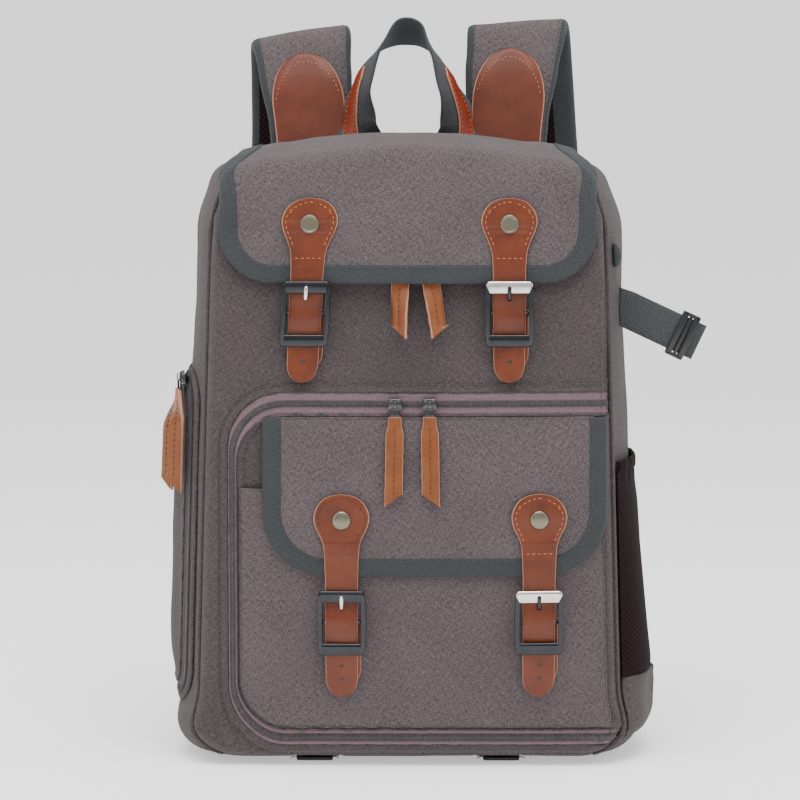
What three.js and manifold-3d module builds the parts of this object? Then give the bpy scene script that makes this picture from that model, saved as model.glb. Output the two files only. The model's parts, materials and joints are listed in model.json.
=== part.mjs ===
// A canvas camera backpack with four buckled leather closures, standing upright and closed.
// Millimetres, +Z up. The front faces -Y, and the origin is on the floor under the middle of the base.

import * as THREE from "three";
import { mergeVertices } from "three/addons/utils/BufferGeometryUtils.js";
import Module from "manifold-3d";

const wasm = await Module();
wasm.setup();

// Clearances between pieces that touch on the real bag
const seamGap = 0.3;
const layerGap = 0.4;

// Bag body: the outline that its front and back seams follow, and its depth
const bodyTop = 424;
const seamLift = 11;
const bottomHalfWidth = 147;
const topHalfWidth = 137;
const shoulderRadius = 52;
const bottomRadius = 30;
const topCrown = 7;
const seamDepth = 142;
const topSetback = 12;
const sideSwell = 15;
const topSwell = 6;
const baseSwell = 17;
const panelWall = 6;
const frontRim = 10;
const frontBulge = 9;
const backRim = 8;
const backBulge = 4;
const baseSeamHeight = 12;

// Front door panel and the zips
const doorTop = 265;
const doorLeft = 126;
const doorBottom = 19;
const doorCornerRadius = 40;
const doorZipTopWidth = 17;
const doorZipSideWidth = 7;
const doorZipBottomWidth = 10;
const zipThickness = 1.6;
const zipSink = 0.8;
const coilWidth = 4.4;
const coilHeight = 1.8;
const mainZipAboveFlapEdge = 33;
const mainZipWidth = 12;
const mainZipHalfLength = 105;

// Main flap
const flapDrop = 84;
const flapHalfWidth = 131;
const flapTopHalfWidth = 115;
const flapCornerRadius = 37;
const flapThickness = 2.4;
const flapTopClearance = 3.8;
const flapEdgeClearance = 4;
const flapPullRoom = 5.5;
const flapPullSpan = 92;
const flapShoulderRoom = 1.8;
const flapTurnDrop = 42;
const flapTurnCentreDrop = 74;
const bindingWidth = 13;
const bindingThickness = 3.2;

// Patch pocket on the door, and its flap
const patchTop = 197;
const patchDepth = 5;
const patchWall = 2;
const pocketFlapLeft = 101;
const pocketFlapRight = 139;
const pocketFlapLength = 110;
const pocketFlapCornerRadius = 45;

// Leather closures
const leatherThickness = 2.2;
const paddleHalfWidth = 19.5;
const neckHalfWidth = 11;
const paddleLength = 42;
const tabThickness = 2;
const tabHalfWidth = 10.5;
const tabOffset = 3;
const tabShort = 8;
const buckleWidth = 32.4;
const buckleHeight = 45.6;
const buckleBarHeight = 8.6;
const buckleRail = 3;
const buckleThickness = 2.8;
const centreBar = 2.6;
const prongWidth = 2.6;
const rivetRadius = 6.5;
const rivetHeight = 2.2;
const rivetDrop = 18;
const upperClosureRise = 59;
const upperClosureLength = 127.5;
const upperBuckleDrop = 57;
const lowerClosureRise = 58;
const lowerClosureLength = 143;
const lowerBuckleDrop = 67;

// Zip sliders and their leather pulls
const pullWidth = 12.4;
const pullLength = 66;
const pullThickness = 2.8;
const pullPoint = 9;
const sliderWidth = 8;
const sliderLength = 11;
const sliderHeight = 3;
const bailHeight = 1.8;
const tagLength = 9;
const tagThickness = 1.2;

// Side access panel on the left, with its zip all round
const sidePocketTop = 277;
const sidePocketBottom = 40;
const sidePocketFront = -60;
const sidePocketBack = 52;
const sidePocketCornerRadius = 26;
const sidePocketDepth = 11;
const sidePocketBulge = 4;
const sidePocketWall = 2.2;
const sideZipWidth = 13;
const sideZipLift = 6;

// Mesh pocket on the right, with a canvas base
const meshPocketTop = 213;
const meshPocketBottom = 22;
const meshPocketHem = 60;
const meshPocketMouth = 2;
const meshPocketDepth = 15;
const meshPocketWall = 2;
const meshPocketFront = -66;
const meshPocketBack = 60;

// Compression strap at the right-hand side
const sideStrapHeight = 322;
const sideStrapForward = -42;
const sideStrapLength = 62;
const sideStrapWidth = 26;
const sideStrapThickness = 2.4;
const sideStrapDroop = 25;
const sliderFrameWidth = 33;
const sliderFrameLength = 13;
const sliderFrameThickness = 7;
const sliderFrameFromEnd = 12;
const sideTabHeight = 358;
const sideTabWidth = 16;
const sideTabReach = 5;

// Shoulder straps
const strapThickness = 12;
const strapWidth = 75;
const strapArchDepth = 61;
const strapRiseRight = 7;
const strapPatchWidth = 56;
const strapPatchThickness = 1.6;
const webbingWidth = 26;
const webbingThickness = 2;
const adjusterWidth = 36;
const adjusterLength = 28;
const adjusterThickness = 6;

// Grab handle
const handleWidth = 36;
const handleThickness = 2.4;
const handleHalfSpan = 37;
const handleSeat = 14;
const handleRise = 98;
const handleLean = 10;
const handlePatchWidth = 13;
const handlePatchThickness = 1.4;

// Carrying straps under the base
const baseStrapX = 64;
const baseStrapWidth = 30;
const baseStrapThickness = 2;

const colours = {
  canvas: 0x746a6b,
  binding: 0x43484c,
  leather: 0x9a5630,
  metal: 0x35363a,
  silver: 0xb9b5ac,
  webbing: 0x3c3f42,
  mesh: 0x2a1c1e,
  zip: 0x6d6065,
  plastic: 0x1d1e1f,
};
const metals = ["metal", "silver"];
const materials = Object.fromEntries(
  Object.entries(colours).map(([name, color]) => [
    name,
    new THREE.MeshStandardMaterial({
      color,
      roughness: metals.includes(name) ? 0.25 : 0.8,
      metalness: metals.includes(name) ? 1 : 0,
    }),
  ]),
);

const bag = new THREE.Group();
const mix = THREE.MathUtils.lerp;
const radians = THREE.MathUtils.degToRad;
const share = (value, low, high) => THREE.MathUtils.clamp((value - low) / (high - low), 0, 1);

// Adds a named piece to the bag.
function piece(name, geometry, finish) {
  const mesh = new THREE.Mesh(geometry, materials[finish]);
  mesh.name = name;
  bag.add(mesh);
  return mesh;
}

// A closed geometry from corners [x, y, z] and triangles, turned so that its faces point out.
function closedGeometry(corners, triangles) {
  let volume = 0;
  for (const [a, b, c] of triangles) {
    const [p, q, r] = [corners[a], corners[b], corners[c]];
    volume +=
      p[0] * (q[1] * r[2] - q[2] * r[1]) +
      p[1] * (q[2] * r[0] - q[0] * r[2]) +
      p[2] * (q[0] * r[1] - q[1] * r[0]);
  }
  const index = triangles.flatMap(([a, b, c]) => (volume > 0 ? [a, b, c] : [a, c, b]));
  const geometry = new THREE.BufferGeometry();
  geometry.setAttribute("position", new THREE.Float32BufferAttribute(corners.flat(), 3));
  geometry.setIndex(index);
  return geometry;
}

// A solid through a row of closed sections with the same number of corners, with flat or fanned ends.
function loft(sections) {
  const count = sections[0].length;
  const corners = sections.flat();
  const triangles = [];
  for (let i = 0; i + 1 < sections.length; i += 1) {
    for (let j = 0; j < count; j += 1) {
      const k = (j + 1) % count;
      const [a, b, c, d] = [i * count + j, i * count + k, (i + 1) * count + j, (i + 1) * count + k];
      triangles.push([a, c, b], [b, c, d]);
    }
  }
  for (const [section, start] of [
    [sections[0], 0],
    [sections.at(-1), (sections.length - 1) * count],
  ]) {
    const middle = [0, 1, 2].map((axis) => section.reduce((sum, p) => sum + p[axis], 0) / count);
    corners.push(middle);
    for (let j = 0; j < count; j += 1) {
      const edge = [start + j, start + ((j + 1) % count)];
      triangles.push(start === 0 ? [corners.length - 1, ...edge] : [corners.length - 1, edge[1], edge[0]]);
    }
  }
  return closedGeometry(corners, triangles);
}

// A thin solid from a grid of point pairs: pairs[row][column] = [outer point, inner point].
function sheet(pairs) {
  const rows = pairs.length;
  const columns = pairs[0].length;
  const corners = [];
  for (const row of pairs) for (const pair of row) corners.push(pair[0], pair[1]);
  const at = (i, j, side) => 2 * (i * columns + j) + side;
  const triangles = [];
  const quad = (a, b, c, d) => triangles.push([a, b, c], [a, c, d]);
  for (let i = 0; i + 1 < rows; i += 1) {
    for (let j = 0; j + 1 < columns; j += 1) {
      quad(at(i, j, 0), at(i, j + 1, 0), at(i + 1, j + 1, 0), at(i + 1, j, 0));
      quad(at(i, j, 1), at(i + 1, j, 1), at(i + 1, j + 1, 1), at(i, j + 1, 1));
    }
    quad(at(i, 0, 0), at(i + 1, 0, 0), at(i + 1, 0, 1), at(i, 0, 1));
    quad(at(i, columns - 1, 0), at(i, columns - 1, 1), at(i + 1, columns - 1, 1), at(i + 1, columns - 1, 0));
  }
  for (let j = 0; j + 1 < columns; j += 1) {
    quad(at(0, j, 0), at(0, j, 1), at(0, j + 1, 1), at(0, j + 1, 0));
    quad(at(rows - 1, j, 0), at(rows - 1, j + 1, 0), at(rows - 1, j + 1, 1), at(rows - 1, j, 1));
  }
  return closedGeometry(corners, triangles);
}

// A geometry as a solid that can be cut and joined, and back.
function solid(geometry) {
  const bare = geometry.clone();
  bare.deleteAttribute("normal");
  bare.deleteAttribute("uv");
  const merged = mergeVertices(bare, 1e-4);
  return new wasm.Manifold(
    new wasm.Mesh({
      numProp: 3,
      vertProperties: new Float32Array(merged.attributes.position.array),
      triVerts: new Uint32Array(merged.index.array),
    }),
  );
}

function geometryOf(made) {
  const mesh = made.getMesh();
  const geometry = new THREE.BufferGeometry();
  geometry.setAttribute("position", new THREE.Float32BufferAttribute(mesh.vertProperties, 3));
  geometry.setIndex(new THREE.BufferAttribute(mesh.triVerts, 1));
  return geometry;
}

// A box between two corners.
function box(low, high) {
  const size = high.map((value, axis) => value - low[axis]);
  const geometry = new THREE.BoxGeometry(...size);
  return geometry.translate(...low.map((value, axis) => value + size[axis] / 2));
}

// A prism along Y from an outline of [x, z] points.
function prismAlongY(outline, from, to) {
  const shape = new THREE.Shape(outline.map(([x, z]) => new THREE.Vector2(x, z)));
  const geometry = new THREE.ExtrudeGeometry(shape, { depth: to - from, bevelEnabled: false });
  return geometry.rotateX(Math.PI / 2).translate(0, to, 0);
}

// A prism along X from an outline of [y, z] points.
function prismAlongX(outline, from, to) {
  const shape = new THREE.Shape(outline.map(([y, z]) => new THREE.Vector2(y, z)));
  const geometry = new THREE.ExtrudeGeometry(shape, { depth: to - from, bevelEnabled: false });
  return geometry.rotateX(Math.PI / 2).rotateZ(Math.PI / 2).translate(from, 0, 0);
}

// Body shape

const halfDepth = seamDepth / 2;
const leanStart = bodyTop / 2;
const bottomCorner = { x: bottomHalfWidth - bottomRadius, z: seamLift + bottomRadius };
const topCorner = { x: topHalfWidth - shoulderRadius, z: bodyTop - shoulderRadius };
const cornerRun = Math.hypot(topCorner.x - bottomCorner.x, topCorner.z - bottomCorner.z);
const sideAngle =
  Math.atan2(topCorner.z - bottomCorner.z, topCorner.x - bottomCorner.x) -
  Math.acos((bottomRadius - shoulderRadius) / cornerRun);

// The front seam leans back towards the top.
function frontSeam(z) {
  const lean = Math.max(0, (z - leanStart) / (bodyTop - leanStart));
  return -halfDepth + topSetback * lean * lean;
}

// How full the gusset is at a share of its depth, 0 at either seam and 1 in the middle.
const swell = (depthShare) => 1 - Math.abs(2 * depthShare - 1) ** 2.5;
const growth = (depthShare, inset = 0) => ({
  side: sideSwell * swell(depthShare) - inset,
  top: topSwell * swell(depthShare) - inset,
  base: baseSwell * swell(depthShare) - inset,
});

// The closed outline seen from the front, grown outwards, from the middle of the base up the right side and round.
function outline(grow) {
  const half = [];
  for (const part of [0, 0.5]) half.push([bottomCorner.x * part, seamLift - grow.base]);
  const arc = (corner, radius, from, to, steps, vertical) => {
    for (let i = 0; i <= steps; i += 1) {
      const angle = mix(from, to, i / steps);
      half.push([
        corner.x + (radius + grow.side) * Math.cos(angle),
        corner.z + (radius + vertical) * Math.sin(angle),
      ]);
    }
  };
  arc(bottomCorner, bottomRadius, -Math.PI / 2, sideAngle, 3, grow.base);
  const low = half.at(-1);
  const high = [
    topCorner.x + (shoulderRadius + grow.side) * Math.cos(sideAngle),
    topCorner.z + (shoulderRadius + grow.top) * Math.sin(sideAngle),
  ];
  for (const part of [0.33, 0.67]) half.push([mix(low[0], high[0], part), mix(low[1], high[1], part)]);
  arc(topCorner, shoulderRadius, sideAngle, Math.PI / 2, 5, grow.top);
  for (const part of [0.5, 0]) {
    half.push([topCorner.x * part, bodyTop + grow.top + topCrown * (1 - part * part)]);
  }
  return [...half, ...half.slice(1, -1).reverse().map(([x, z]) => [-x, z])];
}

// The broad crown of the front and back panels, fullest below the middle.
function crown(x, z) {
  const middle = bodyTop * 0.42;
  const across = 1 - Math.min(1, (x / bottomHalfWidth) ** 2);
  const along = z > middle ? (z - middle) / (bodyTop - middle) : (middle - z) / middle;
  return across * (1 - Math.min(1, along * along));
}
const rimRise = (part) => Math.sqrt(1 - (1 - Math.min(1, Math.max(0, part))) ** 2);

// Half the width of the seam outline at a height, and how far a point lies inside that outline.
function seamHalf(z) {
  if (z > topCorner.z) {
    return topCorner.x + Math.sqrt(Math.max(0, shoulderRadius ** 2 - (z - topCorner.z) ** 2));
  }
  if (z < bottomCorner.z) {
    return bottomCorner.x + Math.sqrt(Math.max(0, bottomRadius ** 2 - (bottomCorner.z - z) ** 2));
  }
  return mix(bottomHalfWidth, topHalfWidth, share(z, bottomCorner.z, topCorner.z));
}
function seamInset(x, z) {
  const across = Math.abs(x);
  const fromTop = Math.hypot(across - topCorner.x, z - topCorner.z);
  if (across > topCorner.x && z > topCorner.z) return shoulderRadius - fromTop;
  const fromBottom = Math.hypot(across - bottomCorner.x, z - bottomCorner.z);
  if (across > bottomCorner.x && z < bottomCorner.z) return bottomRadius - fromBottom;
  const roof = bodyTop + topCrown * (1 - Math.min(1, across / topCorner.x) ** 2);
  return Math.min(seamHalf(z) - across, roof - z, z - seamLift);
}

// The body's outer faces: the front and back as y at (x, z), and the half width at (y, z).
function frontFace(x, z) {
  return frontSeam(z) - rimRise(seamInset(x, z) / frontRim) * (frontRim + frontBulge * crown(x, z));
}
function backFace(x, z) {
  return halfDepth + rimRise(seamInset(x, z) / backRim) * (backRim + backBulge * crown(x, z));
}
function depthShareAt(y, z) {
  return share(y, frontSeam(z), halfDepth);
}
function sideFace(y, z) {
  const grow = growth(depthShareAt(y, z));
  if (z > topCorner.z) {
    const up = Math.min(1, (z - topCorner.z) / (shoulderRadius + grow.top));
    return topCorner.x + (shoulderRadius + grow.side) * Math.sqrt(1 - up * up);
  }
  if (z < bottomCorner.z) {
    const down = Math.min(1, (bottomCorner.z - z) / (bottomRadius + grow.base));
    return bottomCorner.x + (bottomRadius + grow.side) * Math.sqrt(1 - down * down);
  }
  return seamHalf(z) + grow.side;
}
function topFace(x, y) {
  const grow = growth(depthShareAt(y, bodyTop));
  const across = Math.abs(x);
  if (across <= topCorner.x) return bodyTop + grow.top + topCrown * (1 - (across / topCorner.x) ** 2);
  const out = Math.min(1, (across - topCorner.x) / (shoulderRadius + grow.side));
  return topCorner.z + (shoulderRadius + grow.top) * Math.sqrt(1 - out * out);
}
function insideBody(x, y, z) {
  if (y < frontSeam(z)) return seamInset(x, z) > 0 && y > frontFace(x, z);
  if (y > halfDepth) return seamInset(x, z) > 0 && y < backFace(x, z);
  return z < topFace(x, y) && Math.abs(x) < sideFace(y, z);
}

// The body's skin, or a surface a given distance inside it, as rings from the front to the back.
function bodySkin(inset, frontParts, backParts, depthShares) {
  const middle = (bodyTop + seamLift) / 2;
  const rings = [];
  const cap = (rim, bulge, seam, sign, capParts) => {
    const ringsOfCap = [];
    const rise = (x, z, part) => seam(z) + sign * rimRise(part) * (rim + bulge * crown(x, z) - inset);
    const inner = outline({ side: -rim - inset, top: -rim - inset, base: -rim - inset });
    for (const part of capParts) {
      ringsOfCap.push(
        inner.map(([x, z]) => {
          const [px, pz] = [x * part, mix(middle, z, part)];
          return [px, rise(px, pz, 1), pz];
        }),
      );
    }
    for (const part of [1, 0.5, 0.2, 0.05]) {
      const away = -rim * part - inset;
      const ring = outline({ side: away, top: away, base: away });
      ringsOfCap.push(ring.map(([x, z]) => [x, rise(x, z, part), z]));
    }
    return ringsOfCap;
  };
  rings.push(...cap(frontRim, frontBulge, frontSeam, -1, frontParts));
  for (const depthShare of depthShares) {
    const ring = outline(growth(depthShare, inset));
    rings.push(
      ring.map(([x, z]) => [x, mix(frontSeam(z), halfDepth, depthShare), Math.max(z, inset)]),
    );
  }
  rings.push(...cap(backRim, backBulge, () => halfDepth, 1, backParts).reverse());
  return loft(rings);
}

// The body's panels, cut from one padded shell along its seams

const gussetRows = [0, 0.05, 0.14, 0.3, 0.5, 0.7, 0.86, 0.95, 1];

const beyond = 700;
const seamHeights = Array.from({ length: 9 }, (_, i) => mix(leanStart, bodyTop + topCrown, i / 8));

// Everything in front of the front seam, moved back or forward by a little.
function inFrontOfSeam(shift) {
  const edge = [[frontSeam(0) + shift, -beyond], ...seamHeights.map((z) => [frontSeam(z) + shift, z])];
  const top = [edge.at(-1)[0], beyond];
  return solid(prismAlongX([[-beyond, -beyond], ...edge, top, [-beyond, beyond]], -beyond, beyond));
}

// The door's outline inside the seam on the right, with its two round corners on the left.
function doorOutline(left, bottom, top, radius) {
  const right = beyond;
  const points = [[right, bottom], [right, top]];
  for (let i = 0; i <= 6; i += 1) {
    const angle = mix(Math.PI / 2, Math.PI, i / 6);
    points.push([left + radius + radius * Math.cos(angle), top - radius + radius * Math.sin(angle)]);
  }
  for (let i = 0; i <= 6; i += 1) {
    const angle = mix(Math.PI, 1.5 * Math.PI, i / 6);
    points.push([left + radius + radius * Math.cos(angle), bottom + radius + radius * Math.sin(angle)]);
  }
  return points;
}
const doorInner = {
  left: -doorLeft + doorZipSideWidth,
  bottom: doorBottom + doorZipBottomWidth,
  top: doorTop - doorZipTopWidth,
  radius: doorCornerRadius - doorZipSideWidth,
};
const flapEdge = bodyTop - flapDrop;
const mainZipHeight = flapEdge + mainZipAboveFlapEdge;
const flapTurnHeight = bodyTop - flapTurnDrop;
const flapTurnCentre = bodyTop - flapTurnCentreDrop;

// A strip across the underside of the base, between two depths into it, from the front to the back.
function underBase(side, from, to, half, over) {
  const rows = gussetRows.slice(1, -1).map((depthShare) => {
    const z = Math.max(0, seamLift - baseSwell * swell(depthShare));
    return [mix(-halfDepth, halfDepth, depthShare), z];
  });
  const beyondEnd = (end, next) => {
    const slope = (end[1] - next[1]) / (end[0] - next[0]);
    const y = end[0] + Math.sign(end[0]) * over;
    return [y, end[1] + slope * (y - end[0])];
  };
  if (over) {
    rows.unshift(beyondEnd(rows[0], rows[1]));
    rows.push(beyondEnd(rows.at(-1), rows.at(-2)));
  }
  const middle = side * baseStrapX;
  return loft(
    rows.map(([y, z]) => [
      [middle - half, y, z + from],
      [middle + half, y, z + from],
      [middle + half, y, z + to],
      [middle - half, y, z + to],
    ]),
  );
}

function makePanels() {
  const shell = solid(bodySkin(0, [0.38, 0.74], [0.6], gussetRows)).subtract(
    solid(bodySkin(panelWall, [0.5], [0.5], [0, 0.14, 0.5, 0.86, 1])),
  );
  const front = shell.intersect(inFrontOfSeam(-seamGap / 2));
  const behindFront = shell.subtract(inFrontOfSeam(seamGap / 2));
  const backCut = (shift) =>
    solid(box([-beyond, halfDepth + shift, -beyond], [beyond, beyond, beyond]));
  const back = behindFront.intersect(backCut(seamGap / 2));
  const ring = behindFront.subtract(backCut(-seamGap / 2));
  const below = (height) => solid(box([-beyond, -beyond, -beyond], [beyond, beyond, height]));

  const opening = solid(
    prismAlongY(doorOutline(-doorLeft, doorBottom, doorTop, doorCornerRadius), -beyond, 0),
  );
  const door = solid(
    prismAlongY(
      doorOutline(doorInner.left, doorInner.bottom, doorInner.top, doorInner.radius),
      -beyond,
      0,
    ),
  );
  const half = mainZipHalfLength;
  const slot = solid(
    box(
      [-half, -beyond, mainZipHeight - mainZipWidth / 2],
      [half, 0, mainZipHeight + mainZipWidth / 2],
    ),
  );
  piece("front_panel", geometryOf(front.subtract(opening).subtract(slot)), "canvas");
  piece("front_door", geometryOf(front.intersect(door)), "canvas");
  piece("side_gusset", geometryOf(ring.subtract(below(baseSeamHeight + seamGap))), "canvas");
  piece("back_panel", geometryOf(back), "mesh");

  let base = ring.intersect(below(baseSeamHeight));
  for (const side of [-1, 1]) {
    base = base.subtract(
      solid(underBase(side, -1, baseStrapThickness + seamGap, baseStrapWidth / 2 + seamGap, 1)),
    );
  }
  piece("base_panel", geometryOf(base), "plastic");
}

// Zips: a tape with the coil standing up along its middle

// A zip through stations of two edges, each [x, z], on a face given by point(x, z, height).
function zipBand(stations, point) {
  return loft(
    stations.map(([outer, inner]) => {
      const width = Math.hypot(inner[0] - outer[0], inner[1] - outer[1]);
      const at = (part, height) =>
        point(mix(outer[0], inner[0], part), mix(outer[1], inner[1], part), height);
      const coil = Math.min(0.3, coilWidth / 2 / width);
      const low = -zipSink - zipThickness;
      return [
        at(0, low),
        at(0, -zipSink),
        at(0.5 - coil, -zipSink),
        at(0.5 - coil / 2, coilHeight - zipSink),
        at(0.5 + coil / 2, coilHeight - zipSink),
        at(0.5 + coil, -zipSink),
        at(1, -zipSink),
        at(1, low),
      ];
    }),
  );
}
const onFront = (x, z, height) => [x, frontFace(x, z) - height, z];

function makeDoorZip() {
  const outer = {
    left: -doorLeft + seamGap,
    bottom: doorBottom + seamGap,
    top: doorTop - seamGap,
    radius: doorCornerRadius - seamGap,
  };
  const inner = {
    left: doorInner.left - seamGap,
    bottom: doorInner.bottom - seamGap,
    top: doorInner.top + seamGap,
    radius: doorInner.radius + seamGap,
  };
  const end = frontRim;
  const stations = [];
  const straight = (z, innerZ, parts) => {
    for (const part of parts) {
      const reach = (height) => seamHalf(height) - end * 0.35;
      const left = outer.left + outer.radius;
      stations.push([
        [mix(left, reach(z), part), z],
        [mix(left, reach(innerZ), part), innerZ],
      ]);
    }
  };
  const corner = (centreZ, innerCentreZ, from, to) => {
    for (let i = 0; i <= 6; i += 1) {
      const angle = mix(from, to, i / 6);
      const [c, s] = [Math.cos(angle), Math.sin(angle)];
      stations.push([
        [outer.left + outer.radius + outer.radius * c, centreZ + outer.radius * s],
        [inner.left + inner.radius + inner.radius * c, innerCentreZ + inner.radius * s],
      ]);
    }
  };
  straight(outer.top, inner.top, [1, 0.97, 0.9, 0.68, 0.44, 0.2]);
  corner(outer.top - outer.radius, inner.top - inner.radius, Math.PI / 2, Math.PI);
  corner(outer.bottom + outer.radius, inner.bottom + inner.radius, Math.PI, 1.5 * Math.PI);
  straight(outer.bottom, inner.bottom, [0.2, 0.44, 0.68, 0.9, 0.97, 1]);
  piece("door_zip", zipBand(stations, onFront), "zip");
}

function makeMainZip() {
  const half = mainZipHalfLength - seamGap;
  const reach = mainZipWidth / 2 - seamGap;
  const stations = [-1, -0.75, -0.5, -0.25, 0, 0.25, 0.5, 0.75, 1].map((part) => [
    [half * part, mainZipHeight + reach],
    [half * part, mainZipHeight - reach],
  ]);
  piece("main_zip", zipBand(stations, onFront), "zip");
}

// Main flap: it turns over the top of the bag and hangs down the front

const turnFrom = radians(38);

// The clearance under the flap: little on the straps' lines, more between them where the zip pulls lie.
function flapClearance(run, x) {
  const down = share(run, 0.7, 1);
  const between = Math.cos((Math.min(1, Math.abs(x) / flapPullSpan) * Math.PI) / 2) ** 2;
  const [from, to] = [0.78 * flapTopHalfWidth, 1.04 * flapTopHalfWidth];
  const shoulder = share(Math.abs(x), from, to) * Math.sin(Math.PI * share(run, 0.55, 1.1));
  const eased = mix(flapTopClearance, flapEdgeClearance, down);
  return eased + flapPullRoom * between * down + flapShoulderRoom * shoulder;
}

// A point over the bag at x, along the flap's run (0 at the back, 1 at the front of the turn, 2 at its lower edge).
function overBag(x, run, height) {
  if (run > 1) {
    const z = mix(flapTurnHeight, flapEdge, run - 1);
    return [x, frontFace(x, z) - height, z];
  }
  const turnTo = -Math.atan2(-frontFace(x, flapTurnHeight), flapTurnHeight - flapTurnCentre);
  const angle = mix(turnFrom, turnTo, run);
  const [sine, cosine] = [Math.sin(angle), Math.cos(angle)];
  let [low, high] = [0, 2 * halfDepth];
  for (let i = 0; i < 26; i += 1) {
    const reach = (low + high) / 2;
    if (insideBody(x, reach * sine, flapTurnCentre + reach * cosine)) low = reach;
    else high = reach;
  }
  const flat = THREE.MathUtils.smoothstep(run, 0.75, 1);
  const [outY, outZ] = [mix(sine, -1, flat), mix(cosine, 0, flat)];
  const length = Math.hypot(outY, outZ);
  return [
    x,
    low * sine + (height * outY) / length,
    flapTurnCentre + low * cosine + (height * outZ) / length,
  ];
}

// Half the flap's width along its run, before the lower corners are rounded.
function flapHalf(run) {
  return mix(flapTopHalfWidth, flapHalfWidth, THREE.MathUtils.smoothstep(run, 0.55, 0.95));
}

function makeFlap() {
  const frontRun = flapTurnHeight - flapEdge;
  const runAt = (aboveEdge) => 2 - aboveEdge / frontRun;
  const edge = bindingWidth + seamGap;
  const radius = flapCornerRadius - edge;
  const rounding = [0, 25, 50, 75].map((angle) => radius * (1 - Math.cos(radians(angle))));
  const runs = [0, 0.15, 0.32, 0.5, 0.62, 0.69, 0.74, 0.78, 0.83, 0.91, 1];
  const lowRows = rounding.reverse().map((up) => edge + up);
  const rows = [
    ...runs.map((run) => ({ run, half: flapHalf(run) - edge })),
    ...lowRows.map((above) => {
      const into = Math.max(0, radius - (above - edge));
      const half = flapHalfWidth - flapCornerRadius + Math.sqrt(Math.max(0, radius * radius - into * into));
      return { run: runAt(above), half };
    }),
  ];
  const columns = [-1, -0.85, -0.6, -0.3, 0, 0.3, 0.6, 0.85, 1];
  const pairs = rows.map(({ run, half }) =>
    columns.map((part) => {
      const low = flapClearance(run, half * part);
      return [overBag(half * part, run, low + flapThickness), overBag(half * part, run, low)];
    }),
  );
  piece("main_flap", sheet(pairs), "canvas");

  // The binding runs down one side, round the two corners and up the other.
  const stations = [];
  const side = (sign, list) => {
    for (const run of list) {
      const half = flapHalf(run);
      stations.push([[sign * half, run], [sign * (half - bindingWidth), run]]);
    }
  };
  const corner = (sign, steps) => {
    for (const i of steps) {
      const angle = radians(i * 15);
      const at = (reach) => [
        sign * (flapHalfWidth - flapCornerRadius + reach * Math.cos(angle)),
        runAt(flapCornerRadius - reach * Math.sin(angle)),
      ];
      stations.push([at(flapCornerRadius), at(flapCornerRadius - bindingWidth)]);
    }
  };
  side(-1, runs);
  corner(-1, [0, 1, 2, 3, 4, 5, 6]);
  for (const part of [-0.5, 0, 0.5]) {
    const x = part * (flapHalfWidth - flapCornerRadius);
    stations.push([[x, 2], [x, runAt(bindingWidth)]]);
  }
  corner(1, [6, 5, 4, 3, 2, 1, 0]);
  side(1, runs.slice().reverse());
  const extra = (bindingThickness - flapThickness) / 2;
  const ring = ([outer, inner]) => {
    const low = ([x, run]) => flapClearance(run, x) - extra;
    return [
      overBag(...outer, low(outer)),
      overBag(...outer, low(outer) + bindingThickness),
      overBag(...inner, low(inner) + bindingThickness),
      overBag(...inner, low(inner)),
    ];
  };
  piece("main_flap_binding", loft(stations.map(ring)), "binding");
}

// Patch pocket on the door, open at the top under its flap

const patchLeft = doorInner.left + 2;
const patchBottom = doorInner.bottom + 2;
const pocketFlapTop = doorInner.top - 1;
const pocketFlapEdge = pocketFlapTop - pocketFlapLength;
const patchRight = (z) => seamHalf(z) - frontRim * 0.75;

// How far the pocket's inner side stands off the door, nothing at its sewn edges.
function patchStand(x, z) {
  const across = share(x, patchLeft, patchRight(z)) * 2 - 1;
  const down = share(z, patchTop, patchBottom);
  return seamGap + patchDepth * Math.max(0, 1 - Math.abs(across) ** 5) * Math.max(0, 1 - down ** 3);
}

function makePatchPocket() {
  const cornerAt = (z) => {
    const into = Math.max(0, patchBottom + doorInner.radius - z) / doorInner.radius;
    return doorInner.radius * (1 - Math.sqrt(Math.max(0, 1 - into * into)));
  };
  const heights = [1, 0.8, 0.6, 0.4, 0.22, 0.1, 0.03, 0].map((part) => mix(patchBottom, patchTop, part));
  const pairs = heights.map((z) =>
    [0, 0.04, 0.2, 0.5, 0.8, 0.92, 0.975, 1].map((part) => {
      const x = mix(patchLeft + cornerAt(z), patchRight(z), part);
      const low = patchStand(mix(patchLeft, patchRight(z), part), z);
      return [onFront(x, z, low + patchWall), onFront(x, z, low)];
    }),
  );
  piece("patch_pocket", sheet(pairs), "canvas");
}

// The pocket flap clears the pocket's mouth and hangs beyond it.
function pocketFlapClearance(x, z) {
  const over = patchStand(x, Math.min(z, patchTop)) + patchWall;
  const down = share(z, pocketFlapTop, patchTop);
  return Math.max(mix(seamGap, over, down), z < patchTop ? over : 0) + 2 * layerGap;
}

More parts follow.
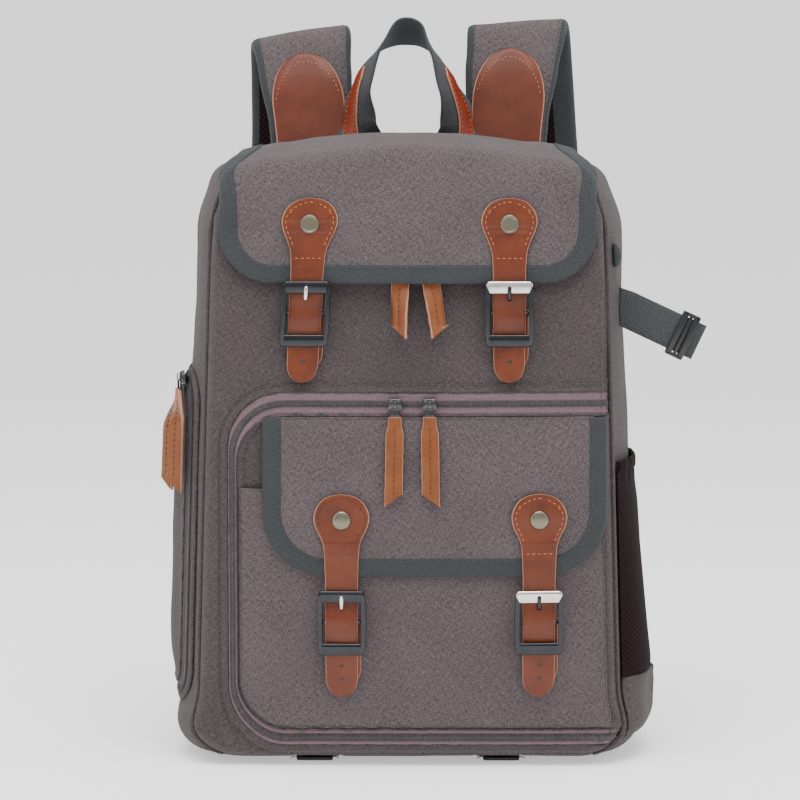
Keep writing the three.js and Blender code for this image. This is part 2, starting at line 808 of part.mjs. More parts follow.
function makePocketFlap() {
  const middle = (pocketFlapRight - pocketFlapLeft) / 2;
  const half = (pocketFlapRight + pocketFlapLeft) / 2;
  const radius = pocketFlapCornerRadius;
  const halfAt = (z, inset) => {
    const into = Math.max(0, pocketFlapEdge + radius - z);
    const reach = Math.sqrt(Math.max(0, (radius - inset) ** 2 - into * into));
    return z < pocketFlapEdge + radius ? half - radius + reach : half - inset;
  };
  const point = (x, z, height) => onFront(x, z, pocketFlapClearance(x, z) + height);
  const edge = bindingWidth + seamGap;
  const low = pocketFlapEdge + edge;
  const heights = [
    ...[1, 0.75, 0.5].map((part) => mix(pocketFlapEdge + radius, pocketFlapTop, part)),
    patchTop,
    ...[90, 70, 50, 30, 12, 0].map((angle) => low + (radius - edge) * (1 - Math.cos(radians(angle)))),
  ].sort((a, b) => b - a);
  const pairs = heights.map((z) =>
    [-1, -0.82, -0.45, 0, 0.45, 0.82, 1].map((part) => {
      const x = middle + part * halfAt(z, edge);
      return [point(x, z, flapThickness), point(x, z, 0)];
    }),
  );
  piece("pocket_flap", sheet(pairs), "canvas");

  const stations = [];
  const side = (sign, parts) => {
    for (const part of parts) {
      const z = mix(pocketFlapEdge + radius, pocketFlapTop, part);
      stations.push([[middle + sign * half, z], [middle + sign * (half - bindingWidth), z]]);
    }
  };
  const corner = (sign, steps) => {
    for (const i of steps) {
      const angle = radians(i * 15);
      const at = (reach) => [
        middle + sign * (half - radius + reach * Math.cos(angle)),
        pocketFlapEdge + radius - reach * Math.sin(angle),
      ];
      stations.push([at(radius), at(radius - bindingWidth)]);
    }
  };
  side(-1, [1, 0.75, 0.5, 0.25]);
  corner(-1, [0, 1, 2, 3, 4, 5, 6]);
  for (const part of [-0.5, 0, 0.5]) {
    const x = middle + part * (half - radius);
    stations.push([[x, pocketFlapEdge], [x, pocketFlapEdge + bindingWidth]]);
  }
  corner(1, [6, 5, 4, 3, 2, 1, 0]);
  side(1, [0.25, 0.5, 0.75, 1]);
  const ring = ([outer, inner]) => {
    const at = (part, height) =>
      point(mix(outer[0], inner[0], part), mix(outer[1], inner[1], part), height);
    return [
      at(0, 0),
      at(0, bindingThickness),
      at(0.35, bindingThickness),
      at(1, bindingThickness),
      at(1, 0),
      at(0.35, 0),
    ];
  };
  piece("pocket_flap_binding", loft(stations.map(ring)), "binding");
}

// Leather closures

const frontPoint = (x, z, height) => [x, frontFace(x, z) - height, z];
const mainFlapOuter = (x, z) =>
  flapClearance(z > flapTurnHeight ? 0.95 : 1 + share(z, flapTurnHeight, flapEdge), x) +
  bindingThickness;
const upperGround = (x, z) => (z > flapEdge - 1 ? mainFlapOuter(x, z) : 0);
const lowerGround = (x, z) =>
  z > pocketFlapEdge - 1
    ? pocketFlapClearance(x, z) + bindingThickness
    : patchStand(x, z) + patchWall;
const closures = [
  { name: "upper_left", x: -67, lean: 3, upper: true },
  { name: "upper_right", x: 70, lean: 0, upper: true },
  { name: "lower_left", x: -46, lean: 0, upper: false },
  { name: "lower_right", x: 91, lean: 0, upper: false },
];

// Half widths down the strap: the round paddle, its neck, and the tail with a round tip.
const paddleRows = [
  { down: 0, wide: 0.12 },
  { down: 0.03, wide: 0.42 },
  { down: 0.1, wide: 0.7 },
  { down: 0.22, wide: 0.9 },
  { down: 0.38, wide: 1 },
  { down: 0.52, wide: 0.95 },
  { down: 0.72, wide: 0.78 },
  { down: 1, wide: 0.63 },
];
const tipRows = [
  { up: 1, wide: 1 },
  { up: 0.55, wide: 0.88 },
  { up: 0.2, wide: 0.6 },
  { up: 0, wide: 0.12 },
];

// A strip over the front of the body: rows of its middle, half width, z and its underside's height at an x.
function frontStrip(rows, thickness) {
  return loft(
    rows.map(({ x, half, z, low }) =>
      [
        [-1, 0],
        [0, 0],
        [1, 0],
        [1, thickness],
        [0, thickness],
        [-1, thickness],
      ].map(([part, up]) => frontPoint(x + half * part, z, low(x + half * part) + up)),
    ),
  );
}

function makeClosure({ name, x, lean, upper }) {
  const edge = upper ? flapEdge : pocketFlapEdge;
  const ground = upper ? upperGround : lowerGround;
  const top = edge + (upper ? upperClosureRise : lowerClosureRise);
  const length = upper ? upperClosureLength : lowerClosureLength;
  const high = top - (upper ? upperBuckleDrop : lowerBuckleDrop);
  const low = high - buckleHeight;
  const [lowInner, highInner] = [low + buckleBarHeight, high - buckleBarHeight];
  const middle = (low + high) / 2;
  const tip = top - length;
  const xAt = (z) => x - Math.tan(radians(lean)) * (top - z);

  // The strap's back: on the flap, over the buckle's centre bar, then on the tab below it.
  const overTab = (z) => ground(xAt(z), z) + layerGap + tabThickness + layerGap;
  const flat = (z) => ground(xAt(z), z) + layerGap;
  const barLow = overTab(middle);
  const overBar = barLow + centreBar + layerGap + 0.3;
  const held = Math.max(flat(edge), upper ? 0 : overTab(high));
  const heightAt = (z) => {
    if (z >= edge) return flat(z);
    if (z >= highInner) return held;
    if (z >= middle) return mix(overBar, held, share(z, middle + 3, highInner));
    return mix(overTab(z), overBar, share(z, lowInner, middle - 3));
  };
  const lowAt = (z) => (at) => (z >= edge ? ground(at, z) + layerGap : heightAt(z));
  const row = (z, half) => ({ x: xAt(z), half, z, low: lowAt(z) });
  const strapRows = [
    ...paddleRows.map(({ down, wide }) => row(top - down * paddleLength, wide * paddleHalfWidth)),
    ...[edge + 1.2, edge - 1.2, high + 2, highInner]
      .filter((z) => z < top - paddleLength - 1)
      .map((z) => row(z, neckHalfWidth)),
    ...[middle + 3, middle - 3, lowInner, low].map((z) => row(z, neckHalfWidth)),
    ...tipRows.map(({ up, wide }) => row(tip + up * neckHalfWidth, wide * neckHalfWidth)),
  ].sort((a, b) => b.z - a.z);
  const strap = frontStrip(strapRows, leatherThickness);
  const across = xAt(middle);
  const holeHalf = prongWidth / 2 + layerGap;
  const holeX = xAt(highInner);
  const hole = box([holeX - holeHalf, -beyond, highInner - 6], [holeX + holeHalf, 0, highInner - 0.5]);
  piece(`closure_strap_${name}`, geometryOf(solid(strap).subtract(solid(hole))), "leather");

  // The tab that holds the buckle, seen a little to the right under the strap's tip.
  const tabTip = tip + tabShort;
  const tabRow = (z, half) => {
    const centre = xAt(z) + tabOffset;
    return { x: centre, half, z, low: () => ground(xAt(z), z) + layerGap };
  };
  const tabRows = [
    tabRow(middle + centreBar, tabHalfWidth),
    tabRow(low, tabHalfWidth),
    ...tipRows.map(({ up, wide }) => tabRow(tabTip + up * tabHalfWidth, wide * tabHalfWidth)),
  ];
  piece(`closure_tab_${name}`, frontStrip(tabRows, tabThickness), "leather");

  // The buckle leans with the strap and lies along the bag's face there: a frame, a centre bar and a prong.
  const reach = 20;
  const slopeX = (frontFace(across + 10, middle) - frontFace(across - 10, middle)) / 20;
  const slopeZ = (frontFace(across, middle + reach) - frontFace(across, middle - reach)) / (2 * reach);
  const laid = (x0, z0, height) => [
    x0,
    frontFace(across, middle) + slopeX * (x0 - across) + slopeZ * (z0 - middle) - height,
    z0,
  ];
  const frameGap = layerGap + 0.5;
  const lowLift = overTab(low) + leatherThickness + frameGap;
  const highLift = heightAt(highInner) + leatherThickness + frameGap;
  const liftAt = (z) => mix(lowLift, highLift, (z - low) / (highInner - low));
  const frame = new THREE.Shape();
  const [w, r] = [buckleWidth / 2, 3];
  frame.moveTo(-w + r, low).lineTo(w - r, low).absarc(w - r, low + r, r, -Math.PI / 2, 0);
  frame.lineTo(w, high - r).absarc(w - r, high - r, r, 0, Math.PI / 2);
  frame.lineTo(-w + r, high).absarc(-w + r, high - r, r, Math.PI / 2, Math.PI);
  frame.lineTo(-w, low + r).absarc(-w + r, low + r, r, Math.PI, 1.5 * Math.PI);
  const window = new THREE.Path();
  const inside = w - buckleRail;
  window.moveTo(-inside, lowInner).lineTo(-inside, highInner);
  window.lineTo(inside, highInner).lineTo(inside, lowInner);
  frame.holes.push(window);
  const bend = (geometry, lift) => {
    const spots = geometry.attributes.position;
    for (let i = 0; i < spots.count; i += 1) {
      const z0 = spots.getZ(i);
      spots.setXYZ(i, ...laid(spots.getX(i) + xAt(z0), z0, lift(z0) - spots.getY(i)));
    }
    return geometry;
  };
  const plate = bend(
    new THREE.ExtrudeGeometry(frame, {
      depth: buckleThickness,
      bevelEnabled: false,
      curveSegments: 2,
    }).rotateX(Math.PI / 2),
    liftAt,
  );
  const barTop = barLow + centreBar;
  const bar = bend(
    box([-inside - 1, -barTop, middle - 1.4], [inside + 1, -barLow, middle + 1.4]),
    () => 0,
  );
  const lug = (sign) => {
    const rail = sign * (w - buckleRail / 2);
    const half = buckleRail / 2 - 0.1;
    const top0 = liftAt(middle) + buckleThickness / 2;
    return bend(
      box([rail - half, -top0, middle - 2.4], [rail + half, -barLow, middle + 2.4]),
      () => 0,
    );
  };
  // The prong turns on the bar, lies under the strap, comes up through its hole and rests on the top bar.
  const prongTop = (z) => liftAt(z) + buckleThickness - 0.4;
  const prongHeight = prongWidth * 0.7;
  const under = (z) => heightAt(z) - layerGap - 0.3 - prongHeight;
  const prong = loft(
    [
      [middle - 1, barLow + 0.2],
      [middle + 1, barLow + 0.2],
      [highInner - 7, under(highInner - 7)],
      [highInner - 5.2, under(highInner - 5.2)],
      [highInner - 0.8, prongTop(highInner)],
      [highInner + 4.5, prongTop(highInner + 4.5)],
    ].map(([z, base]) => {
      const [at, half] = [xAt(z), prongWidth / 2];
      return [
        laid(at - half, z, base),
        laid(at + half, z, base),
        laid(at + half, z, base + prongHeight),
        laid(at - half, z, base + prongHeight),
      ];
    }),
  );
  const buckle = [bar, lug(-1), lug(1), prong].reduce(
    (made, part) => made.add(solid(part)),
    solid(plate),
  );
  piece(`closure_buckle_${name}`, geometryOf(buckle), "metal");

  // Rivet cap on the paddle.
  const rivetZ = top - rivetDrop;
  const rivetX = xAt(rivetZ);
  const cap = new THREE.LatheGeometry(
    [
      [0, 0],
      [1, 0],
      [1, 0.45],
      [0.8, 0.85],
      [0, 1],
    ].map(([out, up]) => new THREE.Vector2(out * rivetRadius, up * rivetHeight)),
    10,
  );
  const seat = heightAt(rivetZ) + leatherThickness + layerGap + 0.2;
  const around = 7;
  const outward = new THREE.Vector3(
    (frontPoint(rivetX + around, rivetZ, 0)[1] - frontPoint(rivetX - around, rivetZ, 0)[1]) /
      (2 * around),
    -1,
    (frontPoint(rivetX, rivetZ + around, heightAt(rivetZ + around))[1] -
      frontPoint(rivetX, rivetZ - around, heightAt(rivetZ - around))[1]) /
      (2 * around),
  ).normalize();
  const rivet = piece(`closure_rivet_${name}`, geometryOf(solid(cap)), "silver");
  rivet.quaternion.setFromUnitVectors(new THREE.Vector3(0, 1, 0), outward);
  rivet.position.set(...frontPoint(rivetX, rivetZ, seat));
}

// Zip sliders and pulls

// A metal slider on the coil with the tag that carries the leather; its origin is on the coil's top.
function sliderSolid() {
  const body = box(
    [-sliderLength / 2, -sliderHeight, -sliderWidth / 2],
    [sliderLength / 2, 0, sliderWidth / 2],
  );
  const bail = box(
    [-1.2, -sliderHeight - bailHeight, -sliderWidth / 2],
    [1.2, -sliderHeight + 0.5, 0],
  );
  const tag = box(
    [-pullWidth * 0.28, -sliderHeight - bailHeight, -sliderWidth / 2 - tagLength],
    [pullWidth * 0.28, -sliderHeight - bailHeight + tagThickness, -sliderWidth / 2 + 1.5],
  );
  return geometryOf(solid(body).add(solid(bail)).add(solid(tag)));
}

// Where each pull hangs: how far its top and end stand off, its sideways drift and twist at the end, and its pointed side.
const frontPulls = [
  { name: "door_left", x: -9, door: true, off: 1, drift: -1, twist: 0, point: -1 },
  { name: "door_right", x: 15, door: true, off: 1, drift: 1, twist: 0, point: 1 },
  { name: "main_left", x: -5, door: false, off: 0, drift: -1, twist: 38, point: 1 },
  { name: "main_right", x: 12, door: false, off: 0, drift: 10, twist: -28, point: -1 },
];

function makeFrontPull({ name, x, door, off, drift, twist, point }) {
  const zipAt = door ? doorTop - doorZipTopWidth / 2 : mainZipHeight;
  const coilTop = coilHeight - zipSink + seamGap;
  const slider = piece(`zip_slider_${name}`, sliderSolid(), "metal");
  slider.position.set(...frontPoint(x, zipAt, coilTop));

  const ground = (z) =>
    door ? pocketFlapClearance(x, Math.max(z, pocketFlapEdge)) + flapThickness + layerGap + 0.4 : 0;
  const start = zipAt - sliderWidth / 2 - tagLength - seamGap;
  const fromTag = coilTop + sliderHeight + bailHeight - tagThickness - 0.4;
  const rows = [0, 0.1, 0.25, 0.45, 0.65, 0.85, 1].map((part) => {
    const z = start - part * pullLength;
    const eased = THREE.MathUtils.smoothstep(part, 0.32, 0.75);
    const low = mix(fromTag, Math.max(fromTag, ground(z)) + off, THREE.MathUtils.smoothstep(part, 0, 0.25));
    return { part, z, x: x + drift * part, low, turn: radians(twist * eased) };
  });
  const half = (part) => (pullWidth / 2) * mix(0.72, 1, share(part, 0, 0.12));
  const body = loft(
    rows.map((row) => {
      const [c, s] = [Math.cos(row.turn), Math.sin(row.turn)];
      const h = half(row.part);
      const slant = (side) => (row.part === 1 && side === -point ? pullPoint : 0);
      return [
        [-1, 0],
        [1, 0],
        [1, 1],
        [-1, 1],
      ].map(([side, up]) => {
        const [u, v] = [side * h, (up - 0.5) * pullThickness];
        const lift = row.low + pullThickness / 2 + Math.abs(s) * h;
        const base = frontPoint(row.x, row.z, lift);
        return [base[0] + u * c - v * s, base[1] - u * s - v * c, row.z + slant(side)];
      });
    }),
  );
  piece(`zip_pull_${name}`, body, "leather");
}

// Sides

const sidePoint = (sign) => (y, z, height) => [sign * (sideFace(y, z) + height), y, z];
const panelMiddle = {
  y: (sidePocketFront + sidePocketBack) / 2,
  z: (sidePocketBottom + sidePocketTop) / 2,
};
const panelHalf = {
  y: (sidePocketBack - sidePocketFront) / 2,
  z: (sidePocketTop - sidePocketBottom) / 2,
};

// Points round the side panel's outline, a given distance inside it.
function panelOutline(inset) {
  const radius = sidePocketCornerRadius - inset;
  const [y, z] = [panelHalf.y - sidePocketCornerRadius, panelHalf.z - sidePocketCornerRadius];
  const points = [];
  for (const [sy, sz, from] of [
    [1, 1, 0],
    [-1, 1, 90],
    [-1, -1, 180],
    [1, -1, 270],
  ]) {
    for (const turn of [0, 30, 60, 90]) {
      const angle = radians(from + turn);
      points.push([
        panelMiddle.y + sy * y + radius * Math.cos(angle),
        panelMiddle.z + sz * z + radius * Math.sin(angle),
      ]);
    }
    if (sy === sz) points.push([panelMiddle.y, panelMiddle.z + sz * (panelHalf.z - inset)]);
    else {
      for (const part of [0.5, 0, -0.5]) {
        points.push([panelMiddle.y + sy * (panelHalf.y - inset), panelMiddle.z - sy * part * z]);
      }
    }
  }
  return points;
}

// A closed band through a ring of sections.
function loftRing(sections) {
  const count = sections[0].length;
  const corners = sections.flat();
  const triangles = [];
  for (let i = 0; i < sections.length; i += 1) {
    const next = (i + 1) % sections.length;
    for (let j = 0; j < count; j += 1) {
      const k = (j + 1) % count;
      const [a, b, c, d] = [i * count + j, i * count + k, next * count + j, next * count + k];
      triangles.push([a, c, b], [b, c, d]);
    }
  }
  return closedGeometry(corners, triangles);
}

// How far the bulging panel's inner side stands off the gusset.
function panelHeight(y, z) {
  const [halfY, halfZ] = [panelHalf.y - sideZipWidth, panelHalf.z - sideZipWidth];
  const [fromMiddleY, fromMiddleZ] = [Math.abs(y - panelMiddle.y), Math.abs(z - panelMiddle.z)];
  const fromEdge = Math.min(halfZ - fromMiddleZ, halfY - fromMiddleY);
  const step = THREE.MathUtils.smoothstep(fromEdge, -2, 22) * (sidePocketDepth - sideZipLift);
  const dome = sidePocketBulge * Math.max(0, 1 - (fromMiddleY / halfY) ** 2) * (1 - (fromMiddleZ / halfZ) ** 4);
  return layerGap + sideZipLift + step + Math.max(0, dome);
}

function makeSidePanel() {
  const point = sidePoint(-1);
  const outer = panelOutline(0);
  const inner = panelOutline(sideZipWidth);
  const onBand = (i, part, height) =>
    point(
      mix(outer[i][0], inner[i][0], part),
      mix(outer[i][1], inner[i][1], part),
      layerGap + part * sideZipLift + height,
    );
  piece(
    "side_zip",
    loftRing(
      outer.map((_, i) => [
        onBand(i, 0, 0),
        onBand(i, 0, 1.4),
        onBand(i, 0.38, 1.4),
        onBand(i, 0.46, 1.4 + coilHeight),
        onBand(i, 0.58, 1.4 + coilHeight),
        onBand(i, 0.66, 1.4),
        onBand(i, 1, 1.4),
        onBand(i, 1, 0),
      ]),
    ),
    "zip",
  );

  const radius = sidePocketCornerRadius - sideZipWidth;
  const [halfY, halfZ] = [panelHalf.y - sideZipWidth - seamGap, panelHalf.z - sideZipWidth - seamGap];
  const heights = [-1, -0.97, -0.88, -0.6, 0, 0.6, 0.88, 0.97, 1];
  const pairs = heights.map((up) => {
    const into = Math.max(0, Math.abs(up) * halfZ - (halfZ - radius));
    const width = halfY - radius + Math.sqrt(Math.max(0, radius * radius - into * into));
    return [-1, -0.85, -0.5, 0, 0.5, 0.85, 1].map((along) => {
      const [y, z] = [panelMiddle.y + along * width, panelMiddle.z + up * halfZ];
      const low = panelHeight(y, z);
      return [point(y, z, low + sidePocketWall), point(y, z, low)];
    });
  });
  piece("side_panel", sheet(pairs), "canvas");

  // Two sliders at the top of the zip, their pulls hanging over the panel's front edge.
  for (const [name, y] of [
    ["side_front", -42],
    ["side_rear", -24],
  ]) {
    const z = sidePocketTop - sideZipWidth * 0.52;
    const low = layerGap + 0.52 * sideZipLift + 1.4 + coilHeight + 1.6;
    const slider = piece(`zip_slider_${name}`, sliderSolid(), "metal");
    slider.rotation.z = -Math.PI / 2;
    slider.position.set(...point(y, z, low));
    const start = z - sliderWidth / 2 - tagLength - seamGap;
    const out = low + sliderHeight + bailHeight - tagThickness;
    const rows = [0, 0.15, 0.5, 1].map((part) => ({
      z: start - part * pullLength,
      half: (pullWidth / 2) * mix(0.72, 1, share(part, 0, 0.12)),
      low: Math.max(
        out,
        ...[-0.6, 0, 0.6].map(
          (along) =>
            panelHeight(y + along * pullWidth, start - part * pullLength) +
            sideFace(y + along * pullWidth, start - part * pullLength) -
            sideFace(y, start - part * pullLength) +
            sidePocketWall +
            1,
        ),
      ),
      end: part === 1,
    }));
    piece(
      `zip_pull_${name}`,
      loft(
        rows.map((row) =>
          [
            [-1, 0],
            [1, 0],
            [1, 1],
            [-1, 1],
          ].map(([side, up]) => {
            const height = row.low + up * pullThickness;
            const at = point(y, row.z, height);
            return [at[0], y + side * row.half, row.z + (row.end && side > 0 ? pullPoint : 0)];
          }),
        ),
      ),
      "leather",
    );
  }
}

function makeMeshPocket() {
  const point = sidePoint(1);
  const rim = (along) => 1 - Math.abs(along) ** 5;
  const hang = (z) => {
    if (z < meshPocketHem) return meshPocketDepth * rimRise(share(z, meshPocketBottom, meshPocketHem));
    return mix(meshPocketDepth, meshPocketMouth, share(z, meshPocketHem, meshPocketTop));
  };
  const grid = (heights, extra) =>
    heights.map((z) =>
      [-1, -0.95, -0.8, -0.45, 0, 0.45, 0.8, 0.95, 1].map((along) => {
        const y = mix(meshPocketFront, meshPocketBack, (along + 1) / 2);
        const low = layerGap + hang(z) * rim(along) + extra(along, z);
        return [point(y, z, low + meshPocketWall), point(y, z, low)];
      }),
    );
  const upper = [0, 0.25, 0.5, 0.75, 0.94, 1].map((part) =>
    mix(meshPocketHem + seamGap, meshPocketTop, part),
  );
  const lower = [0, 0.06, 0.2, 0.5, 0.8, 1].map((part) => mix(meshPocketBottom, meshPocketHem, part));
  piece("mesh_pocket", sheet(grid(upper, () => 0)), "mesh");

  // The canvas base has an upright fold towards the front.
  const fold = (along, z) => {
    const near = Math.max(0, 1 - Math.abs(along + 0.45) / 0.35);
    return -3.5 * near * share(z, meshPocketBottom, meshPocketHem) ** 0.5;
  };
  piece("mesh_pocket_base", sheet(grid(lower, fold)), "canvas");
}

// Webbing and padded straps follow a smooth line through a few stations

const vector = (list) => new THREE.Vector3(...list);

// Frames along the stations, each with a place, the strap's width direction and the side that faces out.
function framesAlong(stations, steps) {
  const line = new THREE.CatmullRomCurve3(stations.map(({ at }) => vector(at)), false, "centripetal");
  return Array.from({ length: steps + 1 }, (_, i) => {
    const t = i / steps;
    const spot = t * (stations.length - 1);
    const from = Math.min(stations.length - 2, Math.floor(spot));
    const part = THREE.MathUtils.smoothstep(spot - from, 0, 1);
    const [a, b] = [stations[from], stations[from + 1]];
    const forward = line.getTangent(t);
    const across = vector(a.across).lerp(vector(b.across), part);
    across.addScaledVector(forward, -across.dot(forward)).normalize();
    return {
      at: line.getPoint(t),
      across,
      out: new THREE.Vector3().crossVectors(across, forward).normalize(),
      width: mix(a.width, b.width, part),
    };
  });
}

// A strip along frames; its section is [share of half width, height] corners.
function strip(frames, section) {
  return loft(
    frames.map(({ at, across, out, width }, i) =>
      section(i / (frames.length - 1), width).map(([side, height]) =>
        at
          .clone()
          .addScaledVector(across, (side * width) / 2)
          .addScaledVector(out, height)
          .toArray(),
      ),
    ),
  );
}
const flatSection = (low, high) => () => [
  [-1, low],
  [1, low],
  [1, high],
  [-1, high],
];

// The compression strap hangs out and down from the right side with its slider near the end.
function makeSideStrap() {
  const [c, s] = [Math.cos(radians(sideStrapDroop)), Math.sin(radians(sideStrapDroop))];
  const root = vector([sideFace(sideStrapForward, sideStrapHeight), sideStrapForward, sideStrapHeight]);
  const half = sideStrapThickness / 2;
  const frameAt = (part) => ({
    at: root
      .clone()
      .add(vector([part * sideStrapLength * c, -3 * Math.sin(part * 2.6), -part * sideStrapLength * s])),
    across: part === 0 ? vector([0, 0, 1]) : vector([s, 0, c]),
    out: vector([0, -1, 0]),
    width: sideStrapWidth,
  });
  const strap = [0, 0.22, 0.45, 0.7, 0.85, 1].map((part) => {
    const { at, across, out, width } = frameAt(part);
    return flatSection(-half, half)().map(([side, height]) => {
      const corner = at.clone().addScaledVector(across, (side * width) / 2).addScaledVector(out, height);
      if (part === 0) corner.x = sideFace(corner.y, corner.z) + layerGap;
      return corner.toArray();
    });
  });
  piece("compression_strap", loft(strap), "webbing");

  const reach = sideStrapLength - sliderFrameFromEnd;
  const frame = frameAt(reach / sideStrapLength);
  const [hw, hl, ht] = [sliderFrameWidth / 2, sliderFrameLength / 2, sliderFrameThickness / 2];
  const gap = 0.9;
  const block = solid(box([-hl, -ht, -hw], [hl, ht, hw])).subtract(
    solid(
      box([-20, -half - gap, -sideStrapWidth / 2 - gap], [20, half + gap, sideStrapWidth / 2 + gap]),
    ),
  );
  const slider = piece("compression_slider", geometryOf(block), "plastic");
  const forward = new THREE.Vector3().crossVectors(frame.out, frame.across);
  slider.quaternion.setFromRotationMatrix(
    new THREE.Matrix4().makeBasis(forward, frame.out, frame.across),
  );
  slider.position.copy(frame.at);

  // A small loop of webbing at the front seam above it.
  const tabY = -52;
  const tab = [0, 0.25, 0.75, 1].map((part) => {
    const z = sideTabHeight + (part - 0.5) * sideTabWidth;
    const out = part === 0 || part === 1 ? 1.4 : sideTabReach;
    return [
      [tabY - 6, 0],
      [tabY + 6, 0],
      [tabY + 6, out],
      [tabY - 6, out],
    ].map(([y, height]) => [sideFace(y, z) + layerGap + height, y, z]);
  });
  piece("side_tab", loft(tab), "webbing");
}

// Stations down the right shoulder strap, from its seam at the top of the back, over its arch and down.
// Each is [shares of the bag's top half width, of the arch's depth behind the back, of the bag's height, of the strap's width].
const strapStations = stationsAt(halfDepth + backRim + strapThickness / 2, strapWidth, [
  [0.511, 0.028, 0.868, 0.8],
  [0.511, 0.031, 0.925, 0.8],
  [0.518, 0.098, 0.981, 0.8],
  [0.533, 0.18, 1.061, 0.827],
  [0.562, 0.295, 1.144, 0.92],
  [0.591, 0.525, 1.203, 0.987],
  [0.613, 0.836, 1.198, 1],
  [0.635, 1, 1.127, 1],
  [0.672, 1, 0.991, 0.987],
  [0.723, 0.934, 0.825, 0.933],
  [0.781, 0.836, 0.637, 0.853],
  [0.832, 0.705, 0.46, 0.773],
  [0.869, 0.541, 0.33, 0.613],
]);
const webbingStations = stationsAt(halfDepth + backRim + webbingThickness / 2, webbingWidth, [
  [0.874, 0.6, 0.311, 1],
  [0.883, 0.525, 0.255, 1],
  [0.905, 0.344, 0.179, 1],
  [0.912, 0.115, 0.132, 1],
  [0.905, 0.015, 0.099, 1],
]);
function stationsAt(back, width, rows) {
  return rows.map(([out, behind, up, wide]) => ({
    at: [out * topHalfWidth, back + behind * strapArchDepth, up * bodyTop],
    across: [1, 0, 0],
    width: wide * width,
  }));
}
const mirrored = (stations, sign, rise) =>
  stations.map(({ at, across, width }) => ({
    at: [sign * at[0], at[1], at[2] + rise * share(at[2], bodyTop, 1.15 * bodyTop)],
    across,
    width,
  }));

function makeShoulderStrap(side, sign) {
  const half = strapThickness / 2;
  const steps = 16;
  const rise = sign > 0 ? strapRiseRight : 0;
  const frames = framesAlong(mirrored(strapStations, sign, rise), steps);
  const padded = () => [
    [-1, -half * 0.35],
    [-0.86, -half],
    [0.86, -half],
    [1, -half * 0.35],
    [1, half * 0.35],
    [0.86, half],
    [-0.86, half],
    [-1, half * 0.35],
  ];
  piece(`shoulder_strap_${side}`, strip(frames, padded), "canvas");

  // The leather patch on the face that shows over the top of the bag, with a round upper edge.
  const patch = framesAlong(mirrored(strapStations, sign, rise), 4 * steps).slice(
    Math.round(0.6 * steps),
    Math.round(1.32 * steps),
  );
  const faced = patch.map((frame, i) => {
    const up = i / (patch.length - 1);
    const round = Math.sqrt(Math.max(0.02, 1 - Math.max(0, (up - 0.55) / 0.45) ** 2));
    return { ...frame, width: strapPatchWidth * round * mix(0.9, 1, up) };
  });
  const outSide = half + layerGap;
  const towards = patch[0].out.y < 0 ? 1 : -1;
  const [low, high] = [towards * outSide, towards * (outSide + strapPatchThickness)];
  const rows = faced.filter((_, i) => i % 2 === 0 || i > faced.length - 4);
  piece(`strap_patch_${side}`, strip(rows, flatSection(low, high)), "leather");

  // Lower webbing through its ladder lock, sewn to the back near the base.
  const web = framesAlong(mirrored(webbingStations, sign, 0), 8);
  const thin = webbingThickness / 2;
  piece(`strap_webbing_${side}`, strip(web, flatSection(-thin, thin)), "webbing");
  const lock = new THREE.Vector3().lerpVectors(web[0].at, web[1].at, 0.9);
  const gap = 0.5;
  const block = solid(
    box(
      [-adjusterWidth / 2, -adjusterThickness / 2, -adjusterLength / 2],
      [adjusterWidth / 2, adjusterThickness / 2, adjusterLength / 2],
    ),
  ).subtract(
    solid(
      box(
        [-webbingWidth / 2 - gap, -thin - gap - 0.4, -adjusterLength],
        [webbingWidth / 2 + gap, thin + gap + 0.4, adjusterLength],
      ),
    ),
  );
  const forward = new THREE.Vector3().subVectors(web[0].at, web[2].at).normalize();
  const across = new THREE.Vector3(1, 0, 0).addScaledVector(forward, -forward.x).normalize();
  const out = new THREE.Vector3().crossVectors(forward, across);
  const adjuster = piece(`strap_adjuster_${side}`, geometryOf(block), "plastic");
  adjuster.quaternion.setFromRotationMatrix(new THREE.Matrix4().makeBasis(across, out, forward));
  adjuster.position.copy(lock);
}

// Grab handle: webbing sewn flat to the top of the back, turning on its way up to lean back at the top.
// Each station is [shares of the half span, of the lean back and of the rise, the width's direction].
const handleStations = [
  [-0.973, 0.07, 0, [1, 0, 0]],
  [-0.973, 0.1, 0.204, [1, 0, 0]],
  [-1, -0.12, 0.459, [0.93, -0.35, 0]],
  [-0.946, -0.32, 0.694, [0.5, -0.86, -0.1]],
  [-0.73, 0.28, 0.878, [0.35, -0.65, 0.55]],
  [-0.243, 0.98, 1, [0.1, -0.45, 0.88]],
  [0.216, 0.98, 0.98, [-0.12, -0.45, 0.88]],
  [0.649, 0.28, 0.827, [-0.35, -0.65, 0.55]],
  [0.919, -0.42, 0.612, [-0.5, -0.86, -0.1]],
  [1, -0.12, 0.408, [-0.93, -0.35, 0]],
  [0.973, 0.1, 0.194, [-1, 0, 0]],
  [0.973, 0.07, 0, [-1, 0, 0]],
].map(([out, lean, up, across]) => ({
  at: [
    out * handleHalfSpan,
    halfDepth + backRim + handleThickness / 2 + lean * handleLean,
    bodyTop - handleSeat + up * handleRise,
  ],
  across,
  width: handleWidth,
}));

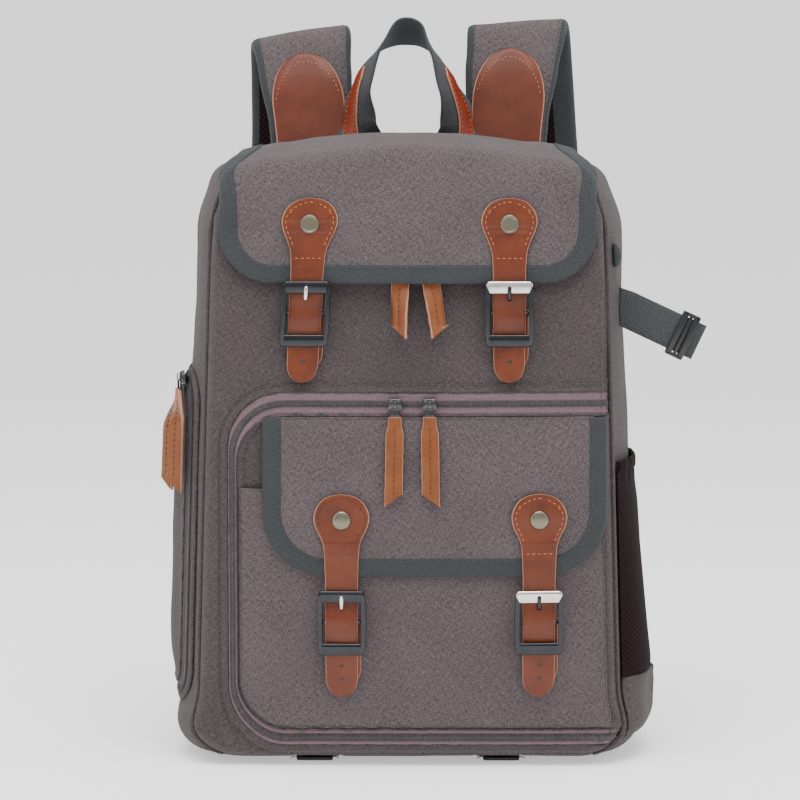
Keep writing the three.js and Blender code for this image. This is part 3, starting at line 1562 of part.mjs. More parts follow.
function makeHandle() {
  const steps = 24;
  const frames = framesAlong(handleStations, steps);
  const half = handleThickness / 2;
  const offset = 6;
  const edges = [-offset - handlePatchWidth / 2, -offset + handlePatchWidth / 2].map(
    (distance) => distance / (handleWidth / 2),
  );
  const section = () => [
    ...[-1, ...edges, 1].map((side) => [side, -half]),
    ...[1, ...edges.slice().reverse(), -1].map((side) => [side, half]),
  ];
  piece("grab_handle", strip(frames, section), "webbing");
  const patch = (name, from, to) => {
    const part = frames.slice(from, to).map((frame) => ({
      ...frame,
      at: frame.at.clone().addScaledVector(frame.across, -offset),
      width: handlePatchWidth,
    }));
    const near = half + layerGap;
    piece(name, strip(part, flatSection(near + handlePatchThickness, near)), "leather");
  };
  patch("handle_patch_left", 2, 9);
  patch("handle_patch_right", steps - 8, steps - 1);
}

function makeBaseStraps() {
  for (const [side, sign] of [
    ["left", -1],
    ["right", 1],
  ]) {
    const strap = underBase(sign, 0, baseStrapThickness, baseStrapWidth / 2, 0);
    piece(`base_strap_${side}`, strap, "webbing");
  }
}

makePanels();
makeDoorZip();
makeMainZip();
makeFlap();
makePatchPocket();
makePocketFlap();
closures.forEach(makeClosure);
frontPulls.forEach(makeFrontPull);
makeSidePanel();
makeMeshPocket();
makeSideStrap();
makeShoulderStrap("left", -1);
makeShoulderStrap("right", 1);
makeHandle();
makeBaseStraps();

export default bag;
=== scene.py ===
# %% [markdown]
# A canvas camera backpack: padded canvas body, bound flaps, leather buckle closures, zips, straps.
# Everything is measured in millimetres here and scaled to metres when a mesh is made. The front faces -Y.
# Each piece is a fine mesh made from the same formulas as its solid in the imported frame, which it replaces.

# %% Load the frame
import bpy
import json
import math
import numpy as np
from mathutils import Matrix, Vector

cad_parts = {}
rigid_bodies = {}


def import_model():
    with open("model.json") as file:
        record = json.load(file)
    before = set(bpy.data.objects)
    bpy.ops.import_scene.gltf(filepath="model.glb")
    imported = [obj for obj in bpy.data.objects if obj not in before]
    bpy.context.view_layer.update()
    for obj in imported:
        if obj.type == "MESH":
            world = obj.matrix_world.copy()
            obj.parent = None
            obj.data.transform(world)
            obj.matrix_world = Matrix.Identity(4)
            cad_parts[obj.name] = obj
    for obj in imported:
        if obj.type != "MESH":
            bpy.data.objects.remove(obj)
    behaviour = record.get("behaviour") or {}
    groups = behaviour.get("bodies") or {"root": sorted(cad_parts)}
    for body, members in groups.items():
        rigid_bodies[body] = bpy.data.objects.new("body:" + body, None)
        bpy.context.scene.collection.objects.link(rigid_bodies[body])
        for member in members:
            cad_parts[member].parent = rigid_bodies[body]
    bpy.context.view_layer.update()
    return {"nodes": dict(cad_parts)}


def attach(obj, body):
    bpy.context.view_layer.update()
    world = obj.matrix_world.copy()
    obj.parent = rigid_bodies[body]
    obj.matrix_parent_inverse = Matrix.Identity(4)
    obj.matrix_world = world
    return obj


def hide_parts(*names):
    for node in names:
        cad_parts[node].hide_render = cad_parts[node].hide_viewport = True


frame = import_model()
nodes = frame["nodes"]
print("frame holds", len(nodes), "nodes")

# %% [markdown]
# Colours are written as sRGB hex values, as a maker reads them from a swatch, and Blender wants linear ones.

# %% Colour and node helpers
def linear(hex_value):
    parts = [int(hex_value[i:i + 2], 16) / 255 for i in (1, 3, 5)]
    return (*[c / 12.92 if c <= 0.04045 else ((c + 0.055) / 1.055) ** 2.4 for c in parts], 1.0)


def add_node(tree, kind, settings=None, links=None):
    """Adds one node: settings are its properties, input values or colour stops, links its inputs' sources."""
    node = tree.nodes.new(kind)
    for key, value in (settings or {}).items():
        if key == "stops":
            while len(node.color_ramp.elements) < len(value):
                node.color_ramp.elements.new(0.5)
            for element, (position, colour) in zip(node.color_ramp.elements, value):
                element.position = position
                element.color = linear(colour)
        elif isinstance(key, str) and hasattr(node, key):
            setattr(node, key, value)
        else:
            node.inputs[key].default_value = value
    for key, source in (links or {}).items():
        tree.links.new(source, node.inputs[key])
    return node


def woven(name, rows, ends, **values):
    """A material from rows of nodes (label, kind, settings, links) whose sources are labels or label.Socket.

    The row "uv" is there from the start: the UV map holds millimetres, so a pattern's scale is read off."""
    material = bpy.data.materials.new(name)
    material.use_nodes = True
    tree = material.node_tree
    shader = tree.nodes["Principled BSDF"]
    for socket, value in values.items():
        shader.inputs[socket.replace("_", " ")].default_value = value
    made = {"uv": add_node(tree, "ShaderNodeUVMap", {"uv_map": "mm"})}

    def source(link):
        label, _, socket = link.partition(".")
        return made[label].outputs[socket or 0]

    for label, kind, settings, links in rows:
        made[label] = add_node(tree, kind, settings, {key: source(link) for key, link in links.items()})
    for key, link in ends.items():
        tree.links.new(source(link), shader.inputs[key])
    return material


MATH, NOISE, WAVE = "ShaderNodeMath", "ShaderNodeTexNoise", "ShaderNodeTexWave"
VORONOI, MAPPING, SPLIT = "ShaderNodeTexVoronoi", "ShaderNodeMapping", "ShaderNodeSeparateXYZ"
RAMP, BUMP = "ShaderNodeValToRGB", "ShaderNodeBump"
COLOUR_AND_RELIEF = {"Base Color": "colour", "Normal": "relief"}

# %% [markdown]
# The body is cotton canvas in a heathered grey-mauve: a plain weave of yarns that are spun from lighter and
# darker fibres, so short light and dark flecks run both ways. Real yarns are about 0.7 mm apart, one pixel
# here, so each fleck is drawn one yarn wide and six long. Cotton is matt, with a little sheen from loose
# fibres.

# %% Heathered canvas
YARN = 0.48


def heathered_canvas(name, dark, mid, light):
    fleck = {"Scale": 1.0, "Detail": 2.0, "Roughness": 0.7}
    twill = {"Scale": 0.5 / YARN, "Distortion": 0.8, "Detail": 2.0}
    rows = [
        ("warp way", MAPPING, {"Scale": (0.16 / YARN, 1.05 / YARN, 1), "Rotation": (0, 0, 0.1)},
         {"Vector": "uv"}),
        ("weft way", MAPPING, {"Scale": (1.05 / YARN, 0.16 / YARN, 1), "Rotation": (0, 0, 0.1)},
         {"Vector": "uv"}),
        ("rise way", MAPPING, {"Rotation": (0, 0, 0.86)}, {"Vector": "uv"}),
        ("fall way", MAPPING, {"Rotation": (0, 0, -0.75)}, {"Vector": "uv"}),
        ("warp", NOISE, fleck, {"Vector": "warp way"}),
        ("weft", NOISE, fleck, {"Vector": "weft way"}),
        ("rise", WAVE, twill, {"Vector": "rise way"}),
        ("fall", WAVE, twill, {"Vector": "fall way"}),
        ("worn", NOISE, {"Scale": 0.02, "Detail": 3.0}, {"Vector": "uv"}),
        ("weave", MATH, {"operation": "ADD"}, {0: "rise.Fac", 1: "fall.Fac"}),
        ("flecks", MATH, {"operation": "ADD"}, {0: "warp", 1: "weft"}),
        ("mixed", MATH, {"operation": "MULTIPLY_ADD", 1: 0.11}, {0: "weave", 2: "flecks"}),
        ("tone", MATH, {"operation": "MULTIPLY_ADD", 1: 0.16}, {0: "worn", 2: "mixed"}),
        ("contrast", MATH, {"operation": "MULTIPLY_ADD", 1: 2.15, 2: -0.94 * 2.15}, {0: "tone"}),
        ("colour", RAMP, {"stops": [(0.12, dark), (0.5, mid), (0.86, light)]}, {"Fac": "contrast"}),
        ("yarns", MATH, {"operation": "ADD"}, {0: "weave", 1: "flecks"}),
        ("relief", BUMP, {"Strength": 0.32, "Distance": 0.0005}, {"Height": "yarns"})]
    return woven(name, rows, COLOUR_AND_RELIEF, Roughness=0.9, Sheen_Weight=0.07, Sheen_Roughness=0.6,
                 Specular_IOR_Level=0.25)


canvas = heathered_canvas("heathered cotton canvas", "#2b2426", "#3a3234", "#514848")
flap_canvas = heathered_canvas("heathered cotton canvas of the flaps", "#342d30", "#463e40", "#615758")
lining = heathered_canvas("grey cotton lining", "#272528", "#302e32", "#3e3b40")

# %% [markdown]
# The flaps' edges are bound with a slate-green herringbone tape: ribs that lean one way and then the other
# in narrow rows along the tape. The webbing is the same weave in heavier charcoal yarn. Both are matt.

# %% Herringbone tape and webbing
def herringbone(name, dark, light, row, pitch):
    rows = [
        ("place", SPLIT, {}, {"Vector": "uv"}),
        ("zigzag", MATH, {"operation": "PINGPONG", 1: row}, {0: "place.X"}),
        ("along", MATH, {"operation": "ADD"}, {0: "place.Y", 1: "zigzag"}),
        ("turns", MATH, {"operation": "MULTIPLY", 1: 2 * math.pi / pitch}, {0: "along"}),
        ("sine", MATH, {"operation": "SINE"}, {0: "turns"}),
        ("ribs", MATH, {"operation": "MULTIPLY_ADD", 1: 0.5, 2: 0.5}, {0: "sine"}),
        ("yarn way", MAPPING, {"Scale": (1, 0.35, 1)}, {"Vector": "uv"}),
        ("yarn", NOISE, {"Scale": 0.9, "Detail": 3.0, "Roughness": 0.7}, {"Vector": "yarn way"}),
        ("worn", MATH, {"operation": "MULTIPLY", 1: 0.75}, {0: "yarn"}),
        ("tone", MATH, {"operation": "MULTIPLY_ADD", 1: 0.45}, {0: "ribs", 2: "worn"}),
        ("colour", RAMP, {"stops": [(0.25, dark), (0.85, light)]}, {"Fac": "tone"}),
        ("relief", BUMP, {"Strength": 0.5, "Distance": 0.0006}, {"Height": "ribs"})]
    return woven(name, rows, COLOUR_AND_RELIEF, Roughness=0.85, Sheen_Weight=0.05, Specular_IOR_Level=0.3)


binding = herringbone("slate herringbone cotton tape", "#1a1b1e", "#3a3e41", 2.6, 1.9)
webbing = herringbone("charcoal polyester webbing", "#1f2022", "#444649", 3.4, 2.1)

# %% [markdown]
# The straps are vegetable-tanned cow leather, dyed through and waxed: satin, with a fine grain, a slow
# change of tone and edges that are cut and left raw, which show the paler inside of the hide. IOR 1.5.

# %% Leather
def leather_finish(name, dark, mid, light, roughness=0.42):
    rows = [
        ("slow", NOISE, {"Scale": 0.045, "Detail": 4.0, "Roughness": 0.6}, {"Vector": "uv"}),
        ("grain way", MAPPING, {"Scale": (1, 0.5, 1)}, {"Vector": "uv"}),
        ("grain", NOISE, {"Scale": 0.77, "Detail": 4.0, "Roughness": 0.75}, {"Vector": "grain way"}),
        ("pores", VORONOI, {"Scale": 0.91}, {"Vector": "uv"}),
        ("fine", MATH, {"operation": "MULTIPLY", 1: 0.45}, {0: "grain"}),
        ("tone", MATH, {"operation": "MULTIPLY_ADD", 1: 0.62}, {0: "slow", 2: "fine"}),
        ("colour", RAMP, {"stops": [(0.3, dark), (0.52, mid), (0.78, light)]}, {"Fac": "tone"}),
        ("satin", MATH, {"operation": "MULTIPLY_ADD", 1: 0.25, 2: roughness - 0.1}, {0: "grain"}),
        ("height", MATH, {"operation": "ADD"}, {0: "pores.Distance", 1: "grain"}),
        ("relief", BUMP, {"Strength": 0.18, "Distance": 0.0004}, {"Height": "height"})]
    return woven(name, rows, {**COLOUR_AND_RELIEF, "Roughness": "satin"}, IOR=1.5, Coat_Weight=0.12,
                 Coat_Roughness=0.3, Specular_IOR_Level=0.32)


def plain_grain(name, dark, light, roughness, scale=0.8, strength=0.3, metallic=0.0):
    """A finish whose tone and relief change with one fine grain."""
    rows = [("grain", NOISE, {"Scale": scale, "Detail": 4.0, "Roughness": 0.7}, {"Vector": "uv"}),
            ("colour", RAMP, {"stops": [(0.35, dark), (0.65, light)]}, {"Fac": "grain"}),
            ("relief", BUMP, {"Strength": strength, "Distance": 0.0003}, {"Height": "grain"})]
    return woven(name, rows, COLOUR_AND_RELIEF, Roughness=roughness, Metallic=metallic)


leather = leather_finish("waxed tan cow leather", "#3d1402", "#5a2206", "#6b300d")
pull_leather = leather_finish("waxed light tan cow leather", "#582a0e", "#6f3a15", "#7f4920")
rose_leather = leather_finish("brown rose leather", "#421708", "#59230e", "#6a2d13", roughness=0.5)
handle_leather = leather_finish("orange-red leather", "#581606", "#73230b", "#823215", roughness=0.45)
raw_edge = plain_grain("raw cut leather edge", "#935f47", "#b7856c", 0.75, scale=1.2)
light_thread = plain_grain("light orange waxed thread", "#a05f2f", "#b47844", 0.6)
brown_thread = plain_grain("dark brown waxed thread", "#341609", "#4d2310", 0.6)
grey_thread = plain_grain("grey polyester thread", "#312e30", "#484445", 0.7)
slate_thread = plain_grain("slate polyester thread", "#262a2d", "#3c4146", 0.7)

# %% [markdown]
# The zips have a mauve-grey woven polyester tape with two thin raised piping lines, and a nylon coil that is
# smooth and slightly glossy. Mesh panels are a dark maroon spacer mesh whose holes stand in slanting rows.
# The holes are not cut through: their near-black colour is painted shade.

# %% Zip tape, coil and mesh
ribs_and_wear = [
    ("rib way", MAPPING, {"Scale": (0, 1, 1)}, {"Vector": "uv"}),
    ("rib", WAVE, {"Scale": 0.32, "Distortion": 0.5, "Detail": 1.0}, {"Vector": "rib way"}),
    ("wear", NOISE, {"Scale": 0.7, "Detail": 3.0}, {"Vector": "uv"}),
    ("worn", MATH, {"operation": "MULTIPLY", 1: 0.8}, {0: "wear"}),
    ("tone", MATH, {"operation": "MULTIPLY_ADD", 1: 0.3}, {0: "rib.Fac", 2: "worn"}),
    ("colour", RAMP, {"stops": [(0.25, "#58454b"), (0.85, "#80676f")]}, {"Fac": "tone"}),
    ("relief", BUMP, {"Strength": 0.3, "Distance": 0.0004}, {"Height": "rib.Fac"})]
zip_tape = woven("mauve polyester zip tape", ribs_and_wear, COLOUR_AND_RELIEF, Roughness=0.8,
                 Sheen_Weight=0.1)


def mesh_with_painted_hole_shade(name, dark, light, pitch):
    # The dark stop is painted shade in the holes at the cell centres; the light stop is the maroon thread.
    rows = [
        ("slanted", MAPPING, {"Rotation": (0, 0, math.radians(45))}, {"Vector": "uv"}),
        ("holes", VORONOI, {"Scale": 1 / pitch, "Randomness": 0.12}, {"Vector": "slanted"}),
        ("wear", NOISE, {"Scale": 0.5, "Detail": 2.0}, {"Vector": "uv"}),
        ("worn", MATH, {"operation": "MULTIPLY", 1: 0.2}, {0: "wear"}),
        ("tone", MATH, {"operation": "MULTIPLY_ADD", 1: 0.85}, {0: "holes.Distance", 2: "worn"}),
        ("colour", RAMP, {"stops": [(0.28, dark), (0.62, light)]}, {"Fac": "tone"}),
        ("relief", BUMP, {"Strength": 0.8, "Distance": 0.0012}, {"Height": "holes.Distance"})]
    return woven(name, rows, COLOUR_AND_RELIEF, Roughness=0.85, Specular_IOR_Level=0.12)


zip_coil = plain_grain("mauve-grey nylon coil", "#2a2528", "#3f3a3f", 0.45)
spacer_mesh = mesh_with_painted_hole_shade("dark maroon spacer mesh", "#0a0505", "#271516", 3.2)
pocket_mesh = mesh_with_painted_hole_shade("dark maroon pocket mesh", "#080303", "#221011", 2.6)
base_fabric = plain_grain("coated dark nylon of the base", "#1f1f22", "#2b2b2e", 0.6, scale=0.5)

# %% [markdown]
# Buckles are cast zinc, polished and plated dark, so they mirror the studio: near-black with white lines.
# A bright copy of the same zinc is a painted reflection, laid on some buckles' top bars and prongs.
# Rivet caps are nickel with an old, brushed finish. Sliders are plated zinc. Small trims are moulded nylon.

# %% Metals and plastic
buckle_metal = plain_grain("polished gunmetal zinc", "#343538", "#3c3d40", 0.1, 0.1, 0.02, 1.0)
# The bright zinc is the buckle metal with a painted reflection of the studio's light, not another metal.
painted_reflection_metal = plain_grain("zinc with a painted bright reflection", "#c9c6c0", "#dad7d1", 0.12, 0.1, 0.02, 1.0)
rivet_metal = plain_grain("brushed antique nickel", "#5e594a", "#8a8575", 0.34, 1.6, 0.2, 1.0)
slider_metal = plain_grain("plated zinc of the sliders", "#3c3b3d", "#5e5d60", 0.25, 0.5, 0.1, 1.0)
black_nylon = plain_grain("black moulded nylon", "#0e0e10", "#1a1a1c", 0.32, 0.6, 0.12)

# %% [markdown]
# The bag's body is one soft form: a round-cornered outline seen from the front, a gusset that swells
# between the front and back seams, and front and back panels that crown outwards. All pieces that lie on it
# ask these functions where its face is, so they follow it exactly.

# %% The bag's form
BODY_TOP, SEAM_LIFT, HALF_DEPTH = 424.0, 11.0, 71.0
BOTTOM_HALF, TOP_HALF = 147.0, 137.0
SHOULDER, BOTTOM_R = 52.0, 30.0
FRONT_RIM, FRONT_BULGE, BACK_RIM, BACK_BULGE = 10.0, 9.0, 8.0, 4.0
SIDE_SWELL, TOP_SWELL, BASE_SWELL = 15.0, 6.0, 17.0
TOP_CROWN = 7.0
LOW_X, LOW_Z = BOTTOM_HALF - BOTTOM_R, SEAM_LIFT + BOTTOM_R
HIGH_X, HIGH_Z = TOP_HALF - SHOULDER, BODY_TOP - SHOULDER


def share(value, low, high):
    return np.clip((np.asarray(value, float) - low) / (high - low), 0, 1)


def mix(a, b, part):
    return a + (b - a) * part


def eased(value, low, high):
    part = share(value, low, high)
    return part * part * (3 - 2 * part)


def lattice(i, j, seed):
    value = np.sin(i * 127.1 + j * 311.7 + seed * 74.7) * 43758.5453
    return value - np.floor(value)


def soft_noise(u, v, seed=0):
    """Smooth noise from -1 to 1 that changes over one unit, the same each time."""
    u, v = np.broadcast_arrays(np.asarray(u, float), np.asarray(v, float))
    i, j = np.floor(u), np.floor(v)
    a, b = u - i, v - j
    a, b = a * a * (3 - 2 * a), b * b * (3 - 2 * b)
    low = mix(lattice(i, j, seed), lattice(i + 1, j, seed), a)
    high = mix(lattice(i, j + 1, seed), lattice(i + 1, j + 1, seed), a)
    return 2 * mix(low, high, b) - 1


def front_seam(z):
    lean = np.maximum(0, (z - BODY_TOP / 2) / (BODY_TOP / 2))
    return -HALF_DEPTH + 12 * lean * lean


def swell(depth):
    return 1 - np.abs(2 * depth - 1) ** 2.5


def rim_rise(part):
    return np.sqrt(1 - (1 - np.clip(part, 0, 1)) ** 2)


def crown(x, z):
    middle = BODY_TOP * 0.42
    across = 1 - np.minimum(1, (x / BOTTOM_HALF) ** 2)
    along = np.where(z > middle, (z - middle) / (BODY_TOP - middle), (middle - z) / middle)
    return across * (1 - np.minimum(1, along * along))


def seam_half(z):
    z = np.asarray(z, float)
    top = HIGH_X + np.sqrt(np.maximum(0, SHOULDER ** 2 - (z - HIGH_Z) ** 2))
    low = LOW_X + np.sqrt(np.maximum(0, BOTTOM_R ** 2 - (LOW_Z - z) ** 2))
    side = mix(BOTTOM_HALF, TOP_HALF, share(z, LOW_Z, HIGH_Z))
    return np.where(z > HIGH_Z, top, np.where(z < LOW_Z, low, side))


def seam_inset(x, z):
    across = np.abs(x)
    roof = BODY_TOP + TOP_CROWN * (1 - np.minimum(1, across / HIGH_X) ** 2)
    inset = np.minimum(np.minimum(seam_half(z) - across, roof - z), z - SEAM_LIFT)
    inset = np.where((across > HIGH_X) & (z > HIGH_Z),
                     SHOULDER - np.hypot(across - HIGH_X, z - HIGH_Z), inset)
    return np.where((across > LOW_X) & (z < LOW_Z),
                    BOTTOM_R - np.hypot(across - LOW_X, z - LOW_Z), inset)


def front_give(x, z):
    """How far the soft front stands in or out of its plain crown."""
    inside = eased(seam_inset(x, z), 0, 26)
    slow = 0.9 * soft_noise(x / 46, z / 62, 3) + 0.5 * soft_noise(x / 21, z / 27, 8)
    return inside * slow


def front_face(x, z):
    rise = rim_rise(seam_inset(x, z) / FRONT_RIM) * (FRONT_RIM + FRONT_BULGE * crown(x, z))
    return front_seam(z) - rise - front_give(x, z)


def back_face(x, z):
    rise = rim_rise(seam_inset(x, z) / BACK_RIM) * (BACK_RIM + BACK_BULGE * crown(x, z))
    return HALF_DEPTH + rise


def depth_at(y, z):
    seam = front_seam(z)
    return np.clip((y - seam) / (HALF_DEPTH - seam), 0, 1)


def side_face(y, z):
    full = swell(depth_at(y, z))
    side, top, base = SIDE_SWELL * full, TOP_SWELL * full, BASE_SWELL * full
    z = np.asarray(z, float)
    up = np.clip((z - HIGH_Z) / (SHOULDER + top), 0, 1)
    down = np.clip((LOW_Z - z) / (BOTTOM_R + base), 0, 1)
    high = HIGH_X + (SHOULDER + side) * np.sqrt(1 - up * up)
    low = LOW_X + (BOTTOM_R + side) * np.sqrt(1 - down * down)
    return np.where(z > HIGH_Z, high, np.where(z < LOW_Z, low, seam_half(z) + side))


def top_face(x, y):
    full = swell(depth_at(y, BODY_TOP))
    side, top = SIDE_SWELL * full, TOP_SWELL * full
    across = np.abs(x)
    flat = BODY_TOP + top + TOP_CROWN * (1 - np.minimum(1, across / HIGH_X) ** 2)
    out = np.clip((across - HIGH_X) / (SHOULDER + side), 0, 1)
    return np.where(across <= HIGH_X, flat, HIGH_Z + (SHOULDER + top) * np.sqrt(1 - out * out))


def inside_body(x, y, z):
    in_front = (seam_inset(x, z) > 0) & (y > front_face(x, z))
    behind = (seam_inset(x, z) > 0) & (y < back_face(x, z))
    between = (z < top_face(x, y)) & (np.abs(x) < side_face(y, z))
    return np.where(y < front_seam(z), in_front, np.where(y > HALF_DEPTH, behind, between))


def on_front(x, z, height=0.0):
    x, z, height = np.broadcast_arrays(np.asarray(x, float), np.asarray(z, float), height)
    return np.stack([x, front_face(x, z) - height, z], -1)


def on_side(sign, y, z, height=0.0):
    y, z, height = np.broadcast_arrays(np.asarray(y, float), np.asarray(z, float), height)
    return np.stack([sign * (side_face(y, z) + height), y, z], -1)


print("front face at the middle stands at y", round(float(front_face(0, 178)), 1), "mm")

# %% [markdown]
# Meshes are made from plain arrays of points. A cloth is a grid with a second grid under it and a rounded
# edge between them. A strip is a row of closed sections. Both carry a UV map in millimetres for the weaves.

# %% Mesh makers
SETTLE_FROM = [0, 2, 5, 8, 11, 14, 17, 20, 24, 28, 32, 38, 46, 60]
SETTLE_TO = [0, 1.6, 3.2, 4.6, 6.3, 8.8, 12.2, 15.8, 20.8, 25.6, 30.4, 37.2, 45.8, 60]


def settled(corners):
    """A standing soft bag sinks onto its base: the lowest rim goes down, and the corners go outwards."""
    x, y, z = (corners[:, i].copy() for i in range(3))
    low = 8.0 * np.exp(-((z - 22) / 16) ** 2) * share(np.abs(x), 115, 145)
    high = 10.0 * np.exp(-((z - 421) / 15) ** 2) * share(np.abs(x), 85, 125) * (y < 82)
    x += np.sign(x) * (low + high)
    z = np.where((z > 0) & (z < 60), np.interp(z, SETTLE_FROM, SETTLE_TO), z)
    return np.stack([x, y, z], -1)


def make_mesh(name, corners, faces, uv, finishes, slots=None):
    name = name.replace(" ", "_")
    mesh = bpy.data.meshes.new(name)
    corners = settled(np.asarray(corners, float).reshape(-1, 3))
    mesh.from_pydata((corners * 0.001).tolist(), [], [tuple(f) for f in faces])
    layer = mesh.uv_layers.new(name="mm")
    loops = np.zeros(len(mesh.loops), np.int64)
    mesh.loops.foreach_get("vertex_index", loops)
    layer.data.foreach_set("uv", np.asarray(uv, float)[loops].ravel())
    for finish in finishes:
        mesh.materials.append(finish)
    if slots is not None:
        mesh.polygons.foreach_set("material_index", np.asarray(slots, np.int32))
    mesh.polygons.foreach_set("use_smooth", np.ones(len(faces), bool))
    mesh.update()
    piece = bpy.data.objects.new(name, mesh)
    bpy.context.scene.collection.objects.link(piece)
    return piece


def grid_normals(grid, outward):
    along = np.gradient(grid, axis=0)
    across = np.gradient(grid, axis=1)
    normal = np.cross(along, across)
    normal /= np.maximum(np.linalg.norm(normal, axis=-1, keepdims=True), 1e-9)
    if callable(outward):
        agree = (normal * outward(grid)).sum()
    else:
        agree = (normal * np.asarray(outward, float)).sum()
    return normal if agree >= 0 else -normal


def grid_uv(grid):
    """Lengths along the grid's middle row and middle column, in millimetres."""
    rows, columns = grid.shape[:2]
    v = np.r_[0, np.cumsum(np.linalg.norm(np.diff(grid[:, columns // 2], axis=0), axis=-1))]
    step = np.linalg.norm(np.diff(grid, axis=1), axis=-1)
    u = np.concatenate([np.zeros((rows, 1)), np.cumsum(step, axis=1)], axis=1)
    u = u - u[:, [columns // 2]]
    return np.stack([u, np.repeat(v[:, None], columns, 1)], -1)


def cloth(name, grid, thickness, finish, outward=(0, -1, 0), uv=None, under=None, edge_round=0.35):
    """A closed sheet whose outer side is the grid; its edge is rounded."""
    rows, columns = grid.shape[:2]
    normal = grid_normals(grid, outward)
    flip = (np.cross(np.gradient(grid, axis=0), np.gradient(grid, axis=1)) * normal).sum() < 0
    inner = grid - normal * thickness
    uv = grid_uv(grid) if uv is None else uv
    index = np.arange(rows * columns).reshape(rows, columns)
    loop = np.concatenate([index[0, :], index[1:, -1], index[-1, -2::-1], index[-2:0:-1, 0]])
    points = grid.reshape(-1, 3)
    flat_normal = normal.reshape(-1, 3)
    ring = points[loop]
    tangent = np.roll(ring, -1, 0) - np.roll(ring, 1, 0)
    tangent /= np.maximum(np.linalg.norm(tangent, axis=1, keepdims=True), 1e-9)
    away = np.cross(tangent, flat_normal[loop])
    near = ring - grid[rows // 2, columns // 2]
    if (away * near).sum() < 0:
        away = -away
    rims = [ring - flat_normal[loop] * thickness * part
            + away * thickness * edge_round for part in (0.25, 0.75)]
    corners = np.concatenate([points, inner.reshape(-1, 3), *rims])
    flat_uv = uv.reshape(-1, 2)
    all_uv = np.concatenate([flat_uv, flat_uv, flat_uv[loop], flat_uv[loop]])
    quads = np.stack([index[:-1, :-1], index[1:, :-1], index[1:, 1:], index[:-1, 1:]], -1).reshape(-1, 4)
    if flip:
        quads = quads[:, ::-1]
    under_quads = quads[:, ::-1] + rows * columns
    count = len(loop)
    base = 2 * rows * columns
    levels = [loop, np.arange(count) + base, np.arange(count) + base + count, loop + rows * columns]
    sides = []
    for upper, lower in zip(levels, levels[1:]):
        band = np.stack([upper, np.roll(upper, -1), np.roll(lower, -1), lower], -1)
        sides.append(band if flip else band[:, ::-1])
    side_faces = np.concatenate(sides)
    faces = np.concatenate([quads, under_quads, side_faces])
    finishes = [finish, under or finish, finish]
    slots = np.concatenate([np.zeros(len(quads)), np.ones(len(under_quads)), np.full(len(side_faces), 2)])
    return make_mesh(name, corners, faces.tolist(), all_uv, finishes, slots)


def section_loft(name, sections, finish, ring=False, slots_of=None, finishes=None, uv=None):
    """A closed band through a row of closed sections (stations, corners, 3)."""
    sections = np.asarray(sections, float)
    stations, count = sections.shape[:2]
    corners = sections.reshape(-1, 3)
    around = np.linalg.norm(np.roll(sections, -1, 1) - sections, axis=-1)
    u = np.concatenate([np.zeros((stations, 1)), np.cumsum(around, 1)[:, :-1]], 1)
    middle = sections.mean(1)
    v = np.r_[0, np.cumsum(np.linalg.norm(np.diff(middle, axis=0), axis=-1))]
    if uv is None:
        uv = np.stack([u, np.repeat(v[:, None], count, 1)], -1)
    uv = np.asarray(uv, float).reshape(-1, 2)
    index = np.arange(stations * count).reshape(stations, count)
    follow = np.roll(index, -1, 1)
    if ring:
        nxt, nxt_follow = np.roll(index, -1, 0), np.roll(follow, -1, 0)
        quads = np.stack([index, nxt, nxt_follow, follow], -1)
    else:
        quads = np.stack([index[:-1], index[1:], follow[1:], follow[:-1]], -1)
    faces = quads.reshape(-1, 4).tolist()
    slots = np.tile(np.asarray(slots_of if slots_of is not None else [0] * count), len(quads)).tolist()
    corners = corners.tolist()
    uv = uv.tolist()
    if not ring:
        for station in (0, stations - 1):
            centre = len(corners)
            corners.append(sections[station].mean(0).tolist())
            uv.append(np.mean(np.asarray(uv)[index[station]], 0).tolist())
            for j in range(count):
                a, b = int(index[station, j]), int(follow[station, j])
                faces.append([a, b, centre] if station == 0 else [b, a, centre])
                slots.append(max(slots_of) if slots_of is not None else 0)
    piece = make_mesh(name, corners, faces, uv, finishes or [finish], slots)
    fix_facing(piece)
    return piece


def fix_facing(piece):
    """Turns a closed mesh's faces outwards if they all face in."""
    mesh = piece.data
    mesh.calc_loop_triangles()
    co = np.zeros(len(mesh.vertices) * 3)
    mesh.vertices.foreach_get("co", co)
    co = co.reshape(-1, 3)
    tri = np.zeros(len(mesh.loop_triangles) * 3, np.int32)
    mesh.loop_triangles.foreach_get("vertices", tri)
    a, b, c = (co[tri.reshape(-1, 3)[:, i]] for i in range(3))
    if (a * np.cross(b, c)).sum() < 0:
        mesh.flip_normals()


def keep(piece, replaced=()):
    """Every piece rides on the bag and hides the nodes that it stands for."""
    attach(piece, "root")
    if replaced:
        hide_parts(*([replaced] if isinstance(replaced, str) else replaced))
    return piece


def path_lengths(points):
    return np.r_[0, np.cumsum(np.linalg.norm(np.diff(points, axis=0), axis=-1))]


def resample(points, spots):
    """Points (and anything carried with them) at given lengths along a path."""
    lengths = path_lengths(points[:, :3])
    return np.stack([np.interp(spots, lengths, points[:, k]) for k in range(points.shape[1])], -1)


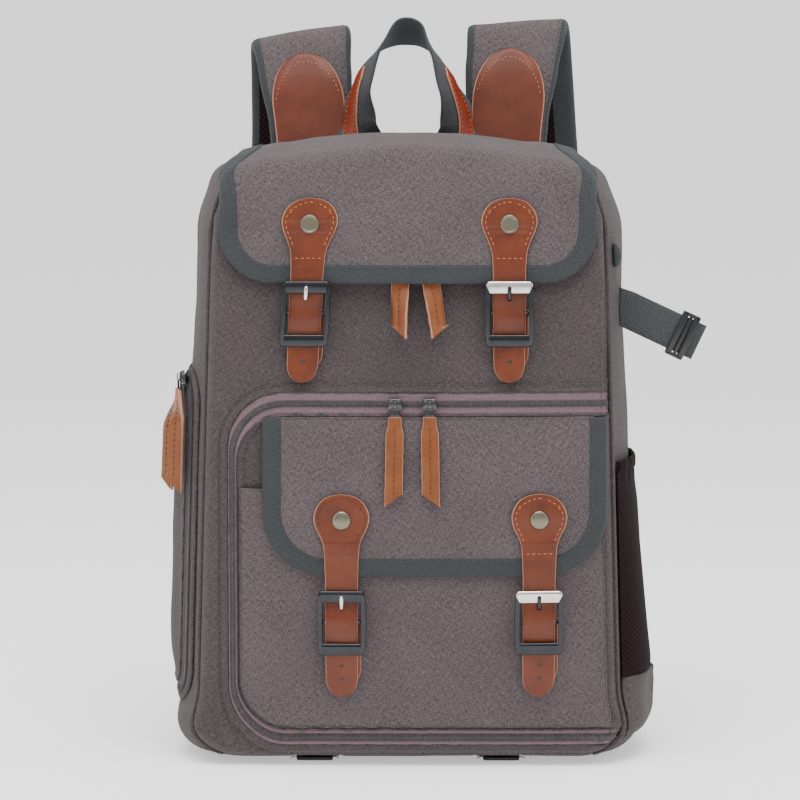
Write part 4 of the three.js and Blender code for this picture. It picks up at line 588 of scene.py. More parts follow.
def stitches(lines, name, finish, length=2.7, gap=1.5, radius=0.36, lift=0.15):
    """Short threads along lines of (points, normals): one merged mesh."""
    corners, faces, uv = [], [], []
    for points, normals in lines:
        both = np.concatenate([points, normals], 1)
        total = path_lengths(points)[-1]
        starts = np.arange(0.6, total - length, length + gap)
        for start in starts:
            spots = start + length * np.array([0, 0.16, 0.5, 0.84, 1])
            row = resample(both, spots)
            place, out = row[:, :3], row[:, 3:]
            out = out / np.linalg.norm(out, axis=1, keepdims=True)
            forward = place[-1] - place[0]
            forward /= np.linalg.norm(forward)
            side = np.cross(forward, out[2])
            side /= np.linalg.norm(side)
            first = len(corners)
            heights = np.array([-0.5, 0.5, 1, 0.5, -0.5]) * radius + lift
            corners.append(place[0] + out[0] * heights[0])
            for k, wide in ((1, 0.8), (2, 1.0), (3, 0.8)):
                for angle in np.arange(5) * 2 * math.pi / 5:
                    corners.append(place[k] + out[k] * (heights[k] * 0.4 + radius * wide * math.cos(angle))
                                   + side * radius * wide * math.sin(angle))
            corners.append(place[4] + out[4] * heights[4])
            uv += [(start, 0)] * 17
            for j in range(5):
                k = (j + 1) % 5
                faces.append([first, first + 1 + k, first + 1 + j])
                for r in (0, 1):
                    a, b = first + 1 + 5 * r + j, first + 1 + 5 * r + k
                    faces.append([a, b, b + 5, a + 5])
                faces.append([first + 16, first + 11 + j, first + 11 + k])
    piece = make_mesh(name, corners, faces, uv, [finish])
    print(name, len(faces) // 20, "threads")
    return keep(piece)

# %% [markdown]
# The gusset is one long padded strip of canvas round the sides and the top, sewn to the front and back along
# piped seams. A real one bags between its seams, so it is a lofted shell with slow folds, not four plates.

# %% Gusset, base and back
def body_outline(side, top, base, count=420):
    """Points of the outline grown outwards, evenly spaced, from the middle of the base up the right side."""
    half = []
    for x in np.linspace(0, LOW_X, 30):
        half.append((x, SEAM_LIFT - base))
    lean = math.atan2(HIGH_Z - LOW_Z, HIGH_X - LOW_X)
    run = math.hypot(HIGH_X - LOW_X, HIGH_Z - LOW_Z)
    angle = lean - math.acos((BOTTOM_R - SHOULDER) / run)
    for a in np.linspace(-math.pi / 2, angle, 24)[1:]:
        half.append((LOW_X + (BOTTOM_R + side) * math.cos(a), LOW_Z + (BOTTOM_R + base) * math.sin(a)))
    start = half[-1]
    end = (HIGH_X + (SHOULDER + side) * math.cos(angle), HIGH_Z + (SHOULDER + top) * math.sin(angle))
    for part in np.linspace(0, 1, 60)[1:-1]:
        half.append((mix(start[0], end[0], part), mix(start[1], end[1], part)))
    for a in np.linspace(angle, math.pi / 2, 36):
        half.append((HIGH_X + (SHOULDER + side) * math.cos(a), HIGH_Z + (SHOULDER + top) * math.sin(a)))
    for x in np.linspace(HIGH_X, 0, 24)[1:]:
        half.append((x, BODY_TOP + top + TOP_CROWN * (1 - (x / HIGH_X) ** 2)))
    half = np.array(half)
    whole = np.concatenate([half, half[-2::-1] * [-1, 1]])
    return resample(np.c_[whole, np.zeros(len(whole))], np.linspace(0, path_lengths(whole)[-1], count))[:, :2]


def gusset_give(s, depth, x, z):
    """Slow upright folds where the soft side bags, strongest high on both sides, and puckers at the seams."""
    inside = np.sin(math.pi * depth) ** 0.8
    high = eased(z, 170, 260) * (1 - eased(z, 375, 412))
    folds = 1.5 * soft_noise(depth * 4.2 + 5, z / 120, 21) + 0.9 * soft_noise(depth * 9, z / 80, 5)
    slow = 1.1 * soft_noise(depth * 2.5, s / 70, 11) + 0.6 * soft_noise(depth * 5, s / 30, 14)
    pucker = 0.28 * np.sin(s / 3.1 + 2 * soft_noise(s / 40, 0, 4)) * (1 - eased(np.minimum(depth, 1 - depth),
                                                                                0.0, 0.07))
    return inside * (folds * high + slow) + pucker


depths = np.concatenate([np.linspace(0, 0.1, 9), np.linspace(0.1, 0.9, 44)[1:-1], np.linspace(0.9, 1, 9)])
rings = []
for depth in depths:
    full = float(swell(depth))
    rings.append(body_outline(SIDE_SWELL * full, TOP_SWELL * full, BASE_SWELL * full))
rings = np.array(rings)
s_along = np.linspace(0, 1, rings.shape[1])[None, :] * 1330
x, z = rings[..., 0], rings[..., 1]
y = mix(front_seam(z), HALF_DEPTH, depths[:, None])
shell = np.stack([x, y, z], -1)
normal = grid_normals(shell, lambda g: g - np.array([0, 0, 200.0]))
shell = shell + normal * gusset_give(s_along, depths[:, None], x, z)[..., None]
gusset_rows = []
for row in shell:
    above = np.nonzero(row[:, 2] >= 11.5)[0]
    part = row[above[0]:above[-1] + 1]
    gusset_rows.append(resample(part, np.linspace(0, path_lengths(part)[-1], 360)))
gusset_grid = np.array(gusset_rows)
lengths_across = path_lengths(gusset_grid[:, 180])
lengths_along = path_lengths(gusset_grid[len(depths) // 2])
gusset_uv = np.stack(np.meshgrid(lengths_across, lengths_along, indexing="ij"), -1)
gusset = cloth("gusset", gusset_grid, 5.5, canvas, lambda g: g - np.array([0, 0, 200.0]), uv=gusset_uv,
               under=lining)
keep(gusset, "side_gusset")

# The base is a tub of coated nylon that carries the two webbing straps. Its rim shows the canvas.
base_rows = []
for row in shell:
    half = len(row) // 2
    right = row[:half][row[:half, 2] < 12.2]
    left = row[half:][row[half:, 2] < 12.2]
    line = np.concatenate([left, right])
    base_rows.append(resample(line, np.linspace(0, path_lengths(line)[-1], 150)))
base_grid = np.array(base_rows)
base_grid[..., 2] = np.maximum(base_grid[..., 2], 0.9)
for sign in (-1, 1):
    near = 1 - eased(np.abs(base_grid[..., 0] - sign * 64), 15.0, 18.0)
    base_grid[..., 2] += 2.2 * near
base = cloth("base tub", base_grid, 4.0, base_fabric, (0, 0, -1), under=lining)
base.data.materials.append(canvas)
for polygon in base.data.polygons:
    if polygon.center.z > 0.0024:
        polygon.material_index = len(base.data.materials) - 1
keep(base, "base_panel")


def face_rings(face, rim, steps=46):
    """Rings of the outline shrinking from the seam to the middle, for a panel as deep as face(x, z)."""
    out = []
    for inset in rim * (1 - np.cos(np.linspace(0, 1, 12) * math.pi / 2)):
        out.append(body_outline(-inset, -inset, -inset, 400))
    inner = out[-1]
    middle = np.array([0, (BODY_TOP + SEAM_LIFT) / 2])
    for part in np.linspace(1, 0.02, steps)[1:]:
        out.append(middle + (inner - middle) * part)
    rings = np.array(out)[:, :-1]
    x, z = rings[..., 0], rings[..., 1]
    return np.stack([x, face(x, z), z], -1)


def back_give(x, z):
    channel = np.exp(-(x / 7) ** 2) * eased(z, 40, 70) * (1 - eased(z, 340, 370))
    rows = sum(np.exp(-((z - height) / 6) ** 2) for height in (120, 215, 310))
    rows = rows * (1 - eased(np.abs(x), 95, 115))
    pads = 1.2 * soft_noise(x / 40, z / 50, 31)
    return eased(seam_inset(x, z), 4, 22) * (pads - 3.2 * np.maximum(channel, rows))


def closed_panel(name, rings, thickness, finish, outward):
    """A panel from closed rings, with an inner side and the hole in the middle shut."""
    count = rings.shape[1]
    wrapped = np.concatenate([rings, rings[:, :1]], 1)
    normal = grid_normals(wrapped, outward)[:, :-1]
    inner = rings - normal * thickness
    sections = np.concatenate([rings, inner[::-1]], 0)
    corners = sections.reshape(-1, 3)
    uv = corners[:, [0, 2]]
    index = np.arange(len(corners)).reshape(-1, count)
    follow = np.roll(index, -1, 1)
    quads = np.stack([index, np.roll(index, -1, 0), np.roll(follow, -1, 0), follow], -1)
    middle = len(rings) - 1
    quads = np.delete(quads, middle, 0).reshape(-1, 4).tolist()
    corners = corners.tolist()
    uv = uv.tolist()
    for row in (middle, middle + 1):
        centre = len(corners)
        corners.append(np.mean(np.asarray(corners)[index[row]], 0).tolist())
        uv.append(corners[-1][::2])
        for j in range(count):
            a, b = int(index[row, j]), int(follow[row, j])
            quads.append([a, b, centre] if row == middle + 1 else [b, a, centre])
    piece = make_mesh(name, corners, quads, uv, [finish])
    fix_facing(piece)
    return piece


back_rings = face_rings(lambda x, z: back_face(x, z) + back_give(x, z), BACK_RIM)
back = closed_panel("back panel", back_rings, 5.0, spacer_mesh, (0, 1, 0))
keep(back, "back_panel")
print("gusset, base and back made")

# %% [markdown]
# The front is two panels with a zip between them: a door low down, and the panel that frames it and runs up
# under the flap. Lines of points run out from the zip's path to the seam, so both panels end exactly on it.

# %% Front panel and door
DOOR = dict(left=-126.0, bottom=19.0, top=265.0, radius=40.0)
DOOR_IN = dict(left=-119.0, bottom=29.0, top=248.0, radius=33.0)


def door_path(spec, shrink, straight=70, arc=22):
    """Points on the zip's path, from its top right end round the left to its bottom right end."""
    left, bottom = spec["left"] + shrink, spec["bottom"] + shrink
    top, radius = spec["top"] - shrink, spec["radius"] - shrink
    points = []
    for part in np.linspace(1, 0, straight):
        reach = float(seam_half(top)) - 1.5
        points.append((mix(left + radius, reach, part), top, 0.0, 1.0))
    for a in np.linspace(math.pi / 2, math.pi, arc)[1:]:
        points.append((left + radius + radius * math.cos(a), top - radius + radius * math.sin(a),
                       math.cos(a), math.sin(a)))
    for z in np.linspace(top - radius, bottom + radius, straight)[1:]:
        points.append((left, z, -1.0, 0.0))
    for a in np.linspace(math.pi, 1.5 * math.pi, arc)[1:]:
        points.append((left + radius + radius * math.cos(a), bottom + radius + radius * math.sin(a),
                       math.cos(a), math.sin(a)))
    for part in np.linspace(0, 1, straight)[1:]:
        reach = float(seam_half(bottom)) - 1.5
        points.append((mix(left + radius, reach, part), bottom, 0.0, -1.0))
    return np.array(points)


def reach_to_seam(x, z, dx, dz):
    low, high = np.zeros_like(x), np.full_like(x, 260.0)
    for _ in range(30):
        middle = (low + high) / 2
        inside = seam_inset(x + middle * dx, z + middle * dz) > 0.02
        low, high = np.where(inside, middle, low), np.where(inside, high, middle)
    return low


def seam_pucker(x, z, along, depth_in):
    """Little gathers beside a sewn seam."""
    near = np.exp(-np.maximum(depth_in, 0) / 5)
    return 0.3 * near * np.sin(along / 2.6 + 1.5 * soft_noise(along / 30, 0, 2))


frame_path = door_path(DOOR, 0)
reach = reach_to_seam(*frame_path.T)
shares = np.concatenate([np.linspace(0, 0.12, 8), 0.12
                         + 0.88 * np.sin(np.linspace(0, 1, 44)[1:] * math.pi / 2)])
x = frame_path[None, :, 0] + shares[:, None] * reach * frame_path[None, :, 2]
z = frame_path[None, :, 1] + shares[:, None] * reach * frame_path[None, :, 3]
along = path_lengths(frame_path[:, :2])[None, :]
from_zip = shares[:, None] * reach
roll = 1.2 * np.exp(-((from_zip - 2.0) / 2.2) ** 2) - 0.9 * np.exp(-((from_zip - 5.2) / 1.0) ** 2)
height = roll + seam_pucker(x, z, along, from_zip)
panel_grid = on_front(x, z, height)
front = cloth("front panel", panel_grid, 5.0, canvas, (0, -1, 0), uv=np.stack([x, z], -1), under=lining)
keep(front, "front_panel")

rows = np.concatenate([np.linspace(0, 0.03, 5), np.linspace(0.03, 0.97, 96)[1:-1], np.linspace(0.97, 1, 5)])
door_z = mix(DOOR_IN["bottom"], DOOR_IN["top"], rows)
inner_r = DOOR_IN["radius"]
into = np.maximum(0, np.maximum(DOOR_IN["bottom"] + inner_r - door_z, door_z - DOOR_IN["top"] + inner_r))
left_edge = DOOR_IN["left"] + inner_r - np.sqrt(np.maximum(0, inner_r ** 2 - into ** 2))
columns = np.concatenate([np.linspace(0, 0.03, 5), np.linspace(0.03, 0.97, 104)[1:-1],
                          np.linspace(0.97, 1, 6)])
right_edge = seam_half(door_z) - 0.3
door_x = mix(left_edge[:, None], right_edge[:, None], columns[None, :])
door_zz = np.repeat(door_z[:, None], len(columns), 1)
to_zip = np.minimum(np.minimum(door_zz - DOOR_IN["bottom"], DOOR_IN["top"] - door_zz),
                    (door_x - left_edge[:, None]))
roll = 1.0 * np.exp(-((to_zip - 1.8) / 2.0) ** 2) - 0.8 * np.exp(-((to_zip - 5.0) / 1.0) ** 2)
door_grid = on_front(door_x, door_zz, roll + seam_pucker(door_x, door_zz, door_x + door_zz, to_zip))
door = cloth("front door", door_grid, 5.0, canvas, (0, -1, 0), uv=np.stack([door_x, door_zz], -1),
             under=lining)
keep(door, "front_door")
print("front panel and door made")

# %% [markdown]
# The body's two long seams are piped: a cord in a strip of the same canvas stands proud all round, with a row
# of stitches beside it. It is what draws the bag's outline in the photograph.

# %% Piping and seam stitches
def open_ring(inset, lowest, count):
    """The outline at an inset, cut open along the base."""
    ring = body_outline(-inset, -inset, -inset, count)
    ring = ring[ring[:, 1] > lowest]
    start = np.argmax(np.linalg.norm(np.diff(ring, axis=0), axis=1) > 20) + 1
    return np.roll(ring, -start, 0) if start > 1 else ring


def piping(name, at_front, radius=1.9):
    """A cord round the seam, ending at the base."""
    x, z = open_ring(-0.6, 11.6, 520).T
    seam = front_seam(z) if at_front else np.full_like(z, HALF_DEPTH)
    middle = np.stack([x, seam, z], -1)
    tangent = np.gradient(middle, axis=0)
    tangent /= np.linalg.norm(tangent, axis=1, keepdims=True)
    across = np.tile([0, 1.0, 0], (len(x), 1))
    out = np.cross(tangent, across)
    out *= np.sign((out * (middle - [0, 0, 200])).sum())
    wave = 1 + 0.06 * soft_noise(path_lengths(middle) / 6, 0, 9)
    sections = []
    for angle in np.arange(10) * 2 * math.pi / 10:
        sections.append(middle + out * (0.4 + (radius * wave * math.cos(angle))[:, None] * 0.9)
                        + across * (radius * wave * math.sin(angle))[:, None])
    keep(section_loft(name, np.stack(sections, 1), canvas))


piping("front seam piping", True)
piping("back seam piping", False)


def ring_stitch(inset, seam_sign):
    x, z = open_ring(inset, 16, 420).T
    face = front_face(x, z) if seam_sign < 0 else back_face(x, z) + back_give(x, z)
    inward = np.stack([-x, 0 * x, 220 - z], -1)
    inward /= np.linalg.norm(inward, axis=1, keepdims=True)
    return np.stack([x, face, z], -1), np.tile([0, float(seam_sign), 0], (len(x), 1)) - 0.5 * inward


stitches([ring_stitch(5.5, -1), ring_stitch(5.5, 1)], "seam stitches", grey_thread, 2.8, 1.4, 0.34)

# %% [markdown]
# A coil zip is two rows of nylon loops that lock into each other along the middle of a woven tape. The tape
# is a thin ribbon set into the front, and each loop here is a short slanting bead.

# %% Zips
def ribbon(name, outer, inner, point, low, high, finish):
    """A tape between two edge lines [x, z], with two thin raised lines near its edges."""
    parts = np.linspace(0, 1, 19)
    width = np.linalg.norm(inner - outer, axis=1)
    grid = []
    for part in parts:
        spot = mix(outer, inner, part)
        lift = np.zeros(len(spot))
        for line in (0.14, 0.86):
            lift = lift + 0.7 * np.exp(-((part - line) * width / 0.8) ** 2)
        grid.append(point(spot[:, 0], spot[:, 1], high + lift))
    grid = np.array(grid)
    along = path_lengths((outer + inner) / 2)
    uv = np.stack(np.broadcast_arrays(parts[:, None] * width.mean(), along[None, :]), -1)
    return cloth(name, grid, high - low, finish, (0, -1, 0), uv=uv)


def coil(name, middle, point, outward, finish, pitch=1.55, half=2.1, thick=0.62, height=0.6):
    """Two rows of slanting beads along a line [x, z]."""
    fine = resample(np.c_[middle, np.zeros(len(middle))],
                    np.arange(0, path_lengths(middle)[-1], pitch))[:, :2]
    tangent = np.gradient(fine, axis=0)
    tangent /= np.linalg.norm(tangent, axis=1, keepdims=True)
    side = np.stack([-tangent[:, 1], tangent[:, 0]], -1)
    corners, faces, uv = [], [], []
    for row, shift in ((1, 0.0), (-1, 0.5)):
        base = fine + tangent * pitch * shift
        tip = base + side * row * half + tangent * 0.25 * pitch
        root = base - side * row * 0.25 * half
        a3, b3 = point(root[:, 0], root[:, 1], height), point(tip[:, 0], tip[:, 1], height - 0.25)
        forward = b3 - a3
        length = np.linalg.norm(forward, axis=1, keepdims=True)
        forward = forward / length
        out = outward(fine[:, 0], fine[:, 1])
        across = np.cross(forward, out)
        across /= np.linalg.norm(across, axis=1, keepdims=True)
        for i in range(len(fine)):
            first = len(corners)
            for part, wide in ((0, 0.7), (0.5, 1.0), (1, 0.8)):
                spot = a3[i] + (b3[i] - a3[i]) * part
                for angle in np.arange(6) * math.pi / 3:
                    corners.append(spot + out[i] * thick * wide * math.sin(angle)
                                   + across[i] * thick * wide * math.cos(angle))
            corners.append(a3[i] - forward[i] * 0.35)
            corners.append(b3[i] + forward[i] * 0.35)
            uv += [(0, i * pitch)] * 20
            for j in range(6):
                k = (j + 1) % 6
                for r in (0, 1):
                    a, b = first + 6 * r + j, first + 6 * r + k
                    faces.append([a, b, b + 6, a + 6])
                faces.append([first + k, first + j, first + 18])
                faces.append([first + 12 + j, first + 12 + k, first + 19])
    piece = make_mesh(name, corners, faces, uv, [finish])
    fix_facing(piece)
    print(name, len(faces) // 24, "beads")
    return keep(piece)


facing_front = lambda x, z: np.tile([0, -1.0, 0], (len(x), 1))
outer_line, inner_line = door_path(DOOR, 0.2), door_path(DOOR_IN, -0.2)
door_tape = ribbon("door zip tape", outer_line[:, :2], inner_line[:, :2], on_front, -2.6, -1.0, zip_tape)
keep(door_tape, "door_zip")
middle_line = (outer_line[:, :2] + inner_line[:, :2]) / 2
coil("door zip coil", middle_line, lambda x, z, h: on_front(x, z, h - 1.0), facing_front, zip_coil)
half = 104.7
main_x = np.linspace(-half, half, 90)
main_tape = ribbon("main zip tape", np.stack([main_x, 0 * main_x + 378.7], -1),
                   np.stack([main_x, 0 * main_x + 367.3], -1), on_front, 0.0, 1.2, zip_tape)
keep(main_tape, "main_zip")
coil("main zip coil", np.stack([main_x, 0 * main_x + 373], -1), lambda x, z, h: on_front(x, z, h + 1.2),
     facing_front, zip_coil)

# %% [markdown]
# The main flap is one sheet of canvas sewn along the back of the top. It turns over the top and hangs down
# the front, with its weight pulled flat by the two straps, so it is a grid laid over the body along its run.

# %% Main flap
FLAP_EDGE, TURN_Z, TURN_CENTRE = 340.0, 382.0, 350.0
FLAP_HALF, FLAP_TOP_HALF, FLAP_CORNER = 131.0, 115.0, 37.0
TURN_FROM = math.radians(38)
BINDING_WIDTH = 13.0


def flap_clearance(run, x):
    down = share(run, 0.7, 1)
    between = np.cos(np.minimum(1, np.abs(x) / 92) * math.pi / 2) ** 2
    shoulder = share(np.abs(x), 0.78 * FLAP_TOP_HALF,
                     1.04 * FLAP_TOP_HALF) * np.sin(math.pi * share(run, 0.55, 1.1))
    return mix(3.8, 4.0, down) + 5.5 * between * down + 1.8 * shoulder


def over_bag(x, run, height):
    """A point over the bag: run is 0 at the back of the top, 1 at the front of the turn, 2 at the edge."""
    x, run, height = np.broadcast_arrays(*(np.asarray(v, float) for v in (x, run, height)))
    turn_to = -np.arctan2(-front_face(x, TURN_Z), TURN_Z - TURN_CENTRE)
    angle = mix(TURN_FROM, turn_to, np.minimum(run, 1))
    sine, cosine = np.sin(angle), np.cos(angle)
    low, high = np.zeros_like(x), np.full_like(x, 2 * HALF_DEPTH)
    for _ in range(24):
        reach = (low + high) / 2
        inside = inside_body(x, reach * sine, TURN_CENTRE + reach * cosine)
        low, high = np.where(inside, reach, low), np.where(inside, high, reach)
    flat = eased(run, 0.75, 1)
    out_y, out_z = mix(sine, -1, flat), mix(cosine, 0, flat)
    length = np.hypot(out_y, out_z)
    turned = np.stack([x, low * sine + height * out_y / length,
                       TURN_CENTRE + low * cosine + height * out_z / length], -1)
    z = mix(TURN_Z, FLAP_EDGE, run - 1)
    hanging = np.stack([x, front_face(x, z) - height, z], -1)
    return np.where((run > 1)[..., None], hanging, turned)


def flap_half(run):
    return mix(FLAP_TOP_HALF, FLAP_HALF, eased(run, 0.55, 0.95))


def flap_give(x, run):
    """Creases where the flap turns, a pull towards each strap, and gathers along the binding."""
    crease = 0.8 * soft_noise(x / 60, run * 7, 41) * np.exp(-((run - 0.78) / 0.16) ** 2)
    soft = 0.6 * soft_noise(x / 34, run * 3.5, 43) + 0.3 * soft_noise(x / 13, run * 8, 44)
    strap = sum(np.exp(-((x - at) / 22) ** 2) for at in (-67, 70)) * eased(run, 0.8, 1.3)
    return crease + soft * 0.9 - 0.6 * strap


run_at = lambda above: 2 - above / (TURN_Z - FLAP_EDGE)
edge = BINDING_WIDTH - 3.0
radius = FLAP_CORNER - edge
rounded = np.sort(radius * (1 - np.cos(np.radians(np.linspace(0, 78, 16)))))[::-1]
runs = np.concatenate([np.linspace(0, 0.5, 34), np.linspace(0.5, 0.86, 50)[1:],
                       np.linspace(0.86, 1.0, 14)[1:]])
runs = np.concatenate([runs, np.linspace(1.0, run_at(edge + rounded[0]), 6)[1:-1], run_at(edge + rounded)])
above = (2 - runs) * (TURN_Z - FLAP_EDGE)
into = np.clip(radius - (above - edge), 0, radius)
half = np.where(runs > 1, np.minimum(flap_half(runs) - edge,
                                     FLAP_HALF - FLAP_CORNER + np.sqrt(np.maximum(0, radius ** 2 - into ** 2))),
                flap_half(runs) - edge)
parts = np.linspace(-1, 1, 121)
flap_x = half[:, None] * parts[None, :]
flap_run = np.repeat(runs[:, None], len(parts), 1)
flap_low = flap_clearance(flap_run, flap_x) + flap_give(flap_x, flap_run)
flap_grid = over_bag(flap_x, flap_run, flap_low + 2.4)
flap_v = path_lengths(flap_grid[:, 60])
flap_uv = np.stack([flap_x, np.repeat(flap_v[:, None], len(parts), 1)], -1)
flap = cloth("main flap", flap_grid, 2.2, flap_canvas, lambda g: g - np.array([0, 0, 330.0]), uv=flap_uv,
             under=lining)
keep(flap, "main_flap")


def bound_edge(name, stations, place, half_thick, finish, extra=0.0):
    """A folded tape over an edge: stations are [outer, inner] pairs, place(point, height) lays them."""
    outer = np.array([s[0] for s in stations], float)
    inner = np.array([s[1] for s in stations], float)
    along = path_lengths(np.array([place(p[None], 0.0)[0] for p in (outer + inner) / 2]))
    gather = 0.22 * np.sin(along / 1.9) * (0.5 + 0.5 * soft_noise(along / 25, 0, 6))
    profile = [(0.0, 0.0), (0.02, 0.55), (0.07, 0.9), (0.18, 1.06), (0.5, 1.02), (0.86, 1.08), (0.965, 0.92),
               (1.0, 0.62),
               (1.0, -0.62), (0.965, -0.92), (0.86, -1.0), (0.5, -1.0), (0.18, -1.0), (0.07, -0.85),
               (0.02, -0.5)]
    sections, uv = [], []
    for part, up in profile:
        spot = mix(outer, inner, part)
        sections.append(place(spot, half_thick * (1 + up) + extra
                              + gather * (up > 0) * math.sin(math.pi * part)))
        uv.append(np.stack([np.full(len(along), part * BINDING_WIDTH + (0 if up > 0 else 20)), along], -1))
    return section_loft(name, np.stack(sections, 1), finish, uv=np.stack(uv, 1)), outer, inner


flap_stations = []
for r in np.concatenate([np.linspace(0, 0.6, 40), np.linspace(0.6, 1.0, 40)[1:],
                         np.linspace(1.0, run_at(37), 4)[1:-1]]):
    flap_stations.append(((-float(flap_half(r)), r), (-float(flap_half(r)) + BINDING_WIDTH, r)))


def corner_station(sign, angle):
    at = lambda reach: (sign * (FLAP_HALF - FLAP_CORNER + reach * math.cos(angle)),
                        run_at(FLAP_CORNER - reach * math.sin(angle)))
    return at(FLAP_CORNER), at(FLAP_CORNER - BINDING_WIDTH)


for a in np.linspace(0, math.pi / 2, 26):
    flap_stations.append(corner_station(-1, a))
for part in np.linspace(-1, 1, 70)[1:-1]:
    bx = part * (FLAP_HALF - FLAP_CORNER)
    flap_stations.append(((bx, 2.0), (bx, run_at(BINDING_WIDTH))))
for a in np.linspace(math.pi / 2, 0, 26):
    flap_stations.append(corner_station(1, a))
first_side = flap_stations[:40 + 39 + 2]
flap_stations += [((-o[0], o[1]), (-i[0], i[1])) for o, i in first_side[::-1]]


def on_flap(spots, height):
    x, run = spots[:, 0], spots[:, 1]
    return over_bag(x, run, flap_clearance(run, x) + flap_give(x, run) - 0.4 + height)


flap_binding, b_outer, b_inner = bound_edge("main flap binding", flap_stations, on_flap, 1.7, binding)
keep(flap_binding, "main_flap_binding")


def binding_stitch(outer, inner, place, part, height):
    spots = mix(outer, inner, part)
    points = place(spots, height)
    normals = points - place(spots, height - 2.0)
    return points, normals


stitches([binding_stitch(b_outer, b_inner, on_flap, 0.87, 3.6)], "flap binding stitches", slate_thread, 2.6,
         1.6, 0.32)
print("main flap and binding made")

# %% [markdown]
# The door carries a patch pocket that stands off it like a shallow pouch, and its own bound flap. The pouch
# is sewn down at its sides and bottom and open along the top, under the flap.

# %% Patch pocket and its flap
PATCH_TOP, PATCH_LEFT, PATCH_BOTTOM = 197.0, -117.0, 31.0
P_FLAP_TOP, P_FLAP_EDGE, P_CORNER = 247.0, 137.0, 45.0
P_LEFT, P_RIGHT = 101.0, 139.0


def patch_right(z):
    return seam_half(z) - FRONT_RIM * 0.75


def patch_stand(x, z):
    across = share(x, PATCH_LEFT, patch_right(z)) * 2 - 1
    down = share(z, PATCH_TOP, PATCH_BOTTOM)
    return 0.3 + 5.0 * np.maximum(0, 1 - np.abs(across) ** 5) * np.maximum(0, 1 - down ** 3)


def patch_give(x, z):
    inside = eased(np.minimum(np.minimum(x - PATCH_LEFT, patch_right(z) - x), z - PATCH_BOTTOM), 0, 18)
    folds = 0.8 * soft_noise(x / 38, z / 30, 51) + 0.4 * soft_noise(x / 15, z / 17, 52)
    sag = 1.0 * eased(z, 40, 80) * (1 - eased(z, 100, 150))
    return inside * (folds + sag)


rows = np.concatenate([np.linspace(0, 0.03, 4), np.linspace(0.03, 1, 76)[1:]])
patch_z = mix(PATCH_BOTTOM, PATCH_TOP, rows)
into = np.maximum(0, PATCH_BOTTOM + 33 - patch_z)
corner = 33 - np.sqrt(np.maximum(0, 33 ** 2 - into ** 2))
columns = np.concatenate([np.linspace(0, 0.03, 4), np.linspace(0.03, 0.97, 100)[1:-1],
                          np.linspace(0.97, 1, 5)])
patch_x = mix((PATCH_LEFT + corner)[:, None], patch_right(patch_z)[:, None], columns[None, :])
patch_zz = np.repeat(patch_z[:, None], len(columns), 1)
from_edge = np.minimum(np.minimum(patch_x - (PATCH_LEFT + corner)[:, None], patch_zz - PATCH_BOTTOM),
                       patch_right(patch_zz) - patch_x)
pucker = 0.3 * np.exp(-from_edge / 5) * np.sin((patch_x + patch_zz) / 2.6)
hem = 0.5 * np.exp(-((PATCH_TOP - patch_zz - 2.0) / 2.2) ** 2) - 0.5 * np.exp(-((PATCH_TOP - patch_zz - 9)
                                                                                / 0.9) ** 2)
patch_grid = on_front(patch_x, patch_zz, patch_stand(patch_x, patch_zz) + patch_give(patch_x, patch_zz)
                      + 2.0 + pucker + hem)
patch = cloth("patch pocket", patch_grid, 1.8, flap_canvas, (0, -1, 0), uv=np.stack([patch_x, patch_zz], -1),
              under=lining)
keep(patch, "patch_pocket")


def pocket_flap_clearance(x, z):
    over = patch_stand(x, np.minimum(z, PATCH_TOP)) + patch_give(x, np.minimum(z, PATCH_TOP)) + 2.0
    down = share(z, P_FLAP_TOP, PATCH_TOP)
    return np.maximum(mix(0.3, over, down), np.where(z < PATCH_TOP, over, 0)) + 0.8


def pocket_flap_give(x, z):
    soft = 0.5 * soft_noise(x / 36, z / 26, 61) + 0.25 * soft_noise(x / 13, z / 12, 62)
    return soft * eased(P_FLAP_TOP - z, 2, 20)


def on_pocket_flap(spots, height):
    x, z = spots[:, 0], spots[:, 1]
    return on_front(x, z, pocket_flap_clearance(x, z) + pocket_flap_give(x, z) + height)


p_middle, p_half = (P_RIGHT - P_LEFT) / 2, (P_RIGHT + P_LEFT) / 2
edge = BINDING_WIDTH - 3.0
low_z = P_FLAP_EDGE + edge
arc = low_z + (P_CORNER - edge) * (1 - np.cos(np.radians(np.linspace(90, 2, 26))))
pf_z = np.concatenate([np.linspace(P_FLAP_TOP, P_FLAP_EDGE + P_CORNER, 36)[:-1], arc])
into = np.maximum(0, P_FLAP_EDGE + P_CORNER - pf_z)
reach = np.sqrt(np.maximum(0, (P_CORNER - edge) ** 2 - into ** 2))
pf_half = np.where(pf_z < P_FLAP_EDGE + P_CORNER, p_half - P_CORNER + reach, p_half - edge)
parts = np.linspace(-1, 1, 111)
pf_x = p_middle + pf_half[:, None] * parts[None, :]
pf_zz = np.repeat(pf_z[:, None], len(parts), 1)
pf_grid = on_front(pf_x, pf_zz, pocket_flap_clearance(pf_x, pf_zz) + pocket_flap_give(pf_x, pf_zz) + 2.4)
pocket_flap = cloth("pocket flap", pf_grid, 2.2, flap_canvas, (0, -1, 0), uv=np.stack([pf_x, pf_zz], -1),
                    under=lining)
keep(pocket_flap, "pocket_flap")

